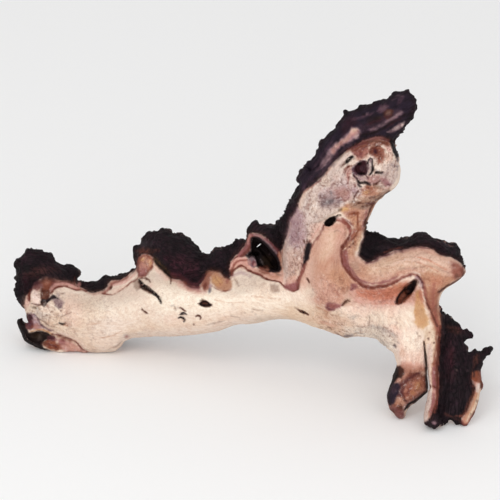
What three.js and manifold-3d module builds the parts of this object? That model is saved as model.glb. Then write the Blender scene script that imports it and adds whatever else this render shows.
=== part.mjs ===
// Aquarium driftwood root: one solid grown as one piece, standing on its left end, its right legs and a rear root.
// Lengths in millimetres, +Z up. The shape is drawn in a picture plane (u to the right, v downwards, in plane units)
// with a depth w behind that plane, then carried to millimetres. Each layer is a closed outline, inflated to a round
// section about its own centre line, and the layers grow together into one skin.
import * as THREE from "three";
import Module from "manifold-3d";

// ---- driving dimensions ----
const UNIT_MM = 0.805; // one plane unit in millimetres: sets the size of the whole root
const TILT_DEG = 25; // angle between the picture plane's normal and the horizontal
const EYE_MM = 2000; // distance over which depths spread the outline
const GRID_UNITS = 4; // spacing of the sampling lattice, in plane units
const FIELD_UNITS = 2; // spacing of the section fields
const BLEND_UNITS = 3; // width of the fillet where two layers meet
const TOLERANCE_MM = 0.8; // how far the faces may stray from the sampled skin
const GROUND_TRIM_MM = 0; // height at which the worn feet are flat

// ---- outline of the whole root, in the picture plane ----
const OUTLINE = [
  [13.5, 265.5], [16, 258.5], [21.5, 256.5], [27.5, 247.5], [33.5, 249], [37.5, 248], [44.5, 252], [49.5, 252],
  [55.5, 257.5], [56.5, 261.5], [59.5, 262], [64.5, 265], [67.5, 264], [70.5, 264], [77.5, 268], [79.5, 273.5],
  [78.5, 276.5], [77.5, 277.5], [77.5, 279], [78.5, 281], [82, 282.5], [83.5, 283.5], [97, 280.5], [103.5, 275.5],
  [116.5, 277], [126, 273.5], [129.5, 269.5], [130.5, 268.5], [132, 267.5], [131.5, 266], [133.5, 267], [134.5, 265.5],
  [134, 248.5], [135, 245.5], [138.5, 244], [141, 241.5], [141.5, 237.5], [143.5, 236], [148.5, 233], [152.5, 232.5],
  [154.5, 231], [158.5, 231.5], [162.5, 230], [167.5, 229.5], [173.5, 234.5], [176.5, 233.5], [181.5, 234], [190.5, 240],
  [191.5, 241.5], [194.5, 243], [202.5, 254], [207.5, 256.5], [209.5, 255.5], [211, 252.5], [213.5, 250], [218.5, 248.5],
  [222.5, 246], [225, 245.5], [234.5, 241], [235.5, 239], [237.5, 239.5], [238.5, 241], [241.5, 240], [244.5, 240.5],
  [245.5, 239.5], [247, 226.5], [251.5, 221.5], [256.5, 221], [269.5, 226], [274.5, 225.5], [277.5, 220.5], [280.5, 219],
  [286, 210.5], [286, 207.5], [287.5, 204.5], [291.5, 199], [293, 192.5], [299.5, 184], [299.5, 182.5], [296.5, 179.5],
  [296, 177.5], [303.5, 167.5], [304, 162.5], [305.5, 160.5], [308.5, 159.5], [311.5, 156.5], [318, 147.5], [318, 143.5],
  [320, 140.5], [321.5, 139], [324.5, 138.5], [333.5, 127.5], [336, 123.5], [339.5, 120.5], [344.5, 110.5], [345.5, 109.5],
  [350.5, 110.5], [359.5, 106], [370.5, 104.5], [378.5, 100], [388, 96.5], [391.5, 92.5], [398.5, 91.5], [405.5, 88],
  [409.5, 89], [411, 90.5], [411.5, 93], [418, 99.5], [418, 104.5], [412.5, 116.5], [405, 127.5], [402, 134.5],
  [394.5, 143], [397.5, 152.5], [400, 157.5], [399, 162.5], [400.5, 169.5], [399.5, 178.5], [398, 183.5], [395.5, 187],
  [391.5, 191], [384.5, 195.5], [381.5, 199], [379, 199.5], [375.5, 203.5], [366.5, 223.5], [365.5, 231.5], [366.5, 232.5],
  [376.5, 233], [388.5, 237.5], [400.5, 241], [403, 240.5], [408.5, 237.5], [414.5, 232], [420.5, 231.5], [423.5, 233.5],
  [428.5, 234], [430.5, 235.5], [444.5, 239.5], [449.5, 243.5], [454.5, 243.5], [459.5, 249.5], [459.5, 253.5], [461.5, 255.5],
  [466, 272.5], [463.5, 276.5], [457.5, 282], [443.5, 290.5], [441.5, 293.5], [439.5, 301.5], [439.5, 308.5], [440.5, 312],
  [441.5, 313.5], [444.5, 315.5], [449.5, 317], [459.5, 322], [462.5, 327], [468.5, 330], [471, 332.5], [473.5, 336.5],
  [473, 338.5], [468.5, 339.5], [464.5, 342], [466.5, 345.5], [466.5, 350], [469.5, 350.5], [473.5, 349.5], [477.5, 349.5],
  [482.5, 348.5], [485.5, 347], [492.5, 348], [494, 349.5], [486.5, 356.5], [481, 370.5], [481, 375.5], [482, 378.5],
  [481.5, 380.5], [483.5, 383.5], [483, 388.5], [479.5, 391.5], [477.5, 402.5], [474, 414.5], [467.5, 423.5], [467, 426.5],
  [463.5, 427], [459, 424.5], [454.5, 423.5], [449.5, 419.5], [445.5, 425.5], [433.5, 430], [428.5, 426.5], [425.5, 426],
  [424, 424.5], [423.5, 416.5], [427.5, 393.5], [424.5, 394.5], [414.5, 403.5], [409.5, 406.5], [406.5, 411.5], [405, 417.5],
  [403.5, 419], [399.5, 420], [389, 409.5], [387, 401.5], [387, 394.5], [396, 367.5], [397.5, 364.5], [394, 352.5],
  [387.5, 348.5], [385.5, 349], [383.5, 345.5], [375.5, 338], [357.5, 336], [346.5, 338], [295.5, 320], [286.5, 319],
  [278.5, 319], [255.5, 323], [240.5, 324], [232.5, 325.5], [219.5, 331.5], [193.5, 335], [167.5, 336.5], [145.5, 336.5],
  [132.5, 338], [124.5, 341.5], [121.5, 346], [115.5, 351], [92.5, 357], [76.5, 354], [58.5, 355.5], [53.5, 352.5],
  [44.5, 351], [38.5, 349], [27.5, 344], [23.5, 341.5], [17, 326.5], [16, 321.5], [17, 318.5], [22.5, 317.5],
  [26, 314.5], [24.5, 308], [16.5, 300.5], [15, 295.5], [16.5, 272.5],
];

// ---- layers: outline (numbers a to b of OUTLINE, or points), centre line or depth marks [u, v, w], front and back fullness ----
const LAYERS = [
  {
    name: "trunk",
    ring: [
      ["S", 244, 244, 0], ["S", 243, 243, 0], ["S", 242, 242, 0], ["S", 241, 241, 0], ["S", 240, 240, 0],
      [28, 322], [33, 328], [42, 329], [50, 331], [56, 334], [63, 336], [70, 339], [77, 343], [84, 349],
      [95, 352], ["S", 227, 211, 0], [384, 345], [398, 335], [410, 318], [420, 300], [412, 285], [395, 282],
      [372, 280], [352, 272], [338, 262], [318, 258], [300, 258], [285, 262], [270, 262], [250, 262],
      [236, 262], [222, 264], [208, 266], [195, 266], [180, 264], [165, 262], [150, 262], [140, 266],
      [131, 271], [122, 278], [110, 283], [98, 286], [86, 287], [78, 284], [66, 279], [54, 275], [42, 273],
      [28, 270],
    ],
    path: [[20, 310, 156], [60, 314, 155], [90, 318, 153.5], [120, 314, 144], [160, 303, 121], [200, 298, 98], [240, 288, 80], [280, 290, 66], [320, 298, 54], [360, 305, 44], [400, 315, 32], [425, 330, 22]],
    kf: 1,
    kb: 1,
  },
  {
    name: "bark_left",
    ring: [
      ["S", 244, 244, 0], ["S", 0, 21, 0], [86, 292], [80, 300], [62, 304], [45, 304], [30, 302], [18, 297],
    ],
    path: [[25, 270, 152], [55, 276, 151], [85, 288, 148]],
    kf: 0.9,
    kb: 1,
  },
  {
    name: "bark_crest",
    ring: [
      [76, 280], ["S", 18, 31, 0], [136, 280], [128, 290], [112, 298], [98, 302], [84, 302], [74, 295],
    ],
    path: [[78, 290, 154], [105, 288, 148], [134, 276, 137]],
    kf: 1.2,
    kb: 1.6,
  },
  {
    name: "bark_middle",
    ring: [
      ["S", 31, 51, 0], [212, 270], [208, 286], [196, 294], [180, 292], [165, 286], [152, 282], [140, 282],
      [133, 276],
    ],
    path: [[140, 262, 122], [170, 262, 106], [200, 272, 94]],
    kf: 0.9,
    kb: 1.1,
  },
  {
    name: "bark_right",
    ring: [
      ["S", 50, 64, 0], [250, 250], [252, 262], [246, 274], [236, 284], [222, 292], [208, 292], [200, 280],
    ],
    path: [[205, 275, 92], [225, 266, 82], [245, 256, 72]],
    kf: 0.9,
    kb: 1.1,
  },
  {
    name: "loop",
    ring: [
      [228, 276], [232, 264], [240, 254], [246, 246], ["S", 64, 71, 0], [290, 215], [292, 228], [289, 245],
      [287, 262], [288, 280], [280, 288], [264, 284], [248, 276], [238, 272],
    ],
    path: [[236, 272, 78], [250, 266, 70], [262, 245, 58], [264, 226, 48], [285, 222, 42]],
    kf: 0.9,
    kb: 1,
  },
  {
    name: "limb",
    ring: [
      ["S", 71, 82, 0], [310, 172], [322, 165], [335, 158], [350, 155], [372, 165], [388, 185], [380, 199],
      ["S", 124, 126, 0], [366, 245], [366, 270], [358, 292], [330, 300], [300, 296], [288, 286], [284, 268],
      [283, 250], [282, 235], [280, 225],
    ],
    path: [[322, 300, 52], [324, 250, 29], [332, 210, 9], [345, 180, -5], [355, 160, -14]],
    kf: 0.85,
    kb: 0.9,
  },
  {
    name: "knob",
    ring: [
      [330, 180], [336, 164], [345, 152], [356, 145], [368, 140], [380, 137], [390, 140], ["S", 112, 124, 0],
      [368, 208], [350, 206], [336, 196],
    ],
    path: [[362, 205, -2], [366, 172, -16], [372, 140, -30]],
    kf: 1.15,
    kb: 1.2,
  },
  {
    name: "blade",
    ring: [
      ["S", 80, 112, 0], [392, 150], [380, 152], [366, 150], [352, 156], [340, 166], [328, 178], [314, 190],
      [300, 196], [294, 190],
    ],
    path: [[300, 190, 16], [315, 170, 4], [335, 145, -8], [360, 125, -18], [385, 112, -27], [408, 98, -38]],
    kf: 0.6,
    kb: 0.75,
  },
  {
    name: "tongue",
    ring: [
      [296, 288], [302, 272], [308, 252], [313, 241], [319, 233], [322, 223], [330, 213], [342, 210],
      [345, 220], [351, 230], [351, 240], [345, 248], [344, 257], [348, 266], [355, 274], [364, 281],
      [378, 284], [392, 281], [404, 277], [416, 296], [414, 325], [400, 349], [384, 346], [370, 338.5],
      [346, 338], [318, 328], [292, 318], [280, 306], [286, 292],
    ],
    marks: [[333, 212, -4], [332, 240, 8], [328, 262, 18], [335, 285, 30], [292, 312, 62], [312, 328, 58], [298, 292, 50], [352, 312, 38], [370, 335, 44], [395, 318, 30]],
    kf: 1,
    kb: 1,
  },
  {
    name: "arm",
    ring: [
      [342, 236], [343, 222], [347, 210], [354, 202], [366, 200], ["S", 124, 149, 0], [438, 306], [432, 312],
      [424, 300], [416, 290], [406, 288], [394, 294], [378, 299], [360, 295], [347, 284], [338, 268],
      [336, 254], [340, 244],
    ],
    path: [[360, 206, -14], [357, 222, -8], [354, 240, 2], [358, 256, 12], [375, 268, 15], [400, 266, 8], [430, 262, 0], [460, 262, -6]],
    kf: 1,
    kb: 1.1,
  },
  {
    name: "leg",
    ring: [
      [372, 296], [380, 286], [392, 280], [406, 273], [418, 272], [426, 286], [430, 302], [434, 314],
      [439, 327], [439, 342], [435, 354], [429, 364], [428, 380], [427.5, 392], ["S", 195, 208, 0],
      [380, 338], [370, 315],
    ],
    path: [[398, 295, 24], [405, 320, 22], [410, 345, 22], [410, 375, 22], [402, 405, 19]],
    kf: 0.95,
    kb: 1.1,
  },
  {
    name: "fold",
    ring: [
      [408, 268], [428, 264], [446, 278], [445, 290], ["S", 148, 153, 0], [446, 330], [444, 344], [434, 344],
      [428, 325], [423, 305], [414, 288], [408, 278],
    ],
    path: [[422, 272, 3], [432, 300, 9], [438, 335, 14]],
    kf: 1,
    kb: 1.3,
  },
  {
    name: "strip",
    ring: [
      [424, 318], [432, 314], [438, 326], [441, 342], [438, 360], [438, 382], [440, 398], [438, 412],
      ["S", 188, 194, 0], [427.5, 378], [425, 350],
    ],
    path: [[431, 330, 14], [432, 370, 7], [434, 424, -3]],
    kf: 1.3,
    kb: 1.6,
  },
  {
    name: "sheet",
    ring: [
      [428, 330], [432, 316], [438, 312], ["S", 152, 190, 0], [432, 415], [431, 395], [430, 370], [428, 350],
    ],
    path: [[440, 320, 22], [455, 345, 19], [460, 380, 11], [462, 420, 5]],
    kf: 0.42,
    kb: 0.5,
  },
  {
    name: "flake",
    ring: [
      [24, 322], [33, 326], [45, 327], [58, 332], [72, 338], [90, 342], [110, 340], ["S", 225, 239, 0],
    ],
    path: [[25, 332, 155], [60, 345, 157], [95, 348, 154], [120, 343, 148]],
    kf: 1.2,
    kb: 1.3,
  },
];

// ---- rear root that reaches the ground behind the right legs: [u, v, w, radius] ----
const REAR_ROOT = [
  [418, 306, 44, 17], [438, 330, 70, 16], [450, 356, 97, 14], [454, 376, 115, 13],
];

// ---- hollow inside the bark loop: outline, depth range ----
const HOLLOW = [
  [253, 238], [257, 238], [262, 242], [268, 248], [272, 253], [276, 258], [278, 264], [279, 270],
  [275, 271], [270, 269], [264, 268], [258, 266], [256, 258], [252, 252], [252, 245],
];
const HOLLOW_FLOOR = 8; // how deep the hollow's floor lies behind the loop's centre

const D = EYE_MM / UNIT_MM;
const tilt = (TILT_DEG * Math.PI) / 180;
const SIN = Math.sin(tilt),
  COS = Math.cos(tilt);
const CENTRE = 250,
  FOOT_V = 428;

// plane units to plane-unit space coordinates
function place(u, v, w) {
  const k = 1 + w / D,
    a = (u - CENTRE) * k,
    b = (CENTRE - v) * k,
    h = FOOT_V - CENTRE;
  return [a, h * SIN + w * COS + b * SIN, h * COS - w * SIN + b * COS];
}

const range = (a, b) => {
  const out = [];
  if (a <= b) for (let i = a; i <= b; i++) out.push(OUTLINE[i]);
  else for (let i = a; i >= b; i--) out.push(OUTLINE[i]);
  return out;
};
const ring = (parts) => parts.flatMap((p) => (p.length === 4 && p[0] === "S" ? range(p[1], p[2]) : [p]));

const U0 = 4,
  V0 = 78,
  NU = Math.ceil((504 - U0) / FIELD_UNITS) + 1,
  NV = Math.ceil((440 - V0) / FIELD_UNITS) + 1;

function edgeDistance(poly, u, v) {
  let best = 1e9,
    inside = false;
  for (let i = 0, j = poly.length - 1; i < poly.length; j = i++) {
    const [x1, y1] = poly[j],
      [x2, y2] = poly[i];
    const dx = x2 - x1,
      dy = y2 - y1,
      l = dx * dx + dy * dy || 1e-9;
    const t = Math.min(1, Math.max(0, ((u - x1) * dx + (v - y1) * dy) / l));
    const ex = u - x1 - t * dx,
      ey = v - y1 - t * dy,
      d = ex * ex + ey * ey;
    if (d < best) best = d;
    if (y1 > v !== y2 > v && u < ((x2 - x1) * (v - y1)) / (y2 - y1) + x1) inside = !inside;
  }
  return inside ? Math.sqrt(best) : -Math.sqrt(best);
}

function distanceField(poly) {
  const f = new Float32Array(NU * NV);
  for (let j = 0; j < NV; j++)
    for (let i = 0; i < NU; i++) f[j * NU + i] = edgeDistance(poly, U0 + i * FIELD_UNITS, V0 + j * FIELD_UNITS);
  return f;
}

function blur(f, radius, passes) {
  let a = Float32Array.from(f),
    b = new Float32Array(f.length);
  for (let p = 0; p < passes; p++) {
    for (let j = 0; j < NV; j++)
      for (let i = 0; i < NU; i++) {
        let s = 0,
          n = 0;
        for (let k = -radius; k <= radius; k++)
          if (i + k >= 0 && i + k < NU) {
            s += a[j * NU + i + k];
            n++;
          }
        b[j * NU + i] = s / n;
      }
    for (let j = 0; j < NV; j++)
      for (let i = 0; i < NU; i++) {
        let s = 0,
          n = 0;
        for (let k = -radius; k <= radius; k++)
          if (j + k >= 0 && j + k < NV) {
            s += b[(j + k) * NU + i];
            n++;
          }
        a[j * NU + i] = s / n;
      }
  }
  return a;
}

// height of a membrane blown up inside the outline: a round section wherever the outline is a long strip
function membrane(d) {
  const s = new Float32Array(NU * NV),
    g2 = 4 * FIELD_UNITS * FIELD_UNITS;
  for (let it = 0; it < 260; it++)
    for (let j = 1; j < NV - 1; j++)
      for (let i = 1; i < NU - 1; i++) {
        const k = j * NU + i;
        if (d[k] <= 0) continue;
        const r = (s[k - 1] + s[k + 1] + s[k - NU] + s[k + NU] + g2) / 4;
        s[k] += 1.85 * (r - s[k]);
      }
  return s;
}

function centreField({ path, marks }) {
  const c = new Float32Array(NU * NV);
  if (marks) {
    for (let j = 0; j < NV; j++)
      for (let i = 0; i < NU; i++) {
        let s = 0,
          n = 0;
        for (const [x, y, w] of marks) {
          const g = ((U0 + i * FIELD_UNITS - x) ** 2 + (V0 + j * FIELD_UNITS - y) ** 2 + 60) ** -1.5;
          s += g * w;
          n += g;
        }
        c[j * NU + i] = s / n;
      }
    return blur(c, 2, 2);
  }
  for (let j = 0; j < NV; j++)
    for (let i = 0; i < NU; i++) {
      const u = U0 + i * FIELD_UNITS,
        v = V0 + j * FIELD_UNITS;
      let best = 1e12,
        w = 0;
      for (let k = 1; k < path.length; k++) {
        const [x1, y1, w1] = path[k - 1],
          [x2, y2, w2] = path[k];
        const dx = x2 - x1,
          dy = y2 - y1,
          t = Math.min(1, Math.max(0, ((u - x1) * dx + (v - y1) * dy) / (dx * dx + dy * dy)));
        const e = (u - x1 - t * dx) ** 2 + (v - y1 - t * dy) ** 2;
        if (e < best) {
          best = e;
          w = w1 + t * (w2 - w1);
        }
      }
      c[j * NU + i] = w;
    }
  return blur(c, 3, 2);
}

// one layer: q is half the membrane height near the skin, a the local half width
function layerField(layer) {
  const poly = ring(layer.ring),
    d = distanceField(poly),
    s = membrane(d),
    n = NU * NV;
  const mask = d.map((x) => (x > 0 ? 1 : 0)),
    top = blur(s.map((x, k) => (x / 2) * mask[k]), 4, 2),
    base = blur(mask, 4, 2);
  const a = new Float32Array(n),
    q = new Float32Array(n);
  for (let k = 0; k < n; k++) a[k] = Math.max(3, Math.sqrt((1.5 * top[k]) / Math.max(base[k], 0.02)));
  // slope of the membrane at the edge, carried outwards, so that the skin ends exactly on the outline
  const rho = new Float32Array(n),
    has = new Float32Array(n);
  for (let k = 0; k < n; k++)
    if (d[k] > 2.2 && d[k] < 9) {
      rho[k] = s[k] / (2 * d[k]);
      has[k] = 1;
    }
  const rb = blur(rho, 3, 2),
    hb = blur(has, 3, 2);
  for (let k = 0; k < n; k++) {
    const r = hb[k] > 1e-4 ? rb[k] / hb[k] : a[k];
    if (d[k] <= 0) q[k] = -(2 * a[k] * -d[k] + d[k] * d[k]);
    else {
      const t = Math.min(1, Math.max(0, (d[k] - 2) / 3)),
        m = t * t * (3 - 2 * t);
      q[k] = (1 - m) * d[k] * r + (m * s[k]) / 2;
    }
  }
  let box = [1e9, 1e9, -1e9, -1e9];
  for (const [x, y] of poly)
    box = [Math.min(box[0], x), Math.min(box[1], y), Math.max(box[2], x), Math.max(box[3], y)];
  return { ...layer, a, q, c: centreField(layer), box, poly };
}

function sample(f, u, v) {
  const x = Math.min(NU - 1.001, Math.max(0, (u - U0) / FIELD_UNITS)),
    y = Math.min(NV - 1.001, Math.max(0, (v - V0) / FIELD_UNITS));
  const i = Math.floor(x),
    j = Math.floor(y),
    s = x - i,
    t = y - j,
    k = j * NU + i;
  return (1 - t) * ((1 - s) * f[k] + s * f[k + 1]) + t * ((1 - s) * f[k + NU] + s * f[k + NU + 1]);
}

const smin = (x, y, k) => {
  const h = Math.max(0, k - Math.abs(x - y)) / k;
  return Math.min(x, y) - (h * h * k) / 4;
};

function buildGeometry(wasm) {
  const layers = LAYERS.map(layerField);
  const whole = distanceField(OUTLINE);
  const hollowD = distanceField(HOLLOW);
  // mean centre surface, along which the lattice is sheared
  const sum = new Float32Array(NU * NV),
    wt = new Float32Array(NU * NV);
  for (const l of layers)
    for (let k = 0; k < NU * NV; k++) {
      const m = 1 / (1 + Math.exp(-(Math.max(l.q[k], -900) / (l.a[k] + 4)))) ** 2 + 1e-6;
      const g = l.q[k] > 0 ? m : m * Math.exp(Math.max(-60, l.q[k] / 60));
      sum[k] += (g + 1e-9) * l.c[k];
      wt[k] += g + 1e-9;
    }
  const mean = blur(sum.map((x, k) => x / wt[k]), 5, 2);

  const g = GRID_UNITS,
    nu = Math.ceil(492 / g) + 1,
    nv = Math.ceil(352 / g) + 1,
    WA = -60,
    WB = 136,
    nw = Math.ceil((WB - WA) / g) + 1;
  const u0 = 7,
    v0 = 82;
  const F = new Float32Array(nu * nv * nw).fill(50);
  const C0 = new Float32Array(nu * nv);
  for (let j = 0; j < nv; j++) for (let i = 0; i < nu; i++) C0[j * nu + i] = sample(mean, u0 + i * g, v0 + j * g);
  for (const l of layers) {
    const m = 16,
      i0 = Math.max(0, Math.floor((l.box[0] - m - u0) / g)),
      i1 = Math.min(nu - 1, Math.ceil((l.box[2] + m - u0) / g));
    const j0 = Math.max(0, Math.floor((l.box[1] - m - v0) / g)),
      j1 = Math.min(nv - 1, Math.ceil((l.box[3] + m - v0) / g));
    for (let j = j0; j <= j1; j++)
      for (let i = i0; i <= i1; i++) {
        const u = u0 + i * g,
          v = v0 + j * g,
          a = sample(l.a, u, v),
          q = sample(l.q, u, v),
          c = sample(l.c, u, v);
        if (q < -2 * a * 16 - 256) continue;
        for (let k = 0; k < nw; k++) {
          const w = WA + k * g + C0[j * nu + i],
            e = (w - c) / (w < c ? l.kf : l.kb);
          const f = Math.sqrt(Math.max(0, e * e + a * a - q)) - a,
            n = (k * nv + j) * nu + i;
          F[n] = smin(F[n], f, BLEND_UNITS);
        }
      }
  }
  // rear root: a tapering round limb
  for (let s = 1; s < REAR_ROOT.length; s++) {
    const A = REAR_ROOT[s - 1],
      B = REAR_ROOT[s];
    const d = [B[0] - A[0], B[1] - A[1], B[2] - A[2]],
      ll = d[0] ** 2 + d[1] ** 2 + d[2] ** 2;
    for (let j = 0; j < nv; j++)
      for (let i = 0; i < nu; i++) {
        const u = u0 + i * g,
          v = v0 + j * g;
        if (u < 380 || u > 500 || v < 260) continue;
        for (let k = 0; k < nw; k++) {
          const w = WA + k * g + C0[j * nu + i];
          const t = Math.min(
            1,
            Math.max(0, ((u - A[0]) * d[0] + (v - A[1]) * d[1] + (w - A[2]) * d[2]) / ll),
          );
          const f = Math.hypot(u - A[0] - t * d[0], v - A[1] - t * d[1], w - A[2] - t * d[2]) - (A[3] + t * (B[3] - A[3]));
          const n = (k * nv + j) * nu + i;
          F[n] = smin(F[n], f, 8);
        }
      }
  }
  // trim to the outline and open the hollow
  for (let j = 0; j < nv; j++)
    for (let i = 0; i < nu; i++) {
      const u = u0 + i * g,
        v = v0 + j * g,
        d = -sample(whole, u, v),
        hd = sample(hollowD, u, v);
      for (let k = 0; k < nw; k++) {
        const n = (k * nv + j) * nu + i,
          w = WA + k * g + C0[j * nu + i];
        let f = Math.max(F[n], d);
        if (u > 240 && u < 292 && v < 284) f = Math.max(f, Math.min(hd, 58 + HOLLOW_FLOOR - w));
        F[n] = f;
      }
    }
  const at = (i, j, k) => (k * nv + j) * nu + i;
  // fill gaps too narrow for the lattice, so that each cell holds one sheet of skin
  const single = new Uint8Array(256);
  for (let m = 0; m < 256; m++) {
    const parts = (bit) => {
      let left = [];
      for (let c = 0; c < 8; c++) if (((m >> c) & 1) === bit) left.push(c);
      let count = 0;
      while (left.length) {
        count++;
        const stack = [left.pop()];
        while (stack.length) {
          const c = stack.pop();
          for (const b of [1, 2, 4]) {
            const x = left.indexOf(c ^ b);
            if (x >= 0) stack.push(left.splice(x, 1)[0]);
          }
        }
      }
      return count;
    };
    single[m] = parts(0) <= 1 && parts(1) <= 1 ? 1 : 0;
  }
  for (let pass = 0, changed = 1; changed && pass < 30; pass++) {
    changed = 0;
    for (let k = 0; k < nw - 1; k++)
      for (let j = 0; j < nv - 1; j++)
        for (let i = 0; i < nu - 1; i++) {
          let m = 0,
            best = -1,
            low = 1e9;
          for (let c = 0; c < 8; c++) {
            const n = at(i + (c & 1), j + ((c >> 1) & 1), k + (c >> 2));
            if (F[n] < 0) m |= 1 << c;
            else if (F[n] < low) {
              low = F[n];
              best = n;
            }
          }
          if (!single[m]) {
            F[best] = -0.05;
            changed++;
          }
        }
  }
  // skin of the lattice: one point in each crossed cell, one quad across each crossed edge
  const id = new Int32Array(nu * nv * nw).fill(-1),
    pts = [];
  for (let k = 0; k < nw - 1; k++)
    for (let j = 0; j < nv - 1; j++)
      for (let i = 0; i < nu - 1; i++) {
        let neg = 0,
          x = 0,
          y = 0,
          z = 0,
          n = 0;
        const val = [];
        for (let c = 0; c < 8; c++) {
          const f = F[at(i + (c & 1), j + ((c >> 1) & 1), k + (c >> 2))];
          val.push(f);
          if (f < 0) neg++;
        }
        if (neg === 0 || neg === 8) continue;
        for (let a = 0; a < 8; a++)
          for (const b of [1, 2, 4]) {
            if (a & b) continue;
            const p = val[a],
              q = val[a | b];
            if (p < 0 === q < 0) continue;
            const t = p / (p - q);
            x += (a & 1) + (b === 1 ? t : 0);
            y += ((a >> 1) & 1) + (b === 2 ? t : 0);
            z += (a >> 2) + (b === 4 ? t : 0);
            n++;
          }
        id[at(i, j, k)] = pts.length;
        const fi = i + x / n,
          fj = j + y / n,
          fk = k + z / n,
          u = u0 + fi * g,
          v = v0 + fj * g;
        pts.push(place(u, v, WA + fk * g + sample(mean, u, v)).map((q) => q * UNIT_MM));
      }
  const tris = [];
  const quad = (a, b, c, d, flip) => {
    if (Math.min(a, b, c, d) < 0) throw new Error("the skin meets the lattice's edge");
    if (flip) tris.push(a, c, b, a, d, c);
    else tris.push(a, b, c, a, c, d);
  };
  for (let k = 1; k < nw - 1; k++)
    for (let j = 1; j < nv - 1; j++)
      for (let i = 1; i < nu - 1; i++) {
        const f = F[at(i, j, k)] < 0;
        if (f !== F[at(i + 1, j, k)] < 0)
          quad(id[at(i, j - 1, k - 1)], id[at(i, j, k - 1)], id[at(i, j, k)], id[at(i, j - 1, k)], !f);
        if (f !== F[at(i, j + 1, k)] < 0)
          quad(id[at(i - 1, j, k - 1)], id[at(i - 1, j, k)], id[at(i, j, k)], id[at(i, j, k - 1)], !f);
        if (f !== F[at(i, j, k + 1)] < 0)
          quad(id[at(i - 1, j - 1, k)], id[at(i, j - 1, k)], id[at(i, j, k)], id[at(i - 1, j, k)], !f);
      }
  let solid = new wasm.Manifold(
    new wasm.Mesh({ numProp: 3, vertProperties: Float32Array.from(pts.flat()), triVerts: Uint32Array.from(tris) }),
  );
  if (solid.volume() < 0) throw new Error("the skin faces inwards");
  solid = solid.simplify(TOLERANCE_MM);
  const bodies = solid.decompose().sort((a, b) => b.volume() - a.volume());
  solid = bodies[0].trimByPlane([0, 0, 1], GROUND_TRIM_MM);
  solid = solid.decompose().sort((a, b) => b.volume() - a.volume())[0];
  const box = solid.boundingBox(),
    shift = [-(box.min[0] + box.max[0]) / 2, -(box.min[1] + box.max[1]) / 2, -box.min[2]];
  solid = solid.translate(shift);
  const mesh = solid.getMesh();
  const geometry = new THREE.BufferGeometry();
  geometry.setAttribute("position", new THREE.BufferAttribute(new Float32Array(mesh.vertProperties), 3));
  geometry.setIndex(new THREE.BufferAttribute(new Uint32Array(mesh.triVerts), 1));
  geometry.computeVertexNormals();
  geometry.userData.shift = shift;
  return geometry;
}

const wasm = await Module();
wasm.setup();

const wood = new THREE.MeshStandardMaterial({ color: 0xd9bfa4, roughness: 0.8, metalness: 0, flatShading: true });
const root = new THREE.Mesh(buildGeometry(wasm), wood);
root.name = "driftwood_root";

const part = new THREE.Group();
part.name = "aquarium_driftwood_root";
part.add(root);
export default part;
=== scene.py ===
import math
import bpy
import bmesh
import numpy as np
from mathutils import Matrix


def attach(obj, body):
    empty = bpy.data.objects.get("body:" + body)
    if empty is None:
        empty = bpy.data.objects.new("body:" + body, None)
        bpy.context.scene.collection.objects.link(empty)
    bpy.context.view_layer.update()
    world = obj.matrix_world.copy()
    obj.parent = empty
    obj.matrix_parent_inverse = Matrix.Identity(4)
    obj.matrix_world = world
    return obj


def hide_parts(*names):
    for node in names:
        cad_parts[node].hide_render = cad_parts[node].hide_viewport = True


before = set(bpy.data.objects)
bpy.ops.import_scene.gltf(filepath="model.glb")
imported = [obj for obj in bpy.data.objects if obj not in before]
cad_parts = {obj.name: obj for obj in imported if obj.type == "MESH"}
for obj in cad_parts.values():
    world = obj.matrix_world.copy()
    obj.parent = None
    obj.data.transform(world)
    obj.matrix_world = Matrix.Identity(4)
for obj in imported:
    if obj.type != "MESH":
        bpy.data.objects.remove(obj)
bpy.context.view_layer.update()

# ---------------------------------------------------------------------------------------------
# the root's shape: the same outline, layers and depths as the solid
# ---------------------------------------------------------------------------------------------
UNIT_MM = 0.805          # one plane unit in millimetres
SHIFT_MM = (2.8381, -86.3749, 0.0000)  # the row frame's origin
BLEND = 3.0              # fillet between layers, in plane units
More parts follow.
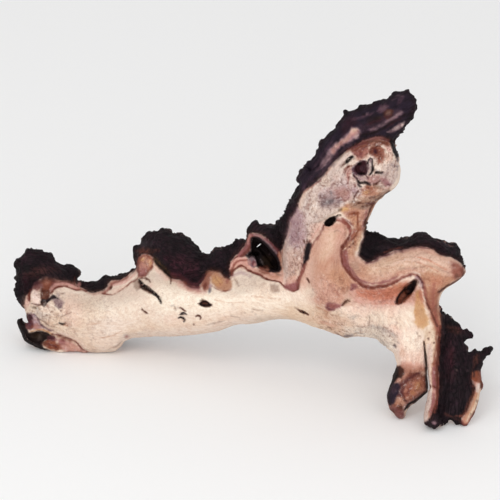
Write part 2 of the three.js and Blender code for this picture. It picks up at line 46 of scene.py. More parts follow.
OUTLINE = [
    (13.5, 265.5), (16, 258.5), (21.5, 256.5), (27.5, 247.5), (33.5, 249), (37.5, 248), (44.5, 252), (49.5, 252),
    (55.5, 257.5), (56.5, 261.5), (59.5, 262), (64.5, 265), (67.5, 264), (70.5, 264), (77.5, 268), (79.5, 273.5),
    (78.5, 276.5), (77.5, 277.5), (77.5, 279), (78.5, 281), (82, 282.5), (83.5, 283.5), (97, 280.5),
    (103.5, 275.5), (116.5, 277), (126, 273.5), (129.5, 269.5), (130.5, 268.5), (132, 267.5), (131.5, 266),
    (133.5, 267), (134.5, 265.5), (134, 248.5), (135, 245.5), (138.5, 244), (141, 241.5), (141.5, 237.5),
    (143.5, 236), (148.5, 233), (152.5, 232.5), (154.5, 231), (158.5, 231.5), (162.5, 230), (167.5, 229.5),
    (173.5, 234.5), (176.5, 233.5), (181.5, 234), (190.5, 240), (191.5, 241.5), (194.5, 243), (202.5, 254),
    (207.5, 256.5), (209.5, 255.5), (211, 252.5), (213.5, 250), (218.5, 248.5), (222.5, 246), (225, 245.5),
    (234.5, 241), (235.5, 239), (237.5, 239.5), (238.5, 241), (241.5, 240), (244.5, 240.5), (245.5, 239.5),
    (247, 226.5), (251.5, 221.5), (256.5, 221), (269.5, 226), (274.5, 225.5), (277.5, 220.5), (280.5, 219),
    (286, 210.5), (286, 207.5), (287.5, 204.5), (291.5, 199), (293, 192.5), (299.5, 184), (299.5, 182.5),
    (296.5, 179.5), (296, 177.5), (303.5, 167.5), (304, 162.5), (305.5, 160.5), (308.5, 159.5), (311.5, 156.5),
    (318, 147.5), (318, 143.5), (320, 140.5), (321.5, 139), (324.5, 138.5), (333.5, 127.5), (336, 123.5),
    (339.5, 120.5), (344.5, 110.5), (345.5, 109.5), (350.5, 110.5), (359.5, 106), (370.5, 104.5), (378.5, 100),
    (388, 96.5), (391.5, 92.5), (398.5, 91.5), (405.5, 88), (409.5, 89), (411, 90.5), (411.5, 93), (418, 99.5),
    (418, 104.5), (412.5, 116.5), (405, 127.5), (402, 134.5), (394.5, 143), (397.5, 152.5), (400, 157.5),
    (399, 162.5), (400.5, 169.5), (399.5, 178.5), (398, 183.5), (395.5, 187), (391.5, 191), (384.5, 195.5),
    (381.5, 199), (379, 199.5), (375.5, 203.5), (366.5, 223.5), (365.5, 231.5), (366.5, 232.5), (376.5, 233),
    (388.5, 237.5), (400.5, 241), (403, 240.5), (408.5, 237.5), (414.5, 232), (420.5, 231.5), (423.5, 233.5),
    (428.5, 234), (430.5, 235.5), (444.5, 239.5), (449.5, 243.5), (454.5, 243.5), (459.5, 249.5), (459.5, 253.5),
    (461.5, 255.5), (466, 272.5), (463.5, 276.5), (457.5, 282), (443.5, 290.5), (441.5, 293.5), (439.5, 301.5),
    (439.5, 308.5), (440.5, 312), (441.5, 313.5), (444.5, 315.5), (449.5, 317), (459.5, 322), (462.5, 327),
    (468.5, 330), (471, 332.5), (473.5, 336.5), (473, 338.5), (468.5, 339.5), (464.5, 342), (466.5, 345.5),
    (466.5, 350), (469.5, 350.5), (473.5, 349.5), (477.5, 349.5), (482.5, 348.5), (485.5, 347), (492.5, 348),
    (494, 349.5), (486.5, 356.5), (481, 370.5), (481, 375.5), (482, 378.5), (481.5, 380.5), (483.5, 383.5),
    (483, 388.5), (479.5, 391.5), (477.5, 402.5), (474, 414.5), (467.5, 423.5), (467, 426.5), (463.5, 427),
    (459, 424.5), (454.5, 423.5), (449.5, 419.5), (445.5, 425.5), (433.5, 430), (428.5, 426.5), (425.5, 426),
    (424, 424.5), (423.5, 416.5), (427.5, 393.5), (424.5, 394.5), (414.5, 403.5), (409.5, 406.5), (406.5, 411.5),
    (405, 417.5), (403.5, 419), (399.5, 420), (389, 409.5), (387, 401.5), (387, 394.5), (396, 367.5),
    (397.5, 364.5), (394, 352.5), (387.5, 348.5), (385.5, 349), (383.5, 345.5), (375.5, 338), (357.5, 336),
    (346.5, 338), (295.5, 320), (286.5, 319), (278.5, 319), (255.5, 323), (240.5, 324), (232.5, 325.5),
    (219.5, 331.5), (193.5, 335), (167.5, 336.5), (145.5, 336.5), (132.5, 338), (124.5, 341.5), (121.5, 346),
    (115.5, 351), (92.5, 357), (76.5, 354), (58.5, 355.5), (53.5, 352.5), (44.5, 351), (38.5, 349), (27.5, 344),
    (23.5, 341.5), (17, 326.5), (16, 321.5), (17, 318.5), (22.5, 317.5), (26, 314.5), (24.5, 308), (16.5, 300.5),
    (15, 295.5), (16.5, 272.5),
]
LAYERS = [
    {"name": "trunk", "kf": 1, "kb": 1,
     "path": [(20, 310, 156), (60, 314, 155), (90, 318, 153.5), (120, 314, 144), (160, 303, 121), (200, 298, 98), (240, 288, 80), (280, 290, 66), (320, 298, 54), (360, 305, 44), (400, 315, 32), (425, 330, 22)],
     "ring": [
              ("S", 244, 244, 0), ("S", 243, 243, 0), ("S", 242, 242, 0), ("S", 241, 241, 0), ("S", 240, 240, 0),
              (28, 322), (33, 328), (42, 329), (50, 331), (56, 334), (63, 336), (70, 339), (77, 343), (84, 349),
              (95, 352), ("S", 227, 211, 0), (384, 345), (398, 335), (410, 318), (420, 300), (412, 285),
              (395, 282), (372, 280), (352, 272), (338, 262), (318, 258), (300, 258), (285, 262), (270, 262),
              (250, 262), (236, 262), (222, 264), (208, 266), (195, 266), (180, 264), (165, 262), (150, 262),
              (140, 266), (131, 271), (122, 278), (110, 283), (98, 286), (86, 287), (78, 284), (66, 279),
              (54, 275), (42, 273), (28, 270),
     ]},
    {"name": "bark_left", "kf": 0.9, "kb": 1,
     "path": [(25, 270, 152), (55, 276, 151), (85, 288, 148)],
     "ring": [
              ("S", 244, 244, 0), ("S", 0, 21, 0), (86, 292), (80, 300), (62, 304), (45, 304), (30, 302),
              (18, 297),
     ]},
    {"name": "bark_crest", "kf": 1.2, "kb": 1.6,
     "path": [(78, 290, 154), (105, 288, 148), (134, 276, 137)],
     "ring": [
              (76, 280), ("S", 18, 31, 0), (136, 280), (128, 290), (112, 298), (98, 302), (84, 302), (74, 295),
     ]},
    {"name": "bark_middle", "kf": 0.9, "kb": 1.1,
     "path": [(140, 262, 122), (170, 262, 106), (200, 272, 94)],
     "ring": [
              ("S", 31, 51, 0), (212, 270), (208, 286), (196, 294), (180, 292), (165, 286), (152, 282),
              (140, 282), (133, 276),
     ]},
    {"name": "bark_right", "kf": 0.9, "kb": 1.1,
     "path": [(205, 275, 92), (225, 266, 82), (245, 256, 72)],
     "ring": [
              ("S", 50, 64, 0), (250, 250), (252, 262), (246, 274), (236, 284), (222, 292), (208, 292),
              (200, 280),
     ]},
    {"name": "loop", "kf": 0.9, "kb": 1,
     "path": [(236, 272, 78), (250, 266, 70), (262, 245, 58), (264, 226, 48), (285, 222, 42)],
     "ring": [
              (228, 276), (232, 264), (240, 254), (246, 246), ("S", 64, 71, 0), (290, 215), (292, 228),
              (289, 245), (287, 262), (288, 280), (280, 288), (264, 284), (248, 276), (238, 272),
     ]},
    {"name": "limb", "kf": 0.85, "kb": 0.9,
     "path": [(322, 300, 52), (324, 250, 29), (332, 210, 9), (345, 180, -5), (355, 160, -14)],
     "ring": [
              ("S", 71, 82, 0), (310, 172), (322, 165), (335, 158), (350, 155), (372, 165), (388, 185),
              (380, 199), ("S", 124, 126, 0), (366, 245), (366, 270), (358, 292), (330, 300), (300, 296),
              (288, 286), (284, 268), (283, 250), (282, 235), (280, 225),
     ]},
    {"name": "knob", "kf": 1.15, "kb": 1.2,
     "path": [(362, 205, -2), (366, 172, -16), (372, 140, -30)],
     "ring": [
              (330, 180), (336, 164), (345, 152), (356, 145), (368, 140), (380, 137), (390, 140),
              ("S", 112, 124, 0), (368, 208), (350, 206), (336, 196),
     ]},
    {"name": "blade", "kf": 0.6, "kb": 0.75,
     "path": [(300, 190, 16), (315, 170, 4), (335, 145, -8), (360, 125, -18), (385, 112, -27), (408, 98, -38)],
     "ring": [
              ("S", 80, 112, 0), (392, 150), (380, 152), (366, 150), (352, 156), (340, 166), (328, 178),
              (314, 190), (300, 196), (294, 190),
     ]},
    {"name": "tongue", "kf": 1, "kb": 1,
     "marks": [(333, 212, -4), (332, 240, 8), (328, 262, 18), (335, 285, 30), (292, 312, 62), (312, 328, 58), (298, 292, 50), (352, 312, 38), (370, 335, 44), (395, 318, 30)],
     "ring": [
              (296, 288), (302, 272), (308, 252), (313, 241), (319, 233), (322, 223), (330, 213), (342, 210),
              (345, 220), (351, 230), (351, 240), (345, 248), (344, 257), (348, 266), (355, 274), (364, 281),
              (378, 284), (392, 281), (404, 277), (416, 296), (414, 325), (400, 349), (384, 346), (370, 338.5),
              (346, 338), (318, 328), (292, 318), (280, 306), (286, 292),
     ]},
    {"name": "arm", "kf": 1, "kb": 1.1,
     "path": [(360, 206, -14), (357, 222, -8), (354, 240, 2), (358, 256, 12), (375, 268, 15), (400, 266, 8), (430, 262, 0), (460, 262, -6)],
     "ring": [
              (342, 236), (343, 222), (347, 210), (354, 202), (366, 200), ("S", 124, 149, 0), (438, 306),
              (432, 312), (424, 300), (416, 290), (406, 288), (394, 294), (378, 299), (360, 295), (347, 284),
              (338, 268), (336, 254), (340, 244),
     ]},
    {"name": "leg", "kf": 0.95, "kb": 1.1,
     "path": [(398, 295, 24), (405, 320, 22), (410, 345, 22), (410, 375, 22), (402, 405, 19)],
     "ring": [
              (372, 296), (380, 286), (392, 280), (406, 273), (418, 272), (426, 286), (430, 302), (434, 314),
              (439, 327), (439, 342), (435, 354), (429, 364), (428, 380), (427.5, 392), ("S", 195, 208, 0),
              (380, 338), (370, 315),
     ]},
    {"name": "fold", "kf": 1, "kb": 1.3,
     "path": [(422, 272, 3), (432, 300, 9), (438, 335, 14)],
     "ring": [
              (408, 268), (428, 264), (446, 278), (445, 290), ("S", 148, 153, 0), (446, 330), (444, 344),
              (434, 344), (428, 325), (423, 305), (414, 288), (408, 278),
     ]},
    {"name": "strip", "kf": 1.3, "kb": 1.6,
     "path": [(431, 330, 14), (432, 370, 7), (434, 424, -3)],
     "ring": [
              (424, 318), (432, 314), (438, 326), (441, 342), (438, 360), (438, 382), (440, 398), (438, 412),
              ("S", 188, 194, 0), (427.5, 378), (425, 350),
     ]},
    {"name": "sheet", "kf": 0.42, "kb": 0.5,
     "path": [(440, 320, 22), (455, 345, 19), (460, 380, 11), (462, 420, 5)],
     "ring": [
              (428, 330), (432, 316), (438, 312), ("S", 152, 190, 0), (432, 415), (431, 395), (430, 370),
              (428, 350),
     ]},
    {"name": "flake", "kf": 1.2, "kb": 1.3,
     "path": [(25, 332, 155), (60, 345, 157), (95, 348, 154), (120, 343, 148)],
     "ring": [
              (24, 322), (33, 326), (45, 327), (58, 332), (72, 338), (90, 342), (110, 340), ("S", 225, 239, 0),
     ]},
]
REAR_ROOT = [(418, 306, 44, 17), (438, 330, 70, 16), (450, 356, 97, 14), (454, 376, 115, 13)]
HOLLOW = [
    (253, 238), (257, 238), (262, 242), (268, 248), (272, 253), (276, 258), (278, 264), (279, 270), (275, 271),
    (270, 269), (264, 268), (258, 266), (256, 258), (252, 252), (252, 245),
]
HOLLOW_DEPTH = 66.0



# ---------------------------------------------------------------------------------------------
# section fields: the same layers as the solid, on a finer lattice
# ---------------------------------------------------------------------------------------------
TILT = math.radians(25.0)
SIN, COS = math.sin(TILT), math.cos(TILT)
EYE = 2000.0 / UNIT_MM
CENTRE, FOOT_V = 250.0, 428.0
FU = 2.0                                   # spacing of the section fields
U0, V0 = 4.0, 78.0
NU, NV = int(math.ceil((504 - U0) / FU)) + 1, int(math.ceil((440 - V0) / FU)) + 1


def place(u, v, w):
    """Plane coordinates and depth to metres in the row frame."""
    k = 1.0 + w / EYE
    a, b, h = (u - CENTRE) * k, (CENTRE - v) * k, FOOT_V - CENTRE
    p = np.stack([a, h * SIN + w * COS + b * SIN, h * COS - w * SIN + b * COS], axis=-1)
    return (p * UNIT_MM + np.array(SHIFT_MM)) * 0.001


def ring(parts):
    out = []
    for p in parts:
        if len(p) == 4:
            a, b = p[1], p[2]
            out += [OUTLINE[i] for i in (range(a, b + 1) if a <= b else range(a, b - 1, -1))]
        else:
            out.append((p[0], p[1]))
    return np.array(out, dtype=np.float64)


def signed_distance(poly, U, V):
    """Distance to a closed outline, positive inside."""
    best = np.full(U.shape, 1e12)
    inside = np.zeros(U.shape, bool)
    n = len(poly)
    for i in range(n):
        x1, y1 = poly[i - 1]
        x2, y2 = poly[i]
        dx, dy = x2 - x1, y2 - y1
        t = np.clip(((U - x1) * dx + (V - y1) * dy) / (dx * dx + dy * dy + 1e-9), 0, 1)
        best = np.minimum(best, (U - x1 - t * dx) ** 2 + (V - y1 - t * dy) ** 2)
        if y1 != y2:
            inside ^= ((y1 > V) != (y2 > V)) & (U < (x2 - x1) * (V - y1) / (y2 - y1) + x1)
    d = np.sqrt(best)
    return np.where(inside, d, -d)


def blur(f, radius, passes):
    """Box blur over a window that shrinks at the border."""
    a = f.astype(np.float64)
    for _ in range(passes):
        for axis in (1, 0):
            n = a.shape[axis]
            c = np.concatenate([np.zeros_like(np.take(a, [0], axis)), np.cumsum(a, axis)], axis)
            hi = np.minimum(np.arange(n) + radius + 1, n)
            lo = np.maximum(np.arange(n) - radius, 0)
            cnt = (hi - lo).reshape((-1, 1) if axis == 0 else (1, -1))
            a = (np.take(c, hi, axis) - np.take(c, lo, axis)) / cnt
    return a


GU, GV = np.meshgrid(U0 + FU * np.arange(NU), V0 + FU * np.arange(NV))


def membrane(d):
    s = np.zeros_like(d)
    inside = d > 0
    ii, jj = np.nonzero(inside)
    a0, a1, b0, b1 = max(ii.min() - 1, 0), ii.max() + 2, max(jj.min() - 1, 0), jj.max() + 2
    m = inside[a0:a1, b0:b1]
    t = np.zeros(m.shape)
    par = (np.add.outer(np.arange(m.shape[0]), np.arange(m.shape[1])) % 2).astype(bool)
    red, black = (m & par)[1:-1, 1:-1], (m & ~par)[1:-1, 1:-1]
    g2 = 4 * FU * FU
    om = 1.85
    for _ in range(260):
        for sel in (red, black):
            r = (t[1:-1, :-2] + t[1:-1, 2:] + t[:-2, 1:-1] + t[2:, 1:-1] + g2) / 4
            t[1:-1, 1:-1] += np.where(sel, om * (r - t[1:-1, 1:-1]), 0.0)
    s[a0:a1, b0:b1] = t
    return s


def centre_field(layer):
    if "marks" in layer:
        s = np.zeros(GU.shape)
        n = np.zeros(GU.shape)
        for x, y, w in layer["marks"]:
            g = ((GU - x) ** 2 + (GV - y) ** 2 + 60) ** -1.5
            s += g * w
            n += g
        return blur(s / n, 2, 2)
    best = np.full(GU.shape, 1e12)
    c = np.zeros(GU.shape)
    path = layer["path"]
    for k in range(1, len(path)):
        (x1, y1, w1), (x2, y2, w2) = path[k - 1], path[k]
        dx, dy = x2 - x1, y2 - y1
        t = np.clip(((GU - x1) * dx + (GV - y1) * dy) / (dx * dx + dy * dy), 0, 1)
        e = (GU - x1 - t * dx) ** 2 + (GV - y1 - t * dy) ** 2
        sel = e < best
        best = np.where(sel, e, best)
        c = np.where(sel, w1 + t * (w2 - w1), c)
    return blur(c, 3, 2)


def layer_field(layer):
    poly = ring(layer["ring"])
    d = signed_distance(poly, GU, GV)
    s = membrane(d)
    mask = (d > 0).astype(float)
    top, base = blur(s / 2 * mask, 4, 2), blur(mask, 4, 2)
    a = np.maximum(3, np.sqrt(1.5 * top / np.maximum(base, 0.02)))
    near = (d > 2.2) & (d < 9)
    rho = np.where(near, s / (2 * np.where(near, d, 1)), 0.0)
    rb, hb = blur(rho, 3, 2), blur(near.astype(float), 3, 2)
    r = np.where(hb > 1e-4, rb / np.maximum(hb, 1e-9), a)
    t = np.clip((d - 2) / 3, 0, 1)
    m = t * t * (3 - 2 * t)
    q = np.where(d <= 0, -(2 * a * -d + d * d), (1 - m) * d * r + m * s / 2)
    return dict(layer, a=a, q=q, c=centre_field(layer), poly=poly,
                box=(poly[:, 0].min(), poly[:, 1].min(), poly[:, 0].max(), poly[:, 1].max()))


def sample(f, u, v):
    x = np.clip((u - U0) / FU, 0, NU - 1.001)
    y = np.clip((v - V0) / FU, 0, NV - 1.001)
    i, j = np.floor(x).astype(int), np.floor(y).astype(int)
    s, t = x - i, y - j
    return ((1 - t) * ((1 - s) * f[j, i] + s * f[j, i + 1]) + t * ((1 - s) * f[j + 1, i] + s * f[j + 1, i + 1]))


def smin(x, y, k):
    h = np.maximum(0, k - np.abs(x - y)) / k
    return np.minimum(x, y) - h * h * (k / 4)


def smoothstep(lo, hi, x):
    t = np.clip((x - lo) / (hi - lo), 0, 1)
    return t * t * (3 - 2 * t)


def mean_surface(layers):
    tot = np.zeros(GU.shape)
    wt = np.zeros(GU.shape)
    for l in layers:
        q, a = l["q"], l["a"]
        m = 1 / (1 + np.exp(-np.clip(q, -900, None) / (a + 4))) ** 2 + 1e-6
        g = np.where(q > 0, m, m * np.exp(np.maximum(-60, q / 60)))
        tot += (g + 1e-9) * l["c"]
        wt += g + 1e-9
    return blur(tot / wt, 5, 2)


def build_lattice(step):
    layers = [layer_field(l) for l in LAYERS]
    mean = mean_surface(layers)
    g = step
    nu, nv = int(math.ceil(492 / g)) + 1, int(math.ceil(352 / g)) + 1
    wa, wb = -60.0, 136.0
    nw = int(math.ceil((wb - wa) / g)) + 1
    u0, v0 = 7.0, 82.0
    F = np.full((nw, nv, nu), 50.0, np.float32)
    lu, lv = u0 + g * np.arange(nu), v0 + g * np.arange(nv)
    LU, LV = np.meshgrid(lu, lv)
    C0 = sample(mean, LU, LV).astype(np.float32)
    W = (wa + g * np.arange(nw)).astype(np.float32)
    for l in layers:
        m = 16
        i0, i1 = max(0, int((l["box"][0] - m - u0) / g)), min(nu, int((l["box"][2] + m - u0) / g) + 2)
        j0, j1 = max(0, int((l["box"][1] - m - v0) / g)), min(nv, int((l["box"][3] + m - v0) / g) + 2)
        sl = (slice(j0, j1), slice(i0, i1))
        a = sample(l["a"], LU[sl], LV[sl]).astype(np.float32)
        q = sample(l["q"], LU[sl], LV[sl]).astype(np.float32)
        c = sample(l["c"], LU[sl], LV[sl]).astype(np.float32) - C0[sl]
        # depth range that can hold this layer
        top = np.sqrt(np.maximum(q, 0)) * max(l["kf"], l["kb"]) + 14
        k0 = max(0, int((float((c - top).min()) - wa) / g))
        k1 = min(nw, int((float((c + top).max()) - wa) / g) + 2)
        e = W[k0:k1, None, None] - c[None]
        e = np.where(e < 0, e / np.float32(l["kf"]), e / np.float32(l["kb"]))
        f = np.sqrt(np.maximum(e * e + (a * a - q)[None], 0)) - a[None]
        F[k0:k1, j0:j1, i0:i1] = smin(F[k0:k1, j0:j1, i0:i1], f, np.float32(BLEND))
    i0, j0 = int((380 - u0) / g), int((260 - v0) / g)
    sl = (slice(j0, nv), slice(i0, nu))
    wabs = W[:, None, None] + C0[sl][None]
    for A, B in zip(REAR_ROOT[:-1], REAR_ROOT[1:]):
        d = np.subtract(B[:3], A[:3])
        t = ((LU[sl] - A[0]) * d[0] + (LV[sl] - A[1]) * d[1])[None] + (wabs - A[2]) * d[2]
        t = np.clip(t / float(d @ d), 0, 1).astype(np.float32)
        f = np.sqrt((LU[sl][None] - A[0] - t * d[0]) ** 2 + (LV[sl][None] - A[1] - t * d[1]) ** 2
                    + (wabs - A[2] - t * d[2]) ** 2).astype(np.float32) - (A[3] + t * (B[3] - A[3]))
        F[:, j0:nv, i0:nu] = smin(F[:, j0:nv, i0:nu], f.astype(np.float32), np.float32(8))
    whole = sample(signed_distance(np.array(OUTLINE), GU, GV), LU, LV)
    return dict(F=F, C0=C0, LU=LU, LV=LV, W=W, mean=mean, g=g, wa=wa, u0=u0, v0=v0, layers=layers, whole=whole)


SINGLE = np.zeros(256, bool)
for _m in range(256):
    _ok = True
    for _bit in (0, 1):
        _left = [c for c in range(8) if ((_m >> c) & 1) == _bit]
        _n = 0
        while _left:
            _n += 1
            _st = [_left.pop()]
            while _st:
                _c = _st.pop()
                for _b in (1, 2, 4):
                    if (_c ^ _b) in _left:
                        _left.remove(_c ^ _b)
                        _st.append(_c ^ _b)
        if _n > 1:
            _ok = False
    SINGLE[_m] = _ok


def close_pinches(F):
    """Fills gaps too narrow for the lattice, so that each cell holds one sheet of skin."""
    corner = [(c >> 2, (c >> 1) & 1, c & 1) for c in range(8)]
    nw, nv, nu = F.shape
    for _ in range(30):
        neg = (F < 0)
        m = np.zeros((nw - 1, nv - 1, nu - 1), np.uint8)
        for c, (k, j, i) in enumerate(corner):
            m |= neg[k:nw - 1 + k, j:nv - 1 + j, i:nu - 1 + i].astype(np.uint8) << c
        bad = np.argwhere(~SINGLE[m])
        if not len(bad):
            return
        vals = np.stack([F[bad[:, 0] + k, bad[:, 1] + j, bad[:, 2] + i] for k, j, i in corner], 1)
        vals = np.where(vals < 0, 1e9, vals)
        best = vals.argmin(1)
        off = np.array(corner)[best]
        p = bad + off
        F[p[:, 0], p[:, 1], p[:, 2]] = -0.03


def surface_nets(F):
    """Vertices in lattice units (i, j, k as u, v, w) and quads, facing outwards."""
    nw, nv, nu = F.shape
    neg = F < 0
    s = np.zeros((nw - 1, nv - 1, nu - 1), np.uint8)
    for k in (0, 1):
        for j in (0, 1):
            for i in (0, 1):
                s += neg[k:nw - 1 + k, j:nv - 1 + j, i:nu - 1 + i]
    cells = np.argwhere((s > 0) & (s < 8))
    idx = np.full((nw - 1, nv - 1, nu - 1), -1, np.int32)
    idx[cells[:, 0], cells[:, 1], cells[:, 2]] = np.arange(len(cells))
    val = np.stack([F[cells[:, 0] + (c >> 2), cells[:, 1] + ((c >> 1) & 1), cells[:, 2] + (c & 1)] for c in range(8)], 1)
    P = np.zeros((len(cells), 3))
    n = np.zeros(len(cells))
    for a in range(8):
        for b in (1, 2, 4):
            if a & b:
                continue
            p, q = val[:, a], val[:, a | b]
            x = (p < 0) != (q < 0)
            t = np.where(x, p / np.where(x, p - q, 1), 0)
            P[:, 0] += np.where(x, (a & 1) + (t if b == 1 else 0), 0)
            P[:, 1] += np.where(x, ((a >> 1) & 1) + (t if b == 2 else 0), 0)
            P[:, 2] += np.where(x, (a >> 2) + (t if b == 4 else 0), 0)
            n += x
    P = P / n[:, None] + cells[:, ::-1]
    quads = []
    # crossing along u
    x = np.argwhere(neg[1:-1, 1:-1, :-1] != neg[1:-1, 1:-1, 1:])
    k, j, i = x[:, 0] + 1, x[:, 1] + 1, x[:, 2]
    q = np.stack([idx[k - 1, j - 1, i], idx[k - 1, j, i], idx[k, j, i], idx[k, j - 1, i]], 1)
    quads.append(np.where(neg[k, j, i][:, None], q, q[:, ::-1]))
    x = np.argwhere(neg[1:-1, :-1, 1:-1] != neg[1:-1, 1:, 1:-1])
    k, j, i = x[:, 0] + 1, x[:, 1], x[:, 2] + 1
    q = np.stack([idx[k - 1, j, i - 1], idx[k, j, i - 1], idx[k, j, i], idx[k - 1, j, i]], 1)
    quads.append(np.where(neg[k, j, i][:, None], q, q[:, ::-1]))
    x = np.argwhere(neg[:-1, 1:-1, 1:-1] != neg[1:, 1:-1, 1:-1])
    k, j, i = x[:, 0], x[:, 1] + 1, x[:, 2] + 1
    q = np.stack([idx[k, j - 1, i - 1], idx[k, j - 1, i], idx[k, j, i], idx[k, j, i - 1]], 1)
    quads.append(np.where(neg[k, j, i][:, None], q, q[:, ::-1]))
    quads = np.concatenate(quads)
    assert quads.min() >= 0
    return P, quads


# ---------------------------------------------------------------------------------------------
# the markings, placed in the outline's plane: kind, colour, strength, softness of the edge, relief (plane units,
# outwards) and place
# ---------------------------------------------------------------------------------------------
PALETTE = {
    "wood": (241, 224, 208), "milk": (252, 241, 224), "cream": (246, 232, 214), "ivory": (234, 217, 204),
    "sand": (224, 199, 174), "blush": (240, 208, 192), "rose": (219, 174, 158), "clay": (206, 161, 142),
    "terracotta": (199, 128, 104), "rust": (142, 84, 68), "umber": (84, 48, 38), "brick": (150, 90, 80),
    "redbrown": (112, 58, 48), "mauve": (148, 94, 94), "lilacgrey": (148, 116, 124), "plum": (64, 30, 38),
    "bark": (31, 22, 26), "black": (21, 11, 12), "ochre": (202, 150, 108), "olive": (58, 43, 26),
    "ash": (204, 192, 182), "greybrown": (146, 121, 108), "steel": (120, 112, 116), "pink": (226, 176, 166),
    "tan": (190, 142, 116), "lavender": (176, 146, 152), "fleece": (214, 196, 188), "honey": (214, 170, 120),
    "night": (38, 29, 43), "dusk": (92, 66, 78), "dustpink": (186, 136, 128), "peach": (196, 142, 120), "wine": (104, 54, 60),
    "sienna": (128, 70, 50), "smoke": (128, 102, 108), "shell": (244, 222, 212), "russet": (112, 62, 56),
}

# bark: closed areas, worked round to outside the outline
BARK = [
    [(2, 312), (24, 309), (24.5, 303), (25.5, 297), (28.5, 293), (31, 289), (33, 285), (35, 282), (38, 279), (42, 277),
     (47, 276), (50, 277), (54, 279), (60, 280), (66, 280.5), (71, 281), (75, 283), (78, 285), (82, 288.4),
     (86, 290.5), (90, 292.5), (95, 293), (99, 292), (103, 291), (106, 288), (108, 285), (111, 281), (114, 280),
     (120, 280), (125, 277.5), (130, 274), (134, 271), (137, 268), (137, 262), (138.5, 257), (141, 254.5),
     (146, 254), (150, 255), (153, 258), (155, 262), (157, 263), (160, 268), (163, 271), (167, 275), (169, 277),
     (172, 279), (176, 279.5), (180, 280), (184, 281), (187, 285), (190, 287.5), (195, 288.5), (199, 288),
     (201, 285), (203, 281), (205, 277), (207, 272), (210, 270), (215, 270), (219, 271), (221, 272), (224, 276),
     (227, 278), (229, 278), (231, 275), (229, 268), (231, 261), (234, 256), (239, 252.5), (243, 249), (246, 244),
     (247, 239), (249, 234.5), (253, 232.5), (258, 233), (263, 236), (268, 240), (273, 245), (278, 250),
     (281, 254), (281.5, 250), (284, 245), (286, 237), (288, 230), (290, 222), (293, 215), (298, 210),
     (299, 205), (300, 200), (302, 195), (304, 190), (307, 187), (312, 184), (317, 181), (322, 176), (327, 170),
     (332, 163), (338, 157), (344, 152), (350, 149), (356, 146), (362, 143), (368, 140), (374, 138), (380, 137),
     (388, 139), (392, 142), (400, 144), (425, 142), (425, 80), (2, 80)],
    [(357, 254), (359, 256), (363, 260), (368, 262), (373, 261), (378, 257), (385, 254), (393, 251), (400, 250),
     (408, 249), (415, 247), (420, 246.5), (427, 247), (432, 250), (438, 254), (443, 256), (450, 257), (456, 260),
     (461, 263), (463, 267), (470, 270), (475, 225), (364, 222), (364, 233), (361, 243)],
    [(440, 308), (440, 320), (440.5, 330), (440, 340), (438.5, 350), (438, 360), (438, 370), (438.5, 380),
     (439.5, 388), (439, 396), (436.5, 404), (433, 412), (430.5, 417), (427, 421), (423, 424), (423, 436),
     (466, 436), (463, 424), (461, 418), (465, 414), (470, 407), (473, 398), (475, 388), (472.5, 380), (474, 371),
     (479, 364), (500, 360), (500, 300)],
]

GROWTH = [
    [(6, 318), (40, 312), (80, 318), (120, 318), (160, 305), (200, 304), (240, 300), (280, 304), (320, 316),
     (350, 324)],
    [(300, 300), (296, 276), (302, 250), (306, 225), (316, 205), (330, 190), (350, 176)],
    [(296, 205), (312, 178), (330, 150), (352, 128), (380, 116), (412, 96)],
    [(366, 210), (364, 190), (372, 165), (376, 140)],
    [(334, 214), (334, 236), (327, 260), (322, 284), (330, 306), (350, 318)],
    [(368, 204), (358, 224), (352, 244), (352, 264), (364, 278)],
    [(364, 272), (382, 274), (402, 264), (430, 262), (462, 268)],
    [(372, 290), (400, 288), (414, 278), (424, 290), (432, 316), (438, 336), (434, 372), (428, 424)],
    [(392, 302), (408, 326), (412, 350), (410, 376), (398, 412)],
    [(446, 312), (454, 345), (458, 382), (456, 424)],
    [(232, 274), (240, 258), (252, 242), (262, 230), (276, 220)],
    [(12, 262), (44, 260), (80, 286), (118, 276), (150, 244), (190, 262), (222, 262)],
    [(366, 246), (400, 248), (424, 240), (456, 256)],
]

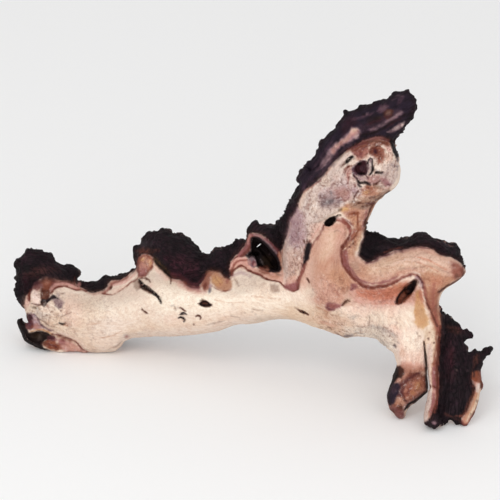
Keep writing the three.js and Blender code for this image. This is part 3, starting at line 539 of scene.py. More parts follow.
MARKS = [
    # --- broad tones of the trunk, with painted light: paler bands on the lit upper part, painted shade towards the underside ---
    ("A", "sand", .42, 18, 0, [(24, 296), (60, 300), (98, 298), (106, 322), (100, 348), (70, 338), (44, 328), (28, 318)]),
    ("S", "blush", .55, 12, 0, (72, 311, 10, 15, 0)),
    ("S", "ivory", .5, 12, 0, (44, 308, 14, 10, 0)),
    ("S", "ivory", .6, 14, 0, (106, 330, 22, 14, -10)),
    # milk bands along the upper trunk: painted highlight on the lit part
    ("A", "milk", .85, 14, 0, [(150, 292), (162, 286), (190, 292), (215, 293), (232, 290), (240, 298), (228, 311),
                               (195, 314), (165, 313), (150, 302)]),
    ("A", "milk", .55, 12, 0, [(232, 288), (268, 292), (292, 296), (290, 306), (262, 311), (236, 311)]),
    ("A", "milk", .45, 12, 0, [(92, 300), (130, 294), (140, 300), (132, 316), (104, 318), (90, 312)]),
    # sand on the lower trunk and the ash line along its lower edge: painted shade, darker and greyer towards the
    # underside
    ("A", "sand", .62, 14, 0, [(70, 340), (95, 346), (118, 340), (128, 330), (160, 326), (205, 322), (245, 314),
                               (285, 311), (300, 316), (300, 330), (245, 330), (205, 342), (150, 348), (120, 356), (80, 356)]),
    ("L", "ash", .6, 7, 0, [(72, 346, 2), (95, 352, 2.5), (112, 350, 3), (126, 337, 3), (150, 334, 2.5), (185, 333, 3),
                            (210, 330, 3), (240, 322, 3), (270, 318, 3), (300, 320, 2)]),
    ("A", "sand", .75, 12, 0, [(286, 304), (312, 304), (345, 316), (372, 330), (350, 340), (318, 332), (288, 320)]),
    ("S", "clay", .45, 12, 0, (338, 323, 20, 7, 14)),
    ("A", "blush", .8, 14, 0, [(352, 304), (400, 304), (412, 318), (404, 334), (380, 334), (356, 324), (346, 312)]),
    ("S", "cream", .75, 10, 0, (380, 320, 14, 9, 0)),
    ("S", "cream", .6, 9, 0, (356, 318, 9, 6, 20)),
    # ash area under the tongue and leg: painted shade on the underside
    ("A", "ash", .8, 9, 0, [(345, 328), (372, 326), (390, 330), (398, 340), (395, 352), (380, 345), (366, 338), (346, 338)]),
    # --- tongue ---
    ("A", "clay", 1, 5, 0, [(302, 292), (299, 282), (302, 272), (306, 262), (310, 250), (314, 242), (318, 237),
                            (322, 231), (325, 226), (331, 224), (338, 221), (344, 222), (348, 227), (349, 233),
                            (346, 240), (341, 248), (340, 256), (342, 264), (347, 271), (353, 278), (360, 284),
                            (366, 288), (372, 292), (372, 300), (352, 305), (322, 305), (306, 300)]),
    ("A", "rose", .8, 10, 0, [(322, 234), (332, 226), (342, 226), (346, 232), (342, 242), (336, 250), (326, 252), (318, 246)]),
    ("A", "sand", .55, 9, 0, [(322, 234), (330, 229), (338, 234), (334, 250), (324, 262), (316, 258)]),
    ("A", "blush", .65, 9, 0, [(304, 272), (309, 260), (314, 262), (312, 280), (308, 292), (300, 292)]),
    ("S", "tan", .4, 12, 0, (326, 268, 12, 9, 0)),
    ("S", "ochre", .3, 14, 0, (340, 280, 12, 12, 30)),
    ("S", "rose", .55, 14, 0, (322, 294, 16, 12, 0)),
    ("S", "cream", .75, 9, 0, (308, 294, 7, 9, 0)),
    ("S", "cream", .6, 9, 0, (354, 298, 8, 5, -20)),
    ("L", "rose", .4, 5, 0, [(341, 228, 2), (346, 234, 2), (341, 244, 2)]),
    # --- limb ---
    ("A", "fleece", 1, 7, 0, [(293, 224), (300, 208), (304, 194), (312, 188), (322, 180), (334, 166), (342, 158),
                              (352, 156), (352, 200), (342, 208), (330, 214), (322, 219), (314, 228), (308, 240),
                              (300, 262), (292, 280), (284, 284), (282, 262), (285, 246)]),
    ("A", "rose", .55, 10, 0, [(310, 226), (322, 219), (326, 224), (320, 234), (312, 244), (308, 244)]),
    ("A", "clay", .45, 12, 0, [(284, 252), (296, 246), (304, 256), (300, 270), (292, 280), (284, 276)]),
    ("A", "lavender", .8, 9, 0, [(290, 222), (298, 208), (303, 214), (306, 232), (304, 246), (296, 248), (288, 244),
                                 (287, 232)]),
    ("A", "lilacgrey", .35, 8, 0, [(290, 222), (296, 210), (300, 216), (302, 232), (297, 242), (290, 240)]),
    ("S", "ivory", .55, 10, 0, (318, 204, 9, 13, 30)),
    # --- knob ---
    ("A", "ivory", 1, 6, 0, [(332, 182), (340, 166), (348, 156), (360, 150), (372, 144), (384, 140), (392, 144),
                             (398, 158), (400, 172), (394, 186), (380, 198), (366, 204), (350, 206), (338, 198)]),
    ("A", "cream", .85, 6, 0, [(383, 150), (392, 150), (398, 160), (399, 170), (393, 180), (385, 178), (381, 166)]),
    ("A", "lavender", .45, 10, 0, [(328, 178), (345, 176), (352, 190), (342, 202), (324, 204), (318, 194)]),
    # --- neck and arm ---
    ("A", "tan", 1, 4, 0, [(346, 204), (362, 200), (378, 202), (372, 212), (366, 224), (363, 236), (360, 248),
                           (357, 258), (350, 262), (343, 256), (346, 246), (352, 238), (353, 226), (346, 216), (338, 210)]),
    ("A", "rose", .5, 5, 0, [(364, 206), (374, 205), (368, 218), (364, 230), (360, 232), (361, 218)]),
    ("A", "ochre", .5, 6, 0, [(344, 214), (354, 208), (360, 214), (358, 226), (352, 220)]),
    ("A", "ivory", .9, 3.5, .3, [(361.5, 232), (364, 232), (362, 243), (359, 254), (356, 258), (355, 252), (358, 242)]),
    ("A", "clay", 1, 4, 0, [(344, 256), (352, 256), (358, 258), (366, 264), (374, 263), (380, 259), (390, 255),
                            (404, 251), (420, 248), (432, 251), (443, 257), (456, 261), (463, 268), (460, 277),
                            (448, 285), (440, 288), (434, 280), (424, 274), (416, 272), (406, 275), (394, 281),
                            (380, 285), (368, 285), (358, 280), (350, 272), (345, 264)]),
    ("A", "sand", .6, 8, 0, [(376, 262), (392, 256), (412, 252), (430, 253), (448, 262), (452, 268), (430, 268),
                             (405, 268), (385, 276), (368, 276), (364, 270)]),
    ("A", "blush", .55, 7, 0, [(404, 254), (424, 252), (440, 258), (456, 263), (450, 268), (428, 263), (404, 264), (388, 268)]),
    ("A", "tan", .5, 8, 0, [(350, 262), (360, 262), (368, 268), (376, 278), (366, 282), (356, 276)]),
    ("S", "greybrown", .3, 10, 0, (356, 264, 7, 5, 40)),
    ("S", "sand", .7, 8, 0, (434, 272, 10, 4, 14)),
    # --- saddle under the arm and upper leg ---
    ("A", "rose", .9, 6, 0, [(352, 286), (364, 290), (386, 290), (404, 283), (414, 280), (420, 290), (424, 306),
                             (412, 305), (392, 304), (372, 306), (356, 304), (350, 296)]),
    ("A", "terracotta", .95, 6, 0, [(366, 290), (384, 290), (400, 284), (408, 281), (405, 288), (399, 294), (392, 298),
                                    (376, 297), (366, 296)]),
    ("A", "ochre", .35, 5, 0, [(386, 289), (400, 284), (403, 288), (396, 294), (386, 295)]),
    ("A", "rose", .75, 4, 0, [(352, 288), (366, 292), (372, 300), (366, 304), (354, 302), (348, 296)]),
    ("A", "pink", .5, 6, 0, [(372, 300), (392, 299), (398, 304), (384, 306), (370, 306)]),
    # --- leg ---
    ("A", "blush", .75, 8, 0, [(398, 330), (416, 330), (424, 340), (425, 368), (412, 370), (400, 366), (396, 350)]),
    ("A", "milk", .7, 8, 0, [(404, 330), (420, 332), (424, 342), (420, 352), (406, 350), (400, 340)]),
    ("A", "cream", .8, 8, 0, [(400, 310), (414, 308), (414, 326), (402, 330), (392, 320)]),
    ("L", "fleece", .6, 3, 0, [(398, 344, 1.5), (398, 352, 1.5), (400, 360, 1.2), (402, 366, .8)]),
    ("S", "tan", .35, 3, 0, (402, 353, 2, 3.5, 0)),
    ("A", "honey", .75, 3.5, 0, [(416, 292), (419, 290), (421, 298), (424, 308), (428, 318), (429, 325), (424, 329),
                                 (418, 328), (414.5, 322), (414.5, 308), (416, 300)]),
    ("A", "ochre", .45, 3, 0, [(415, 306), (423, 308), (427, 318), (426, 326), (418, 326), (415, 318)]),
    ("A", "terracotta", .65, 2.5, 0, [(419, 288), (421, 287), (424, 300), (422, 304), (419, 298)]),
    ("A", "sand", .8, 4, 0, [(424, 330), (432, 326), (438, 336), (438, 350), (433, 360), (428, 364), (426, 352), (424, 340)]),
    ("S", "blush", .6, 3, 0, (430, 350, 3, 12, 0)),
    # --- right fold ---
    ("A", "tan", 1, 4, 0, [(420, 273), (432, 272), (446, 276), (456, 279), (448, 286), (440, 291), (438, 300), (439, 312),
                           (441, 330), (440, 342), (436, 334), (430, 318), (427, 304), (424, 290)]),
    ("A", "rust", .6, 4, 0, [(430, 286), (440, 289), (438, 300), (439, 314), (440, 334), (436, 332), (430, 314), (428, 300)]),
    ("A", "terracotta", .4, 6, 0, [(432, 276), (446, 279), (442, 286), (434, 292), (430, 286)]),
    ("L", "brick", .65, 2.5, 0, [(434, 284, 1.2), (433, 296, 1.2), (434, 308, 1.5), (437, 322, 1.5)]),
    # --- left end: bark lobe, its rim and its marks ---
    ("S", "umber", .5, 10, 0, (40, 273, 14, 5, -8)), ("S", "plum", .5, 8, 0, (27, 284, 6, 8, 0)),
    ("A", "russet", .95, 5, .3, [(33, 288), (34, 284), (38, 280.5), (43, 278), (48, 277), (52, 279), (54, 284),
                                (51, 289), (46, 292), (40, 290), (36, 291)]),
    ("A", "sienna", .8, 4, .3, [(42, 281), (46, 278.5), (50, 279.5), (51.5, 284), (49, 289), (45, 290), (43, 286)]),
    ("S", "clay", .35, 3.4, 0, (46.6, 282, 3, 3, 0)), ("S", "smoke", .35, 4, 0, (39, 286, 4, 2.6, -20)),
    ("A", "russet", .8, 4, -.3, [(52, 279.6), (60, 280.6), (70, 281.4), (77, 284), (76, 286), (66, 283.6), (58, 283.4), (53, 287)]),
    ("A", "sienna", .9, 3, -1.2, [(41.6, 288), (46, 289), (50, 289), (50, 296), (47, 300), (43, 301), (41.6, 295)]),
    ("L", "umber", .95, 2, -1.2, [(41.4, 289, .8), (41, 293, 1.1), (41.4, 298, 1.3), (42.6, 302, 1.6), (43.4, 305, 1.2)]),
    ("A", "black", .95, 1.6, -1.6, [(42, 299.4), (46, 300.6), (48.4, 301.6), (46, 304), (43.8, 307), (42.4, 304)]),
    ("L", "bark", .95, 1.8, -1.2, [(46, 301.4, 1.1), (49, 299.4, 1.2), (51, 297, 1.2), (54, 297, 1.3), (57.6, 298.6, .9)]),
    ("A", "smoke", .85, 3, -.2, [(52, 299), (57, 298.6), (62, 299.6), (64, 303), (62.6, 307), (58.6, 308.6), (55, 305.4)]),
    ("L", "steel", .5, 1.8, 0, [(55, 306, .6), (58.4, 308.4, .7), (62, 307.4, .6)]),
    ("S", "umber", .5, 1.6, 0, (62, 293.6, 1.6, .8, 0)), ("S", "smoke", .5, 2.4, 0, (58, 295.6, 1.2, 2, 0)),
    ("L", "redbrown", .95, 2, -.9, [(29.6, 290.6, .8), (29, 294, 1.2), (28.6, 298, 1.2), (28.8, 300.6, .7)]),
    ("A", "shell", .75, 3, .4, [(32, 291.6), (36, 290.6), (39.4, 294), (40, 302), (38, 305.6), (33, 305), (31.4, 299)]),
    ("S", "pink", .5, 3, 0, (27.4, 303, 2.2, 4, 0)),
    ("S", "olive", .5, 2.4, 0, (34.4, 307.8, 3.6, 1.3, 4)), ("S", "greybrown", .7, 1.8, 0, (40, 304.8, 1.6, .8, -10)),
    ("L", "redbrown", 1, 1.9, -1, [(47, 297, 1), (50, 294, 1), (53, 291, 1), (55.6, 288, .9), (59, 286.4, .9), (64, 286, .8),
                                    (69, 287.4, .8), (74, 289, .9), (80, 289.8, .8), (86, 291.6, .6)]),
    ("L", "dustpink", .95, 2, .7, [(50, 291, .9), (53, 287.4, 1.2), (56, 284.6, 1.4), (61, 283.2, 1.2), (66, 283.8, 1.2), (71, 285.2, 1.3),
                                (75, 287, 1.1), (79, 288, .8)]),
    ("L", "pink", .6, 1.6, .3, [(57, 284.2, .5), (62, 283, .6), (68, 284.2, .6), (73, 286.2, .9), (76, 287.4, .7)]),
    ("S", "dustpink", .8, 2.6, .5, (79.4, 284.6, 2.4, 3, 0)),
    ("L", "redbrown", .9, 1.6, -.6, [(74.6, 277, .7), (74, 281, .8), (75, 285, .7)]),
    ("L", "umber", .7, 1.6, -.4, [(76.4, 278, .5), (76, 283, .6), (77.4, 286, .5)]),
    # flake, hollow and its rims
    ("A", "lavender", .85, 3, 0, [(29, 313), (34, 315), (37, 319), (39, 324), (43, 328), (38, 330), (33, 330), (32, 324), (31, 318)]),
    ("S", "dustpink", .8, 3, 0, (35.6, 327, 3.4, 2.8, 0)), ("L", "shell", .4, 2, 0, [(42, 327, .7), (46, 328.4, .9), (50, 329, .6)]),
    ("A", "wine", .95, 2.4, -.6, [(26.6, 322), (30, 319), (33, 321), (33.4, 327), (31, 330.6), (27, 330), (25.4, 326)]),
    ("S", "rust", .7, 1.8, 0, (32, 327, 1.3, 2, 0)), ("S", "dusk", .6, 2, 0, (30, 324.6, 2, 1.6, 0)),
    ("A", "plum", .95, 2.2, 0, [(27.4, 313.4), (31, 314), (33.6, 318), (30.6, 320.4), (27, 321), (24, 320), (25.6, 316)]),
    ("A", "bark", 1, 2, 0, [(12, 312), (22, 313), (25.6, 314), (27, 317), (25.6, 320), (25, 324), (26.4, 330), (24, 342), (8, 334)]),
    ("L", "smoke", .95, 1.5, -.8, [(33.4, 314.4, .7), (36, 316.6, .8), (38, 320, .9), (40, 324, .9), (43, 327, .9), (48, 330, .9), (53, 330, .6)]),
    ("L", "greybrown", .8, 1.4, -.4, [(39.4, 319, .5), (43, 321, .6), (46, 324, .6), (49, 326, .4)]),
    ("L", "ochre", .9, 1.3, .6, [(29, 332.4, .5), (33, 330.6, .6), (38, 329.6, .6), (43, 330, .6), (48, 332, .6), (52, 334, .5)]),
    # black in the carved hollow at the lower left: painted shade in the hollow; the olive spot on it below is a painted
    # glint
    ("A", "black", 1, 2, -1.2, [(10, 322), (20, 318), (25, 321), (26, 328), (29, 332.6), (34, 331.4), (40, 330.8), (46, 332), (51, 334.6),
                                (55, 337), (51, 339), (45, 341), (42, 344), (43, 347.6), (48, 350.6), (54, 353), (54, 362), (30, 356), (8, 338)]),
    ("S", "olive", .5, 5, 0, (36, 336, 6, 3, 10)),
    ("A", "wine", .9, 3, .2, [(47, 336.6), (51, 335), (56, 337.4), (58, 340.6), (53, 342), (47, 341)]),
    ("S", "plum", .8, 2, 0, (51, 338, 3, 1.6, 12)),
    ("A", "sienna", 1, 3, .4, [(43, 342), (48, 341), (55, 341), (61, 343.6), (62.6, 349), (56, 350.6), (48, 348.4), (43, 345.6)]),
    ("S", "umber", .8, 2.4, 0, (43.4, 343.6, 2.4, 1.6, 0)), ("L", "plum", .6, 1.6, 0, [(48, 344, .5), (54, 345.4, .6), (58, 348, .5)]),
    ("A", "dustpink", .85, 4, .3, [(57, 338.4), (64, 339), (74, 343), (82, 348.6), (90, 353), (82, 354), (68, 353), (62, 349), (60, 344)]),
    ("S", "mauve", .75, 3.4, .2, (61.6, 341.4, 4, 2.6, 20)), ("S", "clay", .6, 4, .2, (74, 348, 7, 2.6, 20)),
    ("L", "russet", .95, 1.7, -.9, [(52, 333.6, .7), (58, 334.6, .8), (64, 336.6, .8), (70, 339, .8), (75, 341.4, .9), (79, 344.6, .9),
                                      (83, 348.6, .9), (88, 352, .8), (95, 354, .6)]),
    ("L", "rust", .6, 1.4, -.3, [(58, 336.6, .5), (64, 338, .6), (70, 341, .5)]),
    ("L", "shell", .5, 1.8, .5, [(58, 332, .8), (66, 334.6, .8), (74, 338, .8), (80, 342, .8), (86, 347, .8)]),
    ("L", "bark", .9, 2.2, 0, [(44, 350, 1.4), (52, 353, 1.3), (62, 354.6, 1), (80, 354, .7), (95, 356, .6)]),
    # small marks on the left trunk
    ("S", "umber", .85, 1.3, -.5, (61, 311, .9, .9, 0)),
    ("L", "greybrown", .7, 1.4, -.3, [(62, 317, .6), (66, 315, .6), (71, 313, .5)]),
    ("L", "black", .95, 1.3, -.9, [(59.6, 322.8, .9), (62, 323.6, 1), (64.6, 324.4, .8)]),
    ("L", "tan", .8, 1.4, -.3, [(64, 324.5, .6), (68, 326, .5)]),
    ("S", "greybrown", .6, 1.8, 0, (52, 312, 1, 1, 0)), ("S", "greybrown", .55, 2, 0, (46, 315, 1.4, 1, 0)),
    ("S", "greybrown", .5, 2, 0, (61, 318, 1.4, .8, 0)), ("S", "steel", .25, 6, 0, (40, 315, 6, 3, 20)),
    # --- crest between the lobes ---
    ("L", "brick", .8, 2.4, .3, [(104, 293, .9), (107, 291, 1.1), (109, 287.5, 1.2), (112, 284, 1.2), (116, 282, 1.1),
                                 (122, 280.5, 1), (128, 277.5, 1)]),
    ("S", "umber", .9, 1.8, -.6, (110.5, 287.5, 1.2, 2.6, 20)),
    ("L", "pink", .85, 2.2, .4, [(113, 285, .9), (117, 284, 1.2), (121, 283, 1), (126, 281, .9), (131, 278, .9), (135, 274, .8)]),
    ("L", "redbrown", .8, 1.4, -.7, [(102, 293.6, .6), (108, 294.6, .6), (113, 294.8, .6), (118, 292.5, .6), (122, 289, .6),
                                     (126, 286, .6), (130, 283, .6), (134, 281, .6), (138, 279, .6)]),
    ("A", "blush", .6, 3, .3, [(112, 290), (118, 288), (124, 285), (128, 282), (124, 288), (118, 293), (112, 294)]),
    # --- second lobe ---
    ("S", "sienna", .5, 6, 0, (146, 251, 8, 3, 0)),
    ("A", "rust", 1, 3, .5, [(137, 270), (137.5, 262), (139, 257.5), (142, 255), (147, 254.5), (151, 256), (153, 260),
                               (152.5, 266), (151, 270), (148, 274), (144, 277), (138, 278)]),
    ("A", "peach", .9, 3.4, .4, [(138.5, 267), (140, 260), (143, 257), (147, 257), (151, 260), (151.6, 265),
                                  (149, 269), (144, 269), (140, 271)]),
    ("S", "honey", .6, 2.6, .2, (142.6, 259.4, 2.4, 1.6, -10)),
    ("S", "honey", .65, 2.4, .2, (149.8, 262.6, 1.3, 2.6, 0)),
    ("L", "rust", .6, 1.5, -.3, [(145.6, 258, .5), (145, 263, .6), (147, 268, .5)]),
    ("L", "brick", .5, 1.4, -.2, [(141.6, 262, .4), (141, 267, .5), (142.6, 271, .5)]),
    ("A", "mauve", .85, 3, 0, [(138.5, 270), (143, 267), (148, 270), (146, 275), (141, 277), (138, 275)]),
    ("L", "redbrown", .55, 1.8, -.6, [(151, 255, .7), (152.6, 258, .8), (153, 262, .8), (151.6, 267, .8), (149.4, 271, .8),
                                     (146, 275, .8), (142, 277.6, .7)]),
    ("L", "umber", .9, 1.5, -.7, [(140, 278.6, .6), (143, 278, .7), (146, 277.8, .8), (149, 280, .8), (150, 282.5, .6)]),
    ("A", "greybrown", .6, 3, 0, [(134, 280), (139, 278), (142, 280), (141, 288), (137, 291), (134, 287)]),
    ("A", "blush", .9, 2.4, .4, [(154, 262.5), (156, 263), (160, 270), (165, 275), (170, 279.5), (165, 281), (158, 274), (154, 268)]),
    ("L", "olive", .8, 3.5, 0, [(155, 260, 2.4), (160, 265, 3), (166, 271, 3), (171, 276, 2.4)]),
    ("L", "black", .7, 2, 0, [(156, 262.5, .7), (160, 267, .8), (164, 271, .8), (168, 275.4, .7), (172, 278, .7)]),
    ("L", "umber", .85, 1.3, -.8, [(170, 278, .5), (171.4, 281, .6), (171, 284.5, .4)]),
    ("L", "wine", .8, 4, .2, [(172, 274, 1.5), (180, 276, 2), (186, 280, 2), (192, 284, 1.8), (199, 284, 1.6), (204, 276, 2)]),
    ("L", "russet", .7, 3, .2, [(173, 277.6, 1), (180, 279, 1.1), (186, 283, 1.2), (192, 287, 1.2), (199, 287.4, 1.1)]),
    ("S", "redbrown", .8, 2, 0, (185, 283, 2.2, 1.8, 30)),
    ("S", "mauve", .8, 2.6, 0, (193.5, 287.5, 4, 1.8, 6)),
    ("L", "dustpink", .8, 3.2, .4, [(174, 281, .9), (180, 282, 1.1), (185, 286, 1.2), (190, 289.6, 1.5), (197, 291, 1.4),
                                (205, 291.5, 1.2)]),
    ("L", "rose", .6, 3, .2, [(178, 284, .8), (185, 289, 1), (194, 293.4, 1), (203, 294, .9)]),
    ("S", "wine", .6, 2, 0, (197.6, 287.6, 2, 1.6, 0)),
    ("A", "plum", .55, 12, 0, [(164, 256), (182, 256), (198, 262), (200, 278), (188, 280), (172, 272)]),
    ("S", "steel", .22, 6, 0, (145, 245, 6, 4, 0)),
    ("A", "rust", .9, 3, .2, [(201, 286), (203, 279), (206, 272), (210, 270.5), (211, 276), (210, 284), (208, 290), (203, 291)]),
    ("S", "redbrown", .95, 2, -.6, (204.6, 287, 1.6, 3, 12)),
    ("S", "steel", .9, 1.8, -.5, (209.6, 290.6, 1.6, 2.2, 0)),
    ("S", "lavender", .85, 1.8, .3, (210.4, 286, 1.8, 1.8, 0)),
    ("A", "tan", 1, 3, .4, [(209, 272), (213, 270.5), (219, 272), (223, 276), (227, 279.5), (231, 280), (232, 288), (226, 291.5),
                             (218, 289.5), (212, 284)]),
    ("A", "ochre", .7, 3.6, .3, [(211, 275), (216, 274), (221, 277), (224, 282), (222, 287), (216, 286), (212, 282)]),
    ("S", "honey", .75, 3.4, .2, (217, 280.5, 4, 3.4, 20)), ("S", "rust", .5, 2.6, 0, (211, 274, 1.6, 3, 10)),
    ("L", "brick", .5, 1.5, 0, [(214, 273.6, .5), (216, 279, .6), (221, 285, .5)]),
    ("S", "brick", .75, 2.4, 0, (226.6, 280.4, 1.8, 2.6, 0)),
    ("L", "redbrown", .6, 1.5, -.5, [(212, 286.5, .5), (216, 288.6, .6), (222, 291.5, .6), (231, 289.6, .6)]),
    ("L", "umber", .8, 1.6, 0, [(206, 272, .8), (210, 270, .9), (216, 270.2, .9), (221, 272.4, .9), (225, 277, .9), (229, 278.6, .9)]),
    # crack and marks below the second lobe
    # the black line along the carved crack: painted shade in the crack
    ("L", "umber", .8, 2, -.5, [(139.6, 282, 1.4), (142, 286, 2.2), (146, 289.4, 2), (152, 293, 1.2)]),
    ("L", "black", 1, 1.5, -2, [(139.5, 280, .8), (141.2, 283.6, 1.7), (144, 286.8, 2.2), (148, 288.4, 1.7), (152, 291.8, 1.3),
                                (156, 295, 1.3), (159.4, 298.6, 1.3), (161.2, 302.6, 1), (161.6, 304, .5)]),
    ("S", "blush", .6, 3, .4, (150, 286, 3, 2.4, 0)),
    ("L", "greybrown", .95, 1.2, -.5, [(142, 309.2, .8), (144.6, 310.8, .7), (147, 313, .8)]),
    ("S", "umber", .8, 1.1, -.3, (142.4, 309.4, .8, .7, 0)), ("S", "umber", .6, 1.1, -.3, (146.6, 312.8, .8, .7, 0)),
    ("L", "ash", .9, 1.2, -.3, [(171, 306, .6), (174, 305.5, .6)]), ("L", "greybrown", .8, 1.2, -.3, [(175, 307, .5), (175.3, 310, .7)]),
    ("L", "ash", .7, 1.2, 0, [(176.6, 308, .4), (180, 308, .5)]),
    ("L", "umber", 1, 1.2, -.7, [(180, 307.4, .7), (182, 308.7, 1), (184, 310, .8), (185.6, 311.4, .5)]),
    ("A", "bark", 1, 1.1, -1, [(179, 315), (181.5, 312.4), (184, 312), (186, 313.4), (187.8, 315.6), (184, 314.8)]),
    ("L", "black", 1, 1.1, -1, [(178.6, 318.4, .5), (181, 317.3, 1), (183.4, 317.8, 1.1), (185, 319.6, .9), (184, 321.8, .5)]),
    ("L", "umber", .95, 1.2, -.6, [(195.6, 317.2, .6), (197.4, 315.9, .9), (199.6, 316.2, .9), (200.8, 317.8, .6), (200.2, 319.6, .6)]),
    ("S", "umber", 1, 1.2, -.5, (193.8, 324.8, 1.2, 1, 0)),
    ("A", "umber", 1, 1.3, -1.2, [(197.8, 303.5), (201, 301.4), (203, 299.8), (206.2, 300), (209.2, 302.2), (212.4, 305), (210, 306.8), (205, 307),
                                  (201, 306)]),
    ("L", "black", 1, 1.3, 0, [(199.4, 303.6, .7), (203, 301.6, .9), (206, 301.8, .9), (210.6, 305, .8), (205.4, 305.6, .9), (201, 304.6, .8)]),
    ("L", "olive", .5, 1.5, 0, [(200, 300.6, .5), (203, 298.8, .6)]),
    ("S", "steel", .35, 3, 0, (127, 336, 3, 1.6, 0)), ("S", "steel", .3, 3, 0, (140, 334, 3, 1.4, 0)),
    ("S", "steel", .3, 3, 0, (160, 333, 3, 1.2, 0)),
    # --- loop ---
    ("A", "russet", .98, 2.2, -.4, [(230, 274), (229, 268), (231, 262), (235, 256), (240, 253), (244, 249), (247, 244), (248, 238), (251, 234),
                                 (255, 233), (260, 235), (266, 239), (272, 245), (278, 251), (281, 257), (281, 264), (278, 260), (272, 252),
                                 (266, 246), (259, 240), (254.6, 237.6), (252.6, 240), (251.6, 246), (249.6, 251.6), (245.6, 256), (240, 258),
                                 (236, 261), (233, 266), (232, 272)]),
    ("L", "mauve", .95, 1.9, .9, [(238, 255.4, 1), (242.4, 252, 1.3), (246.4, 247.4, 1.5), (248.6, 242.4, 1.7), (249.2, 238, 1.6), (251, 235.4, 1.2),
                                 (254.4, 235, .9)]),
    ("L", "dustpink", .8, 1.8, .3, [(247.6, 243.6, .8), (248.9, 239.4, 1.1), (250, 236.4, 1)]),
    ("L", "smoke", .95, 1.8, .8, [(253.6, 235, .9), (257, 235.4, 1.2), (261, 237.4, 1.3), (265, 240.6, 1.4), (269, 244.4, 1.5), (273, 249.4, 1.5),
                                  (276.6, 253.6, 1.2)]),
    ("L", "dustpink", .6, 1.6, .3, [(254, 234.8, .6), (258, 235.6, .8), (263, 238.2, .8), (268, 242.8, .7)]),
    ("L", "wine", .9, 2, .3, [(266, 239.4, .7), (271, 243.6, 1), (275.6, 247.8, 1.3), (279, 251.4, 1.2)]),
    ("A", "rose", .95, 2.6, 0, [(230, 273), (230.4, 266), (233, 261), (238, 258), (246, 257), (252, 262), (256, 269), (252, 273), (244, 268),
                              (238, 267), (233, 271)]),
    ("L", "brick", .95, 1.8, -.6, [(232.6, 269, .9), (234, 265.4, 1.1), (236.8, 262, 1.1), (240, 260.4, .9), (244, 260, .8), (247.6, 259.6, .5)]),
    ("L", "pink", .9, 1.7, .8, [(229.8, 269, .7), (231.4, 264, .9), (234, 260.4, 1), (238, 257.9, 1), (243, 257.6, .9), (246, 258.4, .6)]),
    ("L", "pink", .9, 2, .5, [(238, 263.8, .7), (241.6, 262.4, .9), (245.6, 262.6, 1.1), (249, 265.4, 1.3), (252.6, 269, 1)]),
    ("A", "rose", .98, 2.6, .3, [(254, 267), (262, 268), (270, 268), (279, 268), (281.4, 264), (284, 272), (283, 283), (272, 280.4),
                               (262, 276.5), (254, 273)]),
    ("A", "peach", .7, 3, .2, [(264, 269), (278, 270), (281, 278), (270, 278.4)]),
    ("L", "rust", .8, 2.2, -.2, [(259, 270.6, .9), (264, 272.6, 1.2), (269, 273, 1)]), ("S", "pink", .7, 1.8, 0, (272, 273.6, 2.6, 1.1, 30)),
    ("L", "greybrown", .8, 1.5, -.3, [(275.6, 272.6, .5), (278.6, 274.4, .6), (281, 275, .5)]),
    ("L", "peach", .95, 2.2, .3, [(279.6, 252.6, .9), (280.8, 257, 1.4), (280.6, 263, 1.2), (281, 268, .9)]),
    ("L", "redbrown", .95, 1.9, -.5, [(231.6, 270.4, 1.3), (231.4, 275, 1.4)]),
    ("L", "redbrown", .98, 1.5, -1.1, [(232.4, 271.6, 1), (235, 269.2, 1.1), (238.4, 266.6, 1), (241.8, 265.4, .7), (245, 267, .8), (248, 269.8, .8),
                                    (252, 272, .9), (256, 273.6, 1.1), (260, 275.2, 1.2), (264, 277.4, 1.1), (267.6, 279.6, 1.1), (271, 280.5, 1),
                                    (275, 280.9, .9), (279, 281.9, .9), (282, 284, 1), (286, 286.7, 1.1), (290, 289.2, 1.3), (294, 290.7, 1.3), (297.4, 289, .9)]),
    ("L", "brick", .7, 1.6, 0, [(255, 272.2, .5), (259, 273.8, .8), (263, 275.4, .7)]), ("L", "umber", .7, 1.3, 0, [(267, 279.6, .6), (271, 280.6, .7), (277, 281.2, .5)]),
    ("A", "greybrown", .55, 3, -.4, [(270, 284.6), (275, 284), (279, 286), (279, 291), (274, 292.6), (270, 290)]),
    ("L", "greybrown", .5, 2, 0, [(233, 277, .8), (236, 281, 1), (239, 286, .8)]),
    ("L", "lavender", .5, 3, 0, [(233, 276, 1.4), (242, 272, 1.6), (250, 276, 1.4)]),
    ("S", "greybrown", .6, 1.4, 0, (244, 313, .8, .8, 0)), ("S", "greybrown", .5, 1.4, 0, (252, 312, .8, .8, 0)),
    ("S", "greybrown", .6, 1.4, 0, (255.5, 314, .8, .8, 0)),
    ("L", "greybrown", .6, 1.3, -.3, [(231, 316, .5), (238, 317, .5), (243, 320, .5)]),
    ("L", "umber", .95, 1.3, -.9, [(298, 309.6, .6), (300.5, 311, 1.1), (304, 312.8, 1.1), (307.6, 314.6, .7)]),
    ("L", "greybrown", .6, 1.3, -.2, [(294.6, 307.6, .5), (298, 309, .6)]),
    # bark and black areas over the loop's carved hollow, and the black spot lower down in it: painted shade in the
    # hollow
    ("A", "bark", 1, 1.7, 0, [(250.8, 238), (254.6, 236.4), (259.4, 238), (264.6, 241.8), (269.8, 246.6), (274.8, 252.4), (278.6, 257.6),
                               (280.6, 263), (281, 269.6), (278, 272), (272, 271.6), (266, 271), (260, 269), (255.4, 266), (252.6, 259.4),
                               (247.4, 258), (245.4, 255.6), (249.6, 250.4), (250.8, 245)]),
    ("A", "black", 1, 1.5, 0, [(252.4, 240), (255.4, 238), (259.4, 240), (264, 243.6), (269, 248.4), (273, 254), (276.6, 259),
                               (279, 264), (279.6, 269), (276, 270.6), (271, 268), (264, 268), (257, 266), (254, 259),
                               (249, 256.4), (247.4, 255), (251, 251), (252, 246)]),
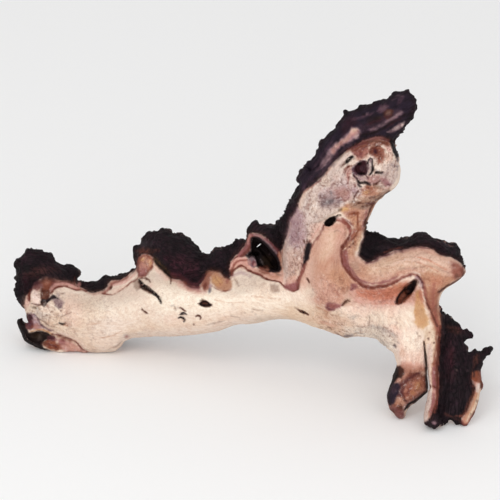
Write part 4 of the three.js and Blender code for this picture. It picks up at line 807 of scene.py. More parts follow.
    ("A", "smoke", .95, 1.9, .2, [(247.6, 259), (250.6, 256.6), (253.6, 257), (255.6, 260), (256.6, 264), (255, 267.6), (251.6, 267), (248.6, 263)]),
    ("S", "steel", .5, 1.8, 0, (252.6, 258.8, 1.6, 1.8, 0)), ("S", "dustpink", .6, 1.8, 0, (249.8, 262, 1.4, 2.4, -20)),
    ("S", "wine", .9, 1.9, 0, (253.8, 263.4, 1.3, 2.4, -10)), ("S", "pink", .6, 1.5, 0, (255, 264.6, .9, 1.4, 0)),
    ("L", "steel", .95, 1.3, 0, [(261, 259.2, .5), (262.4, 262, .9), (264, 265, .6)]),
    ("A", "olive", .6, 4, 0, [(262, 258), (267, 254), (273, 257), (276, 262), (276, 268), (270, 268), (264, 265)]),
    ("S", "smoke", .5, 1.6, 0, (269.6, 254.2, 1, 1.6, 0)), ("S", "black", .8, 2.4, 0, (274, 263, 2.4, 4, -20)),
    ("A", "rust", .8, 2.4, 0, [(257.6, 266.4), (262, 266), (267, 265), (270, 268.4), (268, 271), (263, 270.8), (258.6, 268.8)]),
    ("S", "redbrown", .7, 1.8, 0, (261.4, 267, 1.6, 1, 10)), ("S", "peach", .6, 1.6, 0, (267.4, 268, 1.4, 1, 0)),
    # V corner and seam
    ("A", "mauve", 1, 2.6, -.6, [(284, 285), (286, 281), (290, 283), (295, 281), (298.6, 279), (299, 286), (298, 289.6),
                                  (292, 291), (287, 289.6)]),
    ("A", "rose", .7, 3, 0, [(282, 284), (285, 278), (292, 276), (298, 276), (297, 281), (290, 284)]),
    ("L", "russet", .95, 2.4, -.9, [(298, 289, 1.4), (298.6, 282, 1.5), (300.6, 276, 1.6), (302.8, 270, 1.7), (304.8, 263, 1.9),
                                  (306.2, 256, 2.2), (307.2, 250, 2.2), (308.4, 245, 1.8), (310, 241, 1)]),
    ("L", "bark", .95, 1.6, -.8, [(303, 268, .6), (304.8, 262, 1.1), (306, 256, 1.5), (307, 250, 1.5), (308, 245, 1.1), (309, 242, .5)]),
    ("L", "russet", .95, 1.9, -.9, [(308, 252, .9), (311, 247, 1), (314, 242, 1.1), (317.4, 238.6, 1.1), (320.4, 234.6, 1.1),
                                      (322.4, 229.6, 1.1), (323.8, 225.6, 1)]),
    ("L", "pink", .7, 1.8, .5, [(309.6, 243, .7), (313, 237, .9), (317, 231, .9), (321, 225, .8)]),
    ("S", "umber", .85, 1.3, -.5, (304.4, 241, .8, 1.5, 0)), ("S", "umber", .8, 1.3, -.5, (307.2, 240, .7, 1, 0)),
    ("L", "umber", .85, 1.2, -.5, [(307, 279, .6), (308.6, 281, .7), (309.4, 283, .5)]),
    ("L", "fleece", .5, 2.5, .3, [(286, 282, 1), (287, 270, 1.2), (287, 258, 1.2)]),
    # --- limb: lip, hole, mottling ---
    ("L", "greybrown", .55, 2.2, 0, [(318, 222, .8), (326, 218, .9), (334, 213.6, .9), (340, 210.6, .8)]),
    ("L", "ash", .6, 1.8, .6, [(314, 222.6, .7), (322, 218.6, .8), (330, 214, .8), (338, 209.6, .7)]),
    ("S", "honey", .95, 2.2, 0, (343.6, 209.4, 2.8, 1.9, 0)),
    # black in the limb's carved hole and the slit beside it: painted shade in the hole
    ("A", "black", 1, 1.3, -2, [(324, 223), (326, 220), (330, 217.4), (334, 216), (337, 217.4), (335.6, 221.4), (332, 225),
                                (329, 226.4), (325.6, 226)]),
    ("L", "black", .95, 1.3, -1, [(335.6, 216.4, .6), (338.4, 215.2, 1), (341, 215, .6)]),
    ("L", "mauve", .6, 2, 0, [(337, 218, .8), (342, 218.6, 1), (348, 221, .9), (352, 225, .8)]),
    ("S", "steel", .55, 2.4, 0, (330, 202, 3.4, 1.6, -35)), ("S", "steel", .4, 2.4, 0, (325.6, 203.6, 3, 1.4, -10)),
    ("S", "steel", .45, 2.4, 0, (339, 198, 4, 1.2, -20)), ("S", "greybrown", .5, 2.4, 0, (316, 199.6, 2, 1.6, 0)),
    ("S", "greybrown", .4, 2.6, 0, (312, 211, 1.6, 1.6, 0)), ("S", "greybrown", .5, 3, 0, (344, 193, 3.4, 2.4, 0)),
    ("S", "steel", .3, 3, 0, (321, 195, 3.4, 2, -30)), ("S", "greybrown", .35, 3, 0, (336, 205.6, 4, 1.6, -30)),
    ("A", "smoke", .45, 6, 0, [(316, 198), (326, 194), (338, 192), (342, 202), (332, 208), (320, 208)]),
    ("A", "steel", .4, 5, 0, [(322, 200), (332, 196), (336, 202), (328, 207), (321, 206)]),
    ("L", "steel", .7, 1.5, -.3, [(329.6, 180.8, .5), (332.6, 179.8, .7), (335.4, 180.6, .7), (337.6, 183, 1)]),
    ("L", "steel", .75, 1.5, -.3, [(330.4, 191, .7), (331.2, 194, 1), (331.6, 196, .6)]),
    ("L", "steel", .7, 1.5, -.3, [(326, 203.4, .7), (329.6, 201.4, 1.1), (334, 200.4, .8)]),
    ("S", "greybrown", .6, 1.5, -.2, (328.4, 206, .9, .9, 0)), ("S", "lilacgrey", .4, 3, 0, (333, 183, 3.4, 1.6, 0)),
    ("L", "bark", .9, 1.6, -.5, [(308.4, 187.4, .5), (310.6, 185.4, 1.3), (313, 183.4, 1.2), (315.4, 182, .5)]),
    ("S", "cream", .6, 5, 0, (326, 182, 6, 5, -40)), ("S", "shell", .6, 5, 0, (341, 177, 5, 7, 0)),
    ("L", "brick", .55, 1.8, 0, [(303, 193, .6), (308, 188.6, .8), (314, 185, .8), (320, 180, .7)]),
    # blade
    ("A", "night", .8, 9, 0, [(296, 186), (306, 164), (322, 144), (338, 124), (350, 114), (372, 106), (392, 96), (410, 92), (414, 104),
                              (404, 122), (398, 136), (378, 136), (360, 140), (344, 150), (330, 166), (316, 180), (302, 190)]),
    ("A", "plum", .45, 7, 0, [(340, 130), (345, 119), (352, 117), (358, 122), (352, 128), (344, 136)]),
    ("A", "dusk", .5, 7, 0, [(358, 126), (372, 118), (386, 116), (400, 108), (404, 114), (392, 124), (378, 132), (364, 134)]),
    ("A", "lavender", .9, 3.4, .4, [(319, 165.4), (323, 159), (328.6, 151.6), (332.4, 146), (337.4, 141), (343.4, 137.2), (347.4, 133),
                                    (350, 129.6), (353, 127.4), (357, 127), (360, 129.6), (361.6, 133.4), (358.4, 138), (352, 140.4),
                                    (346, 142.6), (341, 146.2), (337, 150.4), (334, 155.4), (330.4, 160.6), (326, 164.6), (321, 168)]),
    ("A", "rose", .7, 3, .2, [(333, 148), (338, 142.6), (344.6, 138.6), (350, 132), (354, 128.6), (358, 130), (357, 134), (350, 138),
                              (344, 142), (338, 147), (334, 153), (331, 154)]),
    ("S", "sand", .6, 3, .2, (354, 130.6, 4, 2.4, -20)), ("S", "fleece", .7, 2.4, .2, (357, 135.6, 2.6, 1.8, -30)),
    ("L", "sand", .55, 2.4, 0, [(336, 146.4, .9), (342, 141.6, 1), (348, 138.4, .8)]),
    ("S", "brick", .4, 2.4, 0, (340, 143, 2.4, 1.4, -40)), ("L", "smoke", .7, 3, 0, [(320, 166, 1), (325, 160, 1.6), (331, 154, 1.4)]),
    ("L", "dusk", .7, 3, 0, [(317, 170, 1.4), (321, 165, 1.6)]),
    ("L", "umber", .5, 1.6, -.5, [(358, 131, .5), (361, 134, .6), (360, 138, .5)]),
    ("A", "dusk", .95, 3.4, .2, [(376, 112), (380, 105.6), (386, 103), (389, 106), (386, 110.6), (380, 113.4)]),
    ("S", "smoke", .5, 2.6, .2, (383.4, 108, 3, 2, -30)),
    ("A", "umber", .85, 3.4, .2, [(383, 114), (387, 109), (392, 110), (393, 115), (388, 119), (384, 118)]),
    ("S", "greybrown", .45, 2.6, .2, (388.4, 113.4, 2.4, 2.6, 20)), ("S", "olive", .5, 3, 0, (378, 118, 3.6, 2, -20)),
    ("L", "smoke", .85, 2.8, .4, [(370, 130, 1.1), (377, 127.8, 1.4), (384, 123.6, 1.5), (390, 119.4, 1.5), (396, 115.6, 1.5), (402, 112, 1.2)]),
    ("L", "lavender", .5, 2, .2, [(386, 122, .6), (392, 118, .7), (399, 113.6, .6)]),
    ("L", "black", .7, 2.4, -.8, [(362, 135.4, 1), (372, 133.4, 1.1), (382, 129, 1.1), (391, 123.6, 1.1), (399, 118.6, 1), (405, 114.6, .8)]),
    ("L", "plum", .5, 2, 0, [(386, 128, .8), (394, 122.6, .8), (402, 117.6, .8)]),
    ("A", "smoke", .95, 2.4, .4, [(387, 132), (391, 129.6), (397, 126), (402, 122.6), (404, 122), (402.6, 126.6), (399, 130.4), (392, 133)]),
    ("S", "fleece", .6, 2.2, .2, (396, 128.4, 4, 1.6, -24)), ("S", "shell", .85, 1.7, .2, (402.6, 124.4, 1.3, 2.6, 24)),
    ("S", "smoke", .8, 1.4, .2, (366.5, 114.6, 1.1, 1, 0)), ("S", "black", .5, 2.4, -.2, (363.6, 115.6, 2, 2, 0)),
    ("S", "black", .5, 5, 0, (373, 120, 6, 5, -20)),
    ("L", "dusk", .4, 3, 0, [(303, 188, 1), (312, 176, 1.4), (322, 166, 1.2)]),
    # knob: arc, mottling, holes
    ("L", "russet", .9, 2.4, .6, [(347, 150, 1), (352, 147.6, 1.4), (358, 145.4, 1.6), (364, 142.8, 1.8), (370, 140.2, 1.8),
                                 (376, 138.4, 1.6), (382, 137.8, 1.4), (388, 139.8, 1.4), (392, 143.4, 1)]),
    ("L", "dustpink", .5, 1.6, .3, [(360, 143.4, .5), (368, 139.8, .6), (376, 137.2, .6), (384, 137.6, .5)]),
    ("L", "wine", .7, 1.8, 0, [(382, 139.2, .8), (387, 140.4, 1), (391, 143, .8)]),
    ("L", "wine", .95, 1.6, -.7, [(352, 148.6, .7), (357, 146, .8), (362, 144.6, .9), (366, 143, .8)]),
    ("L", "umber", .7, 1.5, -.5, [(352, 150, .6), (356, 148.2, .6), (362, 147, .6), (367, 146.4, .6)]),
    ("A", "brick", .8, 3.6, 0, [(354, 148.6), (360, 146.6), (368, 145), (368, 152), (364, 157), (357, 157.4), (354, 154)]),
    ("S", "wine", .45, 2.6, 0, (357.6, 152, 2.4, 2.6, 0)), ("S", "rose", .5, 3, 0, (365, 152.6, 2.6, 3, 20)),
    ("A", "clay", .6, 3, 0, [(356, 157), (364, 155), (370, 155), (366, 159.4), (358, 160.6), (354, 160)]),
    ("A", "shell", .9, 2.6, .4, [(337, 163.6), (342, 158), (348, 152.6), (353, 151), (354.4, 154), (350, 155.6), (346, 158.6), (343, 163),
                                 (339, 167.6), (334, 172)]),
    ("A", "rust", .9, 3, -.2, [(369, 149), (371, 145.6), (376, 144.4), (381, 146), (384, 149.6), (384.4, 154), (382.6, 158.4), (381, 163), (378.4, 164),
                              (376, 159), (372, 155.6), (369, 153)]),
    ("A", "redbrown", .85, 2.6, -.5, [(370.4, 150), (373, 147.4), (377, 148), (380.4, 151), (380.6, 155), (377, 157), (372, 154.6)]),
    ("S", "plum", .95, 2, -.5, (375.8, 151.4, 1.9, 2.3, -20)), ("L", "clay", .5, 1.5, .2, [(371, 147.4, .4), (375, 145.6, .5), (380, 147.6, .6), (382.4, 151.4, .5)]),
    ("S", "umber", .6, 1.8, 0, (377.6, 145.8, 2.4, .9, 10)), ("S", "umber", .6, 2, 0, (370, 151.6, 1.1, 2.4, 0)),
    ("A", "pink", .8, 3, .3, [(382, 142.4), (387, 142), (391, 146), (392, 152), (388, 152), (385, 147.6)]),
    ("A", "rose", .5, 3, 0, [(384, 152), (392, 153), (394, 160), (388, 163), (384, 160)]),
    ("L", "bark", .98, 1.6, 0, [(391.6, 143, 1), (393.4, 147.4, 1.2), (395, 152, 1.3), (396.6, 157, 1.2), (397.6, 161, .7)]),
    # black and plum in the knob's carved holes: the rotten wood's own dark together with painted shade in the holes
    ("L", "black", 1, 1.5, -1.6, [(346.2, 162.6, 1.6), (349.4, 159.6, 2), (352.6, 157, 1.6)]),
    ("L", "umber", .98, 1.3, -.8, [(341.4, 166.6, .9), (344.6, 164, .9)]),
    ("L", "redbrown", .98, 1.5, -.8, [(343, 172.4, 1.1), (344.4, 169.8, 1.2), (347, 167.6, 1.1), (350, 166.4, 1), (352, 166.2, .6)]),
    ("A", "dustpink", .8, 2.4, -.2, [(343.6, 172), (346, 169), (350, 168), (353, 171), (351, 175), (348.6, 180), (346.6, 179), (345.6, 175)]),
    ("L", "brick", .9, 1.5, -.4, [(347, 173, .8), (348, 179, .9), (347.6, 185, .8), (348, 188, .6)]),
    ("A", "dusk", .9, 2.4, -.6, [(351.4, 169), (355, 165), (358, 162), (365, 159.6), (368, 164), (368.6, 172), (366, 176), (361, 177), (356, 175.4), (353, 173)]),
    ("A", "plum", 1, 1.6, -1.2, [(354, 168.6), (357, 164), (361, 161.8), (365.6, 161), (366.8, 165), (367.2, 171), (365.6, 174.6),
                                (361, 175.6), (357, 173.6), (354, 171)]),
    ("S", "dusk", .6, 2.6, .3, (362.6, 168.6, 2.8, 3.2, 10)), ("S", "black", .95, 1.6, -.8, (359.6, 164, 2.6, 1.3, -20)),
    ("S", "black", .9, 1.6, -.4, (362, 174, 3, 1.1, 0)), ("S", "smoke", .35, 1.6, .2, (363.6, 171, 1.2, 1, 0)),
    ("A", "smoke", .9, 1.6, .3, [(368, 161), (370, 158.8), (372, 160), (371.6, 165), (371.4, 170), (369.4, 172.4), (368.4, 168)]),
    ("L", "fleece", .95, 1.2, .4, [(369.4, 161.6, .4), (370.6, 164, .5), (370.6, 168.6, .6), (369.4, 172, .5)]),
    ("L", "black", .95, 1.2, -.5, [(367.8, 163.4, .4), (368.4, 159.8, .6), (370.4, 158, .6), (372.6, 159.8, .7), (372.4, 163, .6), (373, 167, .7)]),
    ("L", "black", 1, 1.5, -1, [(373, 167.4, 1), (373.2, 170, 1.4), (371.4, 173, 1.3), (369, 175, .9)]),
    ("L", "shell", .9, 1.4, .5, [(367.6, 158.6, .5), (370.2, 156.6, .7), (373.4, 157.6, .7), (374.6, 161, .5)]),
    ("L", "black", 1, 1.3, -1, [(376, 172.6, 1.2), (379, 172.2, 1.3), (382, 172.4, 1.1)]),
    ("L", "plum", .98, 1.4, -.8, [(352.6, 172.6, .8), (354, 176, 1), (357, 178.8, 1)]),
    ("A", "lavender", .8, 2, .2, [(357, 177), (361, 177.6), (367, 176.4), (367, 179.4), (360, 180.4)]),
    ("S", "fleece", .7, 1.6, .2, (364.4, 177.4, 1.6, 1, 0)), ("L", "black", .9, 1.2, -.5, [(366.2, 176.4, .7), (367.8, 179, .8)]),
    ("A", "mauve", .6, 4, 0, [(366, 176), (378, 174.6), (386, 178), (386, 184), (372, 184), (366, 182)]),
    ("L", "black", .98, 1.5, -.8, [(357.6, 181, 1), (360.6, 183, 1.3), (365, 182, 1.2), (368, 183.6, 1.2), (370.4, 185, .7)]),
    ("L", "black", .95, 1.4, -.6, [(358, 184.6, 1), (360, 186.4, 1.1), (362, 187, .6)]),
    ("L", "umber", .95, 1.4, -.5, [(373.6, 184.6, .7), (377, 182.8, 1), (380.4, 181, .9)]),
    ("A", "shell", .7, 2.6, .2, [(350, 176), (353, 178), (357, 181), (357, 187), (352, 188), (349.6, 184)]),
    ("A", "mauve", .8, 3, 0, [(382, 180), (388, 180), (392, 184), (391, 187.6), (386, 186), (382, 184)]),
    ("S", "wine", .6, 2, 0, (389, 184.4, 2.4, 1.1, 30)), ("S", "pink", .7, 2.6, 0, (387, 188, 2.4, 1.8, 0)),
    ("A", "peach", .95, 3.4, 0, [(362, 188), (368, 185.6), (378, 186.6), (383, 190), (378, 195), (368, 198), (362, 195)]),
    ("S", "sienna", .75, 2.6, -.2, (369.4, 188, 3.6, 1.6, 20)), ("S", "honey", .6, 3, 0, (366, 192.6, 3.6, 2.6, 0)),
    ("S", "olive", .3, 3, 0, (377, 187, 3, 1.8, 0)), ("S", "cream", .6, 3, 0, (379, 190.6, 2.6, 2, 0)),
    ("A", "brick", .55, 5, 0, [(334, 190), (342, 187), (350, 190), (352, 198), (344, 202), (336, 199)]),
    ("S", "tan", .5, 4, 0, (344, 193, 5, 4, 0)), ("S", "lavender", .6, 3, 0, (354.6, 189.6, 3, 2.6, 0)),
    ("L", "umber", .85, 2, -.5, [(353.4, 198.6, 1), (355.6, 195, 1.1), (357.4, 191.6, .8)]),
    ("L", "russet", .7, 2, -.3, [(358, 198.6, .9), (360.6, 194, .9), (362, 190, .6)]),
    ("L", "umber", .8, 1.5, -.4, [(370, 198.4, .7), (373, 196.8, .8), (376, 196.8, .6)]),
    ("L", "black", .85, 1.4, -.5, [(375.6, 200, .7), (379.6, 197.6, .8), (384, 195.2, .8), (389.6, 191, .8)]),
    ("L", "umber", .8, 1.4, -.5, [(352, 201.6, .6), (358, 202.6, .7), (364, 203.6, .7), (368.4, 203, .8), (374, 201.6, .8)]),
    ("L", "umber", .7, 1.4, -.4, [(360, 206.6, .5), (366, 206.8, .6), (371, 205, .8), (375, 203.4, .7)]),
    ("L", "steel", .75, 1.5, -.3, [(391, 164.2, .7), (393.6, 166, .9), (398, 166.2, .7)]),
    ("L", "steel", .4, 1.5, 0, [(388, 169.6, .6), (393, 170, .7), (398, 169.4, .6)]),
    ("S", "steel", .3, 3, 0, (385, 175, 3, 2, 0)), ("S", "ash", .5, 4, 0, (393, 178, 4, 5, 0)),
    ("S", "steel", .4, 3, 0, (340, 200.6, 3, 2, 0)),
    # --- neck: seams and strands ---
    ("L", "brick", .95, 2.2, -1.1, [(337, 220, .9), (343, 221.4, 1.2), (348, 225.4, 1.4), (350, 230, 1.4), (350, 236, 1.4),
                                    (347.4, 240.6, 1.4), (343.6, 245.4, 1.4), (340.6, 249.4, 1.3)]),
    ("L", "umber", .8, 1.4, -.7, [(349.6, 237.6, .4), (347, 241.6, .8), (343.6, 246, .9), (340.8, 248.8, .6)]),
    ("L", "rust", .85, 1.5, -.6, [(357, 215, .5), (358, 222, .7), (356.6, 228, .7), (353.6, 235, .7), (350.4, 240, .7),
                                  (346, 246, .7), (341.6, 249.4, .6)]),
    ("L", "redbrown", .75, 1.4, -.5, [(354.4, 241.6, .5), (350.6, 245.4, .7), (346, 249.6, .7), (342.6, 251.6, .6)]),
    ("L", "rust", .55, 1.6, -.3, [(352, 224, .5), (354.6, 229, .6), (352.4, 235, .6), (349, 240.4, .6)]),
    ("L", "rust", .5, 1.6, -.3, [(361, 212, .5), (361.6, 220, .6), (359.4, 228, .6), (356.4, 236, .5)]),
    ("L", "blush", .65, 1.6, .5, [(352.4, 243.6, .7), (348, 248.6, .9), (345, 254, .9), (347.6, 261, .9)]),
    ("L", "greybrown", .6, 1.3, -.3, [(334.6, 232, .4), (337.4, 230.4, .5), (341, 232, .4)]),
    ("L", "brick", 1, 2.6, -1.3, [(341, 252, 1.4), (341.6, 257, 1.9), (343.6, 263, 2), (347.4, 270, 2), (352.4, 276, 1.9),
                                  (358.4, 281, 1.8), (364.4, 284.8, 1.7), (371, 287.4, 1.7), (378, 286.6, 1.6), (385, 284.8, 1.5),
                                  (393, 282.6, 1.4), (400, 279, 1.3), (406, 276, 1.2), (412, 274, 1.1), (417, 275, 1.3),
                                  (420, 278, 1.5), (422.2, 282, 1.6), (424.2, 290, 1.5), (426.2, 298, 1.4), (428.2, 306, 1.4),
                                  (431.2, 313, 1.4), (434.4, 320, 1.4), (437.2, 327, 1.4), (439.2, 334, 1.3), (440, 341, 1.2)]),
    ("L", "russet", .7, 1.8, -.2, [(340.6, 250, .9), (341.4, 257, 1.2), (343.4, 263.6, 1.3), (347.6, 270.6, 1.3), (352.8, 276.8, 1.3),
                                   (358.8, 281.8, 1.3), (364.8, 285.4, 1.3), (372, 287.8, 1.3), (380, 286.8, 1.2), (388, 284.8, 1.1),
                                   (396, 282, 1), (404, 277.6, .9), (412, 274.8, .8)]),
    ("L", "redbrown", .95, 1.6, -.7, [(344, 265.6, .5), (350, 274.8, .8), (358, 282.4, 1), (366, 286.8, 1.1), (373, 288.4, 1.2), (381, 287.2, 1),
                                      (390, 285, .9), (398, 281.6, .6)]),
    ("L", "plum", .9, 1.6, -.8, [(416.6, 275, .6), (419.6, 278.6, 1.2), (421.6, 282.6, 1), (423, 288, .6)]),
    ("L", "umber", .75, 1.5, -.6, [(424.6, 296, .6), (427.4, 304.6, .8), (430.6, 312, .8), (434, 319.6, .8), (437, 326.4, .7)]),
    ("L", "blush", .5, 1.6, .5, [(396, 278, .6), (404, 274, .7), (412, 271.6, .7), (418, 272, .6)]),
    ("S", "lavender", .8, 2, .4, (416.4, 278.6, 2, 2.6, 0)),
    ("L", "lavender", .75, 1.8, .4, [(418.6, 280, .8), (420, 285, .9), (420.4, 289, .6)]),
    ("L", "greybrown", .35, 2, 0, [(400, 269, .7), (410, 268.6, .8), (418, 267, .7), (430, 266, .7), (442, 268.6, .6)]),
    ("L", "greybrown", .35, 2, 0, [(438, 270, .7), (444, 271, .8), (450, 274, .7)]),
    ("A", "brick", .85, 4, 0, [(452, 263), (458, 264), (463, 267), (465, 271), (461, 277), (455, 279), (452, 274)]),
    ("S", "umber", .75, 2.6, -.3, (457, 276, 2.4, 2.6, 30)), ("S", "umber", .6, 2, 0, (463, 270.6, 1.6, 3, 0)),
    ("L", "umber", .95, 2, 0, [(439, 291.4, 1), (444, 288.6, 1.1), (450, 284.6, 1.2), (457, 280.6, 1.1), (463, 276, 1), (465, 271, .8)]),
    ("L", "plum", .7, 4, 0, [(366, 262.6, .9), (373, 262, 1.2), (379, 258, 1.1), (386, 255, 1), (396, 251.6, .9), (408, 250, .8),
                            (418, 247.6, .7), (428, 248.6, .7)]),
    ("L", "rose", .6, 4, 0, [(404, 251, 1), (414, 249.6, 1.2), (424, 249.6, 1.2), (434, 254, 1)]),
    # pit
    # umber, black and bark in the carved pit, darkest at its top under the lip: painted shade in the pit
    ("L", "umber", 1, 2, -1.2, [(415.2, 281.8, 3), (411, 287, 4.4), (405, 293.6, 4.9), (400, 299.6, 4.2), (397.6, 302, 2.8)]),
    ("L", "black", 1, 2, -.6, [(414.8, 282.6, 2.4), (411.4, 287.4, 3.6), (408.4, 291.2, 3.2)]),
    ("L", "bark", .85, 2, 0, [(408, 291.4, 2.6), (403.4, 296.6, 2.2), (400.6, 299.4, 1.4)]),
    ("L", "sienna", .8, 1.8, 0, [(403.6, 302, .8), (407.6, 298.4, 1.1), (411.4, 293.8, 1)]),
    ("L", "sienna", .6, 1.6, 0, [(401, 291.6, .6), (405, 287.4, .7), (408, 283.6, .6)]),
    ("L", "rust", .5, 1.4, 0, [(403, 294, .5), (406, 295.6, .6)]), ("L", "rust", .5, 1.4, 0, [(405.6, 290.4, .5), (409, 292.4, .6)]),
    ("S", "redbrown", .6, 2, 0, (399, 301.6, 3, 1.8, -10)),
    # stains on the tongue, and a painted shadow line along its lower edge
    ("A", "mauve", .55, 4, 0, [(325, 307), (330, 305), (338, 303.6), (342, 305.6), (338, 308), (334, 311), (327, 310.6)]),
    ("S", "brick", .5, 2.4, 0, (335, 305.8, 4, 1.4, -8)),
    ("S", "olive", .5, 2, 0, (346.6, 301.6, 3.4, 1.5, -24)), ("S", "greybrown", .55, 2, 0, (344, 304, 1.6, 1.2, 0)),
    ("S", "mauve", .45, 3, 0, (353.6, 286.6, 3, 2, 20)), ("S", "pink", .6, 4, 0, (360, 300.6, 4, 2, 0)),
    ("S", "tan", .35, 6, 0, (324, 310, 5, 9, -20)), ("S", "brick", .3, 4, 0, (329, 291, 3, 4, 0)),
    ("S", "steel", .25, 3, 0, (353, 317, 4, 2, 0)),
    ("L", "tan", .4, 3, 0, [(318, 322, 1), (328, 326, 1.2), (334, 329, 1)]),
    # greybrown line along the tongue's lower edge: painted shadow
    ("L", "greybrown", .7, 1.8, 0, [(336, 334.6, .8), (342, 336, 1), (350, 335.6, .9), (358, 333.6, .6)]),
    ("L", "steel", .3, 3, 0, [(370, 326, 1), (380, 327.4, 1), (390, 331.6, 1), (397, 337, 1)]),
    ("S", "steel", .85, 1.8, -.4, (394.4, 346, 1.3, 1.6, 0)), ("S", "steel", .4, 2, 0, (398, 342.6, 2, 1, 30)),
    ("S", "steel", .3, 3, 0, (385.6, 343, 4, 2, 30)),
    # prong
    ("A", "russet", .85, 4, 0, [(396, 366), (404, 368), (415, 372), (426, 376), (428, 392), (414, 402), (404, 410), (404, 418), (396, 420),
                             (386, 404), (388, 390)]),
    ("A", "rose", .9, 3.4, 0, [(401, 362), (414, 362), (424, 364), (425, 371), (414, 371), (407, 374), (402, 380), (398, 385),
                               (396, 381), (402, 374)]),
    ("A", "clay", .6, 3, 0, [(404, 369), (414, 368), (422, 368), (424, 372), (413, 372), (405, 376)]),
    ("A", "black", .97, 2, -.5, [(395, 366.6), (399.6, 366), (403.4, 369.6), (403.6, 374), (401, 378.6), (397.6, 378), (393, 386), (390, 384)]),
    ("A", "peach", .95, 3, .4, [(403, 393), (407, 387), (413, 381.4), (419, 377), (424, 379), (425, 389), (419, 393), (411, 398), (404.6, 400)]),
    ("A", "brick", .7, 3, .2, [(402, 392), (406, 386), (411, 382.4), (413, 386), (409, 392), (404, 398)]),
    ("S", "honey", .75, 2.6, .4, (418, 386, 2.4, 4, 20)), ("S", "ochre", .7, 2.4, .2, (412, 392.6, 2.6, 2, -20)),
    ("S", "wine", .5, 2, 0, (408, 394, 2, 1.6, 0)), ("S", "rose", .6, 2.4, 0, (404.6, 390.4, 2, 2.6, 20)),
    ("L", "wine", .6, 1.8, -.2, [(411, 384, .8), (409, 389, .9), (406.6, 394, .8)]),
    ("L", "rust", .6, 1.8, 0, [(424, 378, .8), (425, 386, .9)]), ("S", "umber", .45, 3, 0, (421, 374.6, 3, 1.6, 0)),
    ("L", "plum", .95, 1.9, -.9, [(397, 389, 1.5), (402, 384.6, 1.4), (408, 380, 1.3), (413, 376.4, 1.5), (418, 373.4, 1.3), (420, 373, .8)]),
    ("L", "dusk", .6, 1.8, 0, [(398, 386, .8), (403, 381.6, .8), (409, 377.4, .7)]),
    ("L", "plum", .8, 1.8, -.5, [(404, 386, .9), (402, 392, 1.1), (404, 398.6, 1), (406, 401, .7)]),
    ("A", "night", 1, 3, 0, [(387, 390), (391, 383), (399, 383), (401, 388), (398.6, 395), (394, 403), (389, 404), (385, 396)]),
    ("S", "plum", .7, 2.4, 0, (400.4, 394, 1.8, 4, 20)), ("S", "dusk", .35, 3, 0, (394, 391, 3, 3, 0)),
    ("A", "tan", .85, 2.8, .2, [(394, 403), (398, 397), (403, 398), (405, 403), (403, 406), (397, 404.6)]),
    ("S", "rose", .6, 2, 0, (400.6, 400.4, 1.6, 1.4, 0)), ("S", "umber", .8, 1.6, -.3, (405, 400.4, 1.6, 1, 0)),
    ("A", "smoke", .85, 2.6, 0, [(390, 409), (396, 407), (403, 411), (404, 417), (399, 420), (393, 415)]),
    ("S", "sienna", .7, 2.4, 0, (396, 406, 3, 1.4, 20)),
    ("S", "umber", .97, 1.8, -.6, (400.4, 408, 2.9, 2.7, 30)), ("S", "fleece", .5, 1.6, 0, (404, 407, 1, 1.8, 20)),
    ("L", "black", .97, 1.8, 0, [(404.6, 410, .8), (408, 405, 1.3), (413, 402, 1.5), (419, 398, 1.6), (426, 393, 1.8), (429, 390, 1.2)]),
    # bark-dark line in the carved cleft of the leg: painted shade in the cleft
    ("L", "bark", .9, 1.8, 0, [(425.6, 368, .7), (426.4, 378, 1), (427.6, 388, 1.5)]),
    ("L", "bark", .9, 2.4, 0, [(389.6, 404, .8), (388, 396, 1), (390, 388, 1), (393, 380, 1), (396, 371, .9)]),
    ("L", "steel", .4, 2.4, 0, [(424, 344, .7), (424.6, 360, .8), (425, 368, .7)]),
    # strip
    ("A", "fleece", .95, 2.2, 0, [(427, 344), (431, 344), (432.4, 352), (431, 362), (429.6, 372), (430.4, 382), (431.6, 392),
                                  (431.4, 402), (429.6, 412), (427.6, 420), (424, 422), (423, 414), (426, 400), (428, 390), (427.6, 376), (426.6, 360)]),
    ("A", "blush", .6, 2.4, 0, [(428.6, 344), (431, 348), (431, 360), (429.6, 366), (428.4, 358)]),
    ("A", "tan", .9, 2.4, .3, [(432, 364), (435, 356), (438, 352), (438, 362), (436.6, 372), (437.6, 384), (438.6, 394), (436, 404),
                               (432, 413), (430, 418), (428.4, 417), (431, 404), (432.6, 392), (431.4, 380), (430.6, 370)]),
    ("L", "brick", .85, 2.2, .2, [(436, 358, 1), (434.6, 366, 1.3), (434, 374, 1.4), (435, 384, 1.4), (435.6, 392, 1.3)]),
    ("L", "redbrown", .8, 2, 0, [(438.6, 340, .9), (437.8, 350, 1), (437.4, 360, 1), (436.8, 370, 1), (437.4, 380, 1), (438, 390, 1),
                                  (436.6, 400, 1), (433.6, 409, .9), (431, 415.6, .8)]),
    ("S", "redbrown", .85, 1.6, -.4, (434.4, 386.6, 2.6, 1.3, 0)), ("S", "umber", .8, 1.4, 0, (430, 386.6, 1.2, 1.6, 0)),
    ("L", "bark", .9, 1.6, 0, [(424, 423.6, .7), (428, 423, .8), (430.6, 421, .7)]),
    ("S", "umber", .8, 1.4, -.3, (428.4, 338.8, 1, 1.1, 0)), ("S", "umber", .75, 1.4, -.3, (434, 343, 1, .9, 0)),
    ("S", "umber", .55, 1.2, 0, (416.6, 333, .8, .6, 0)), ("S", "greybrown", .5, 1.6, 0, (420, 336, 1.4, 1, 0)),
    ("S", "redbrown", .6, 1.6, 0, (430, 333, .8, .8, 0)),
    # sheet
    ("S", "lilacgrey", .85, 2, .2, (434.6, 422.6, 2.4, 1.8, 0)),
    ("S", "umber", .5, 4, 0, (455, 330, 8, 4, 20)), ("S", "plum", .4, 6, 0, (450, 360, 6, 22, 0)),
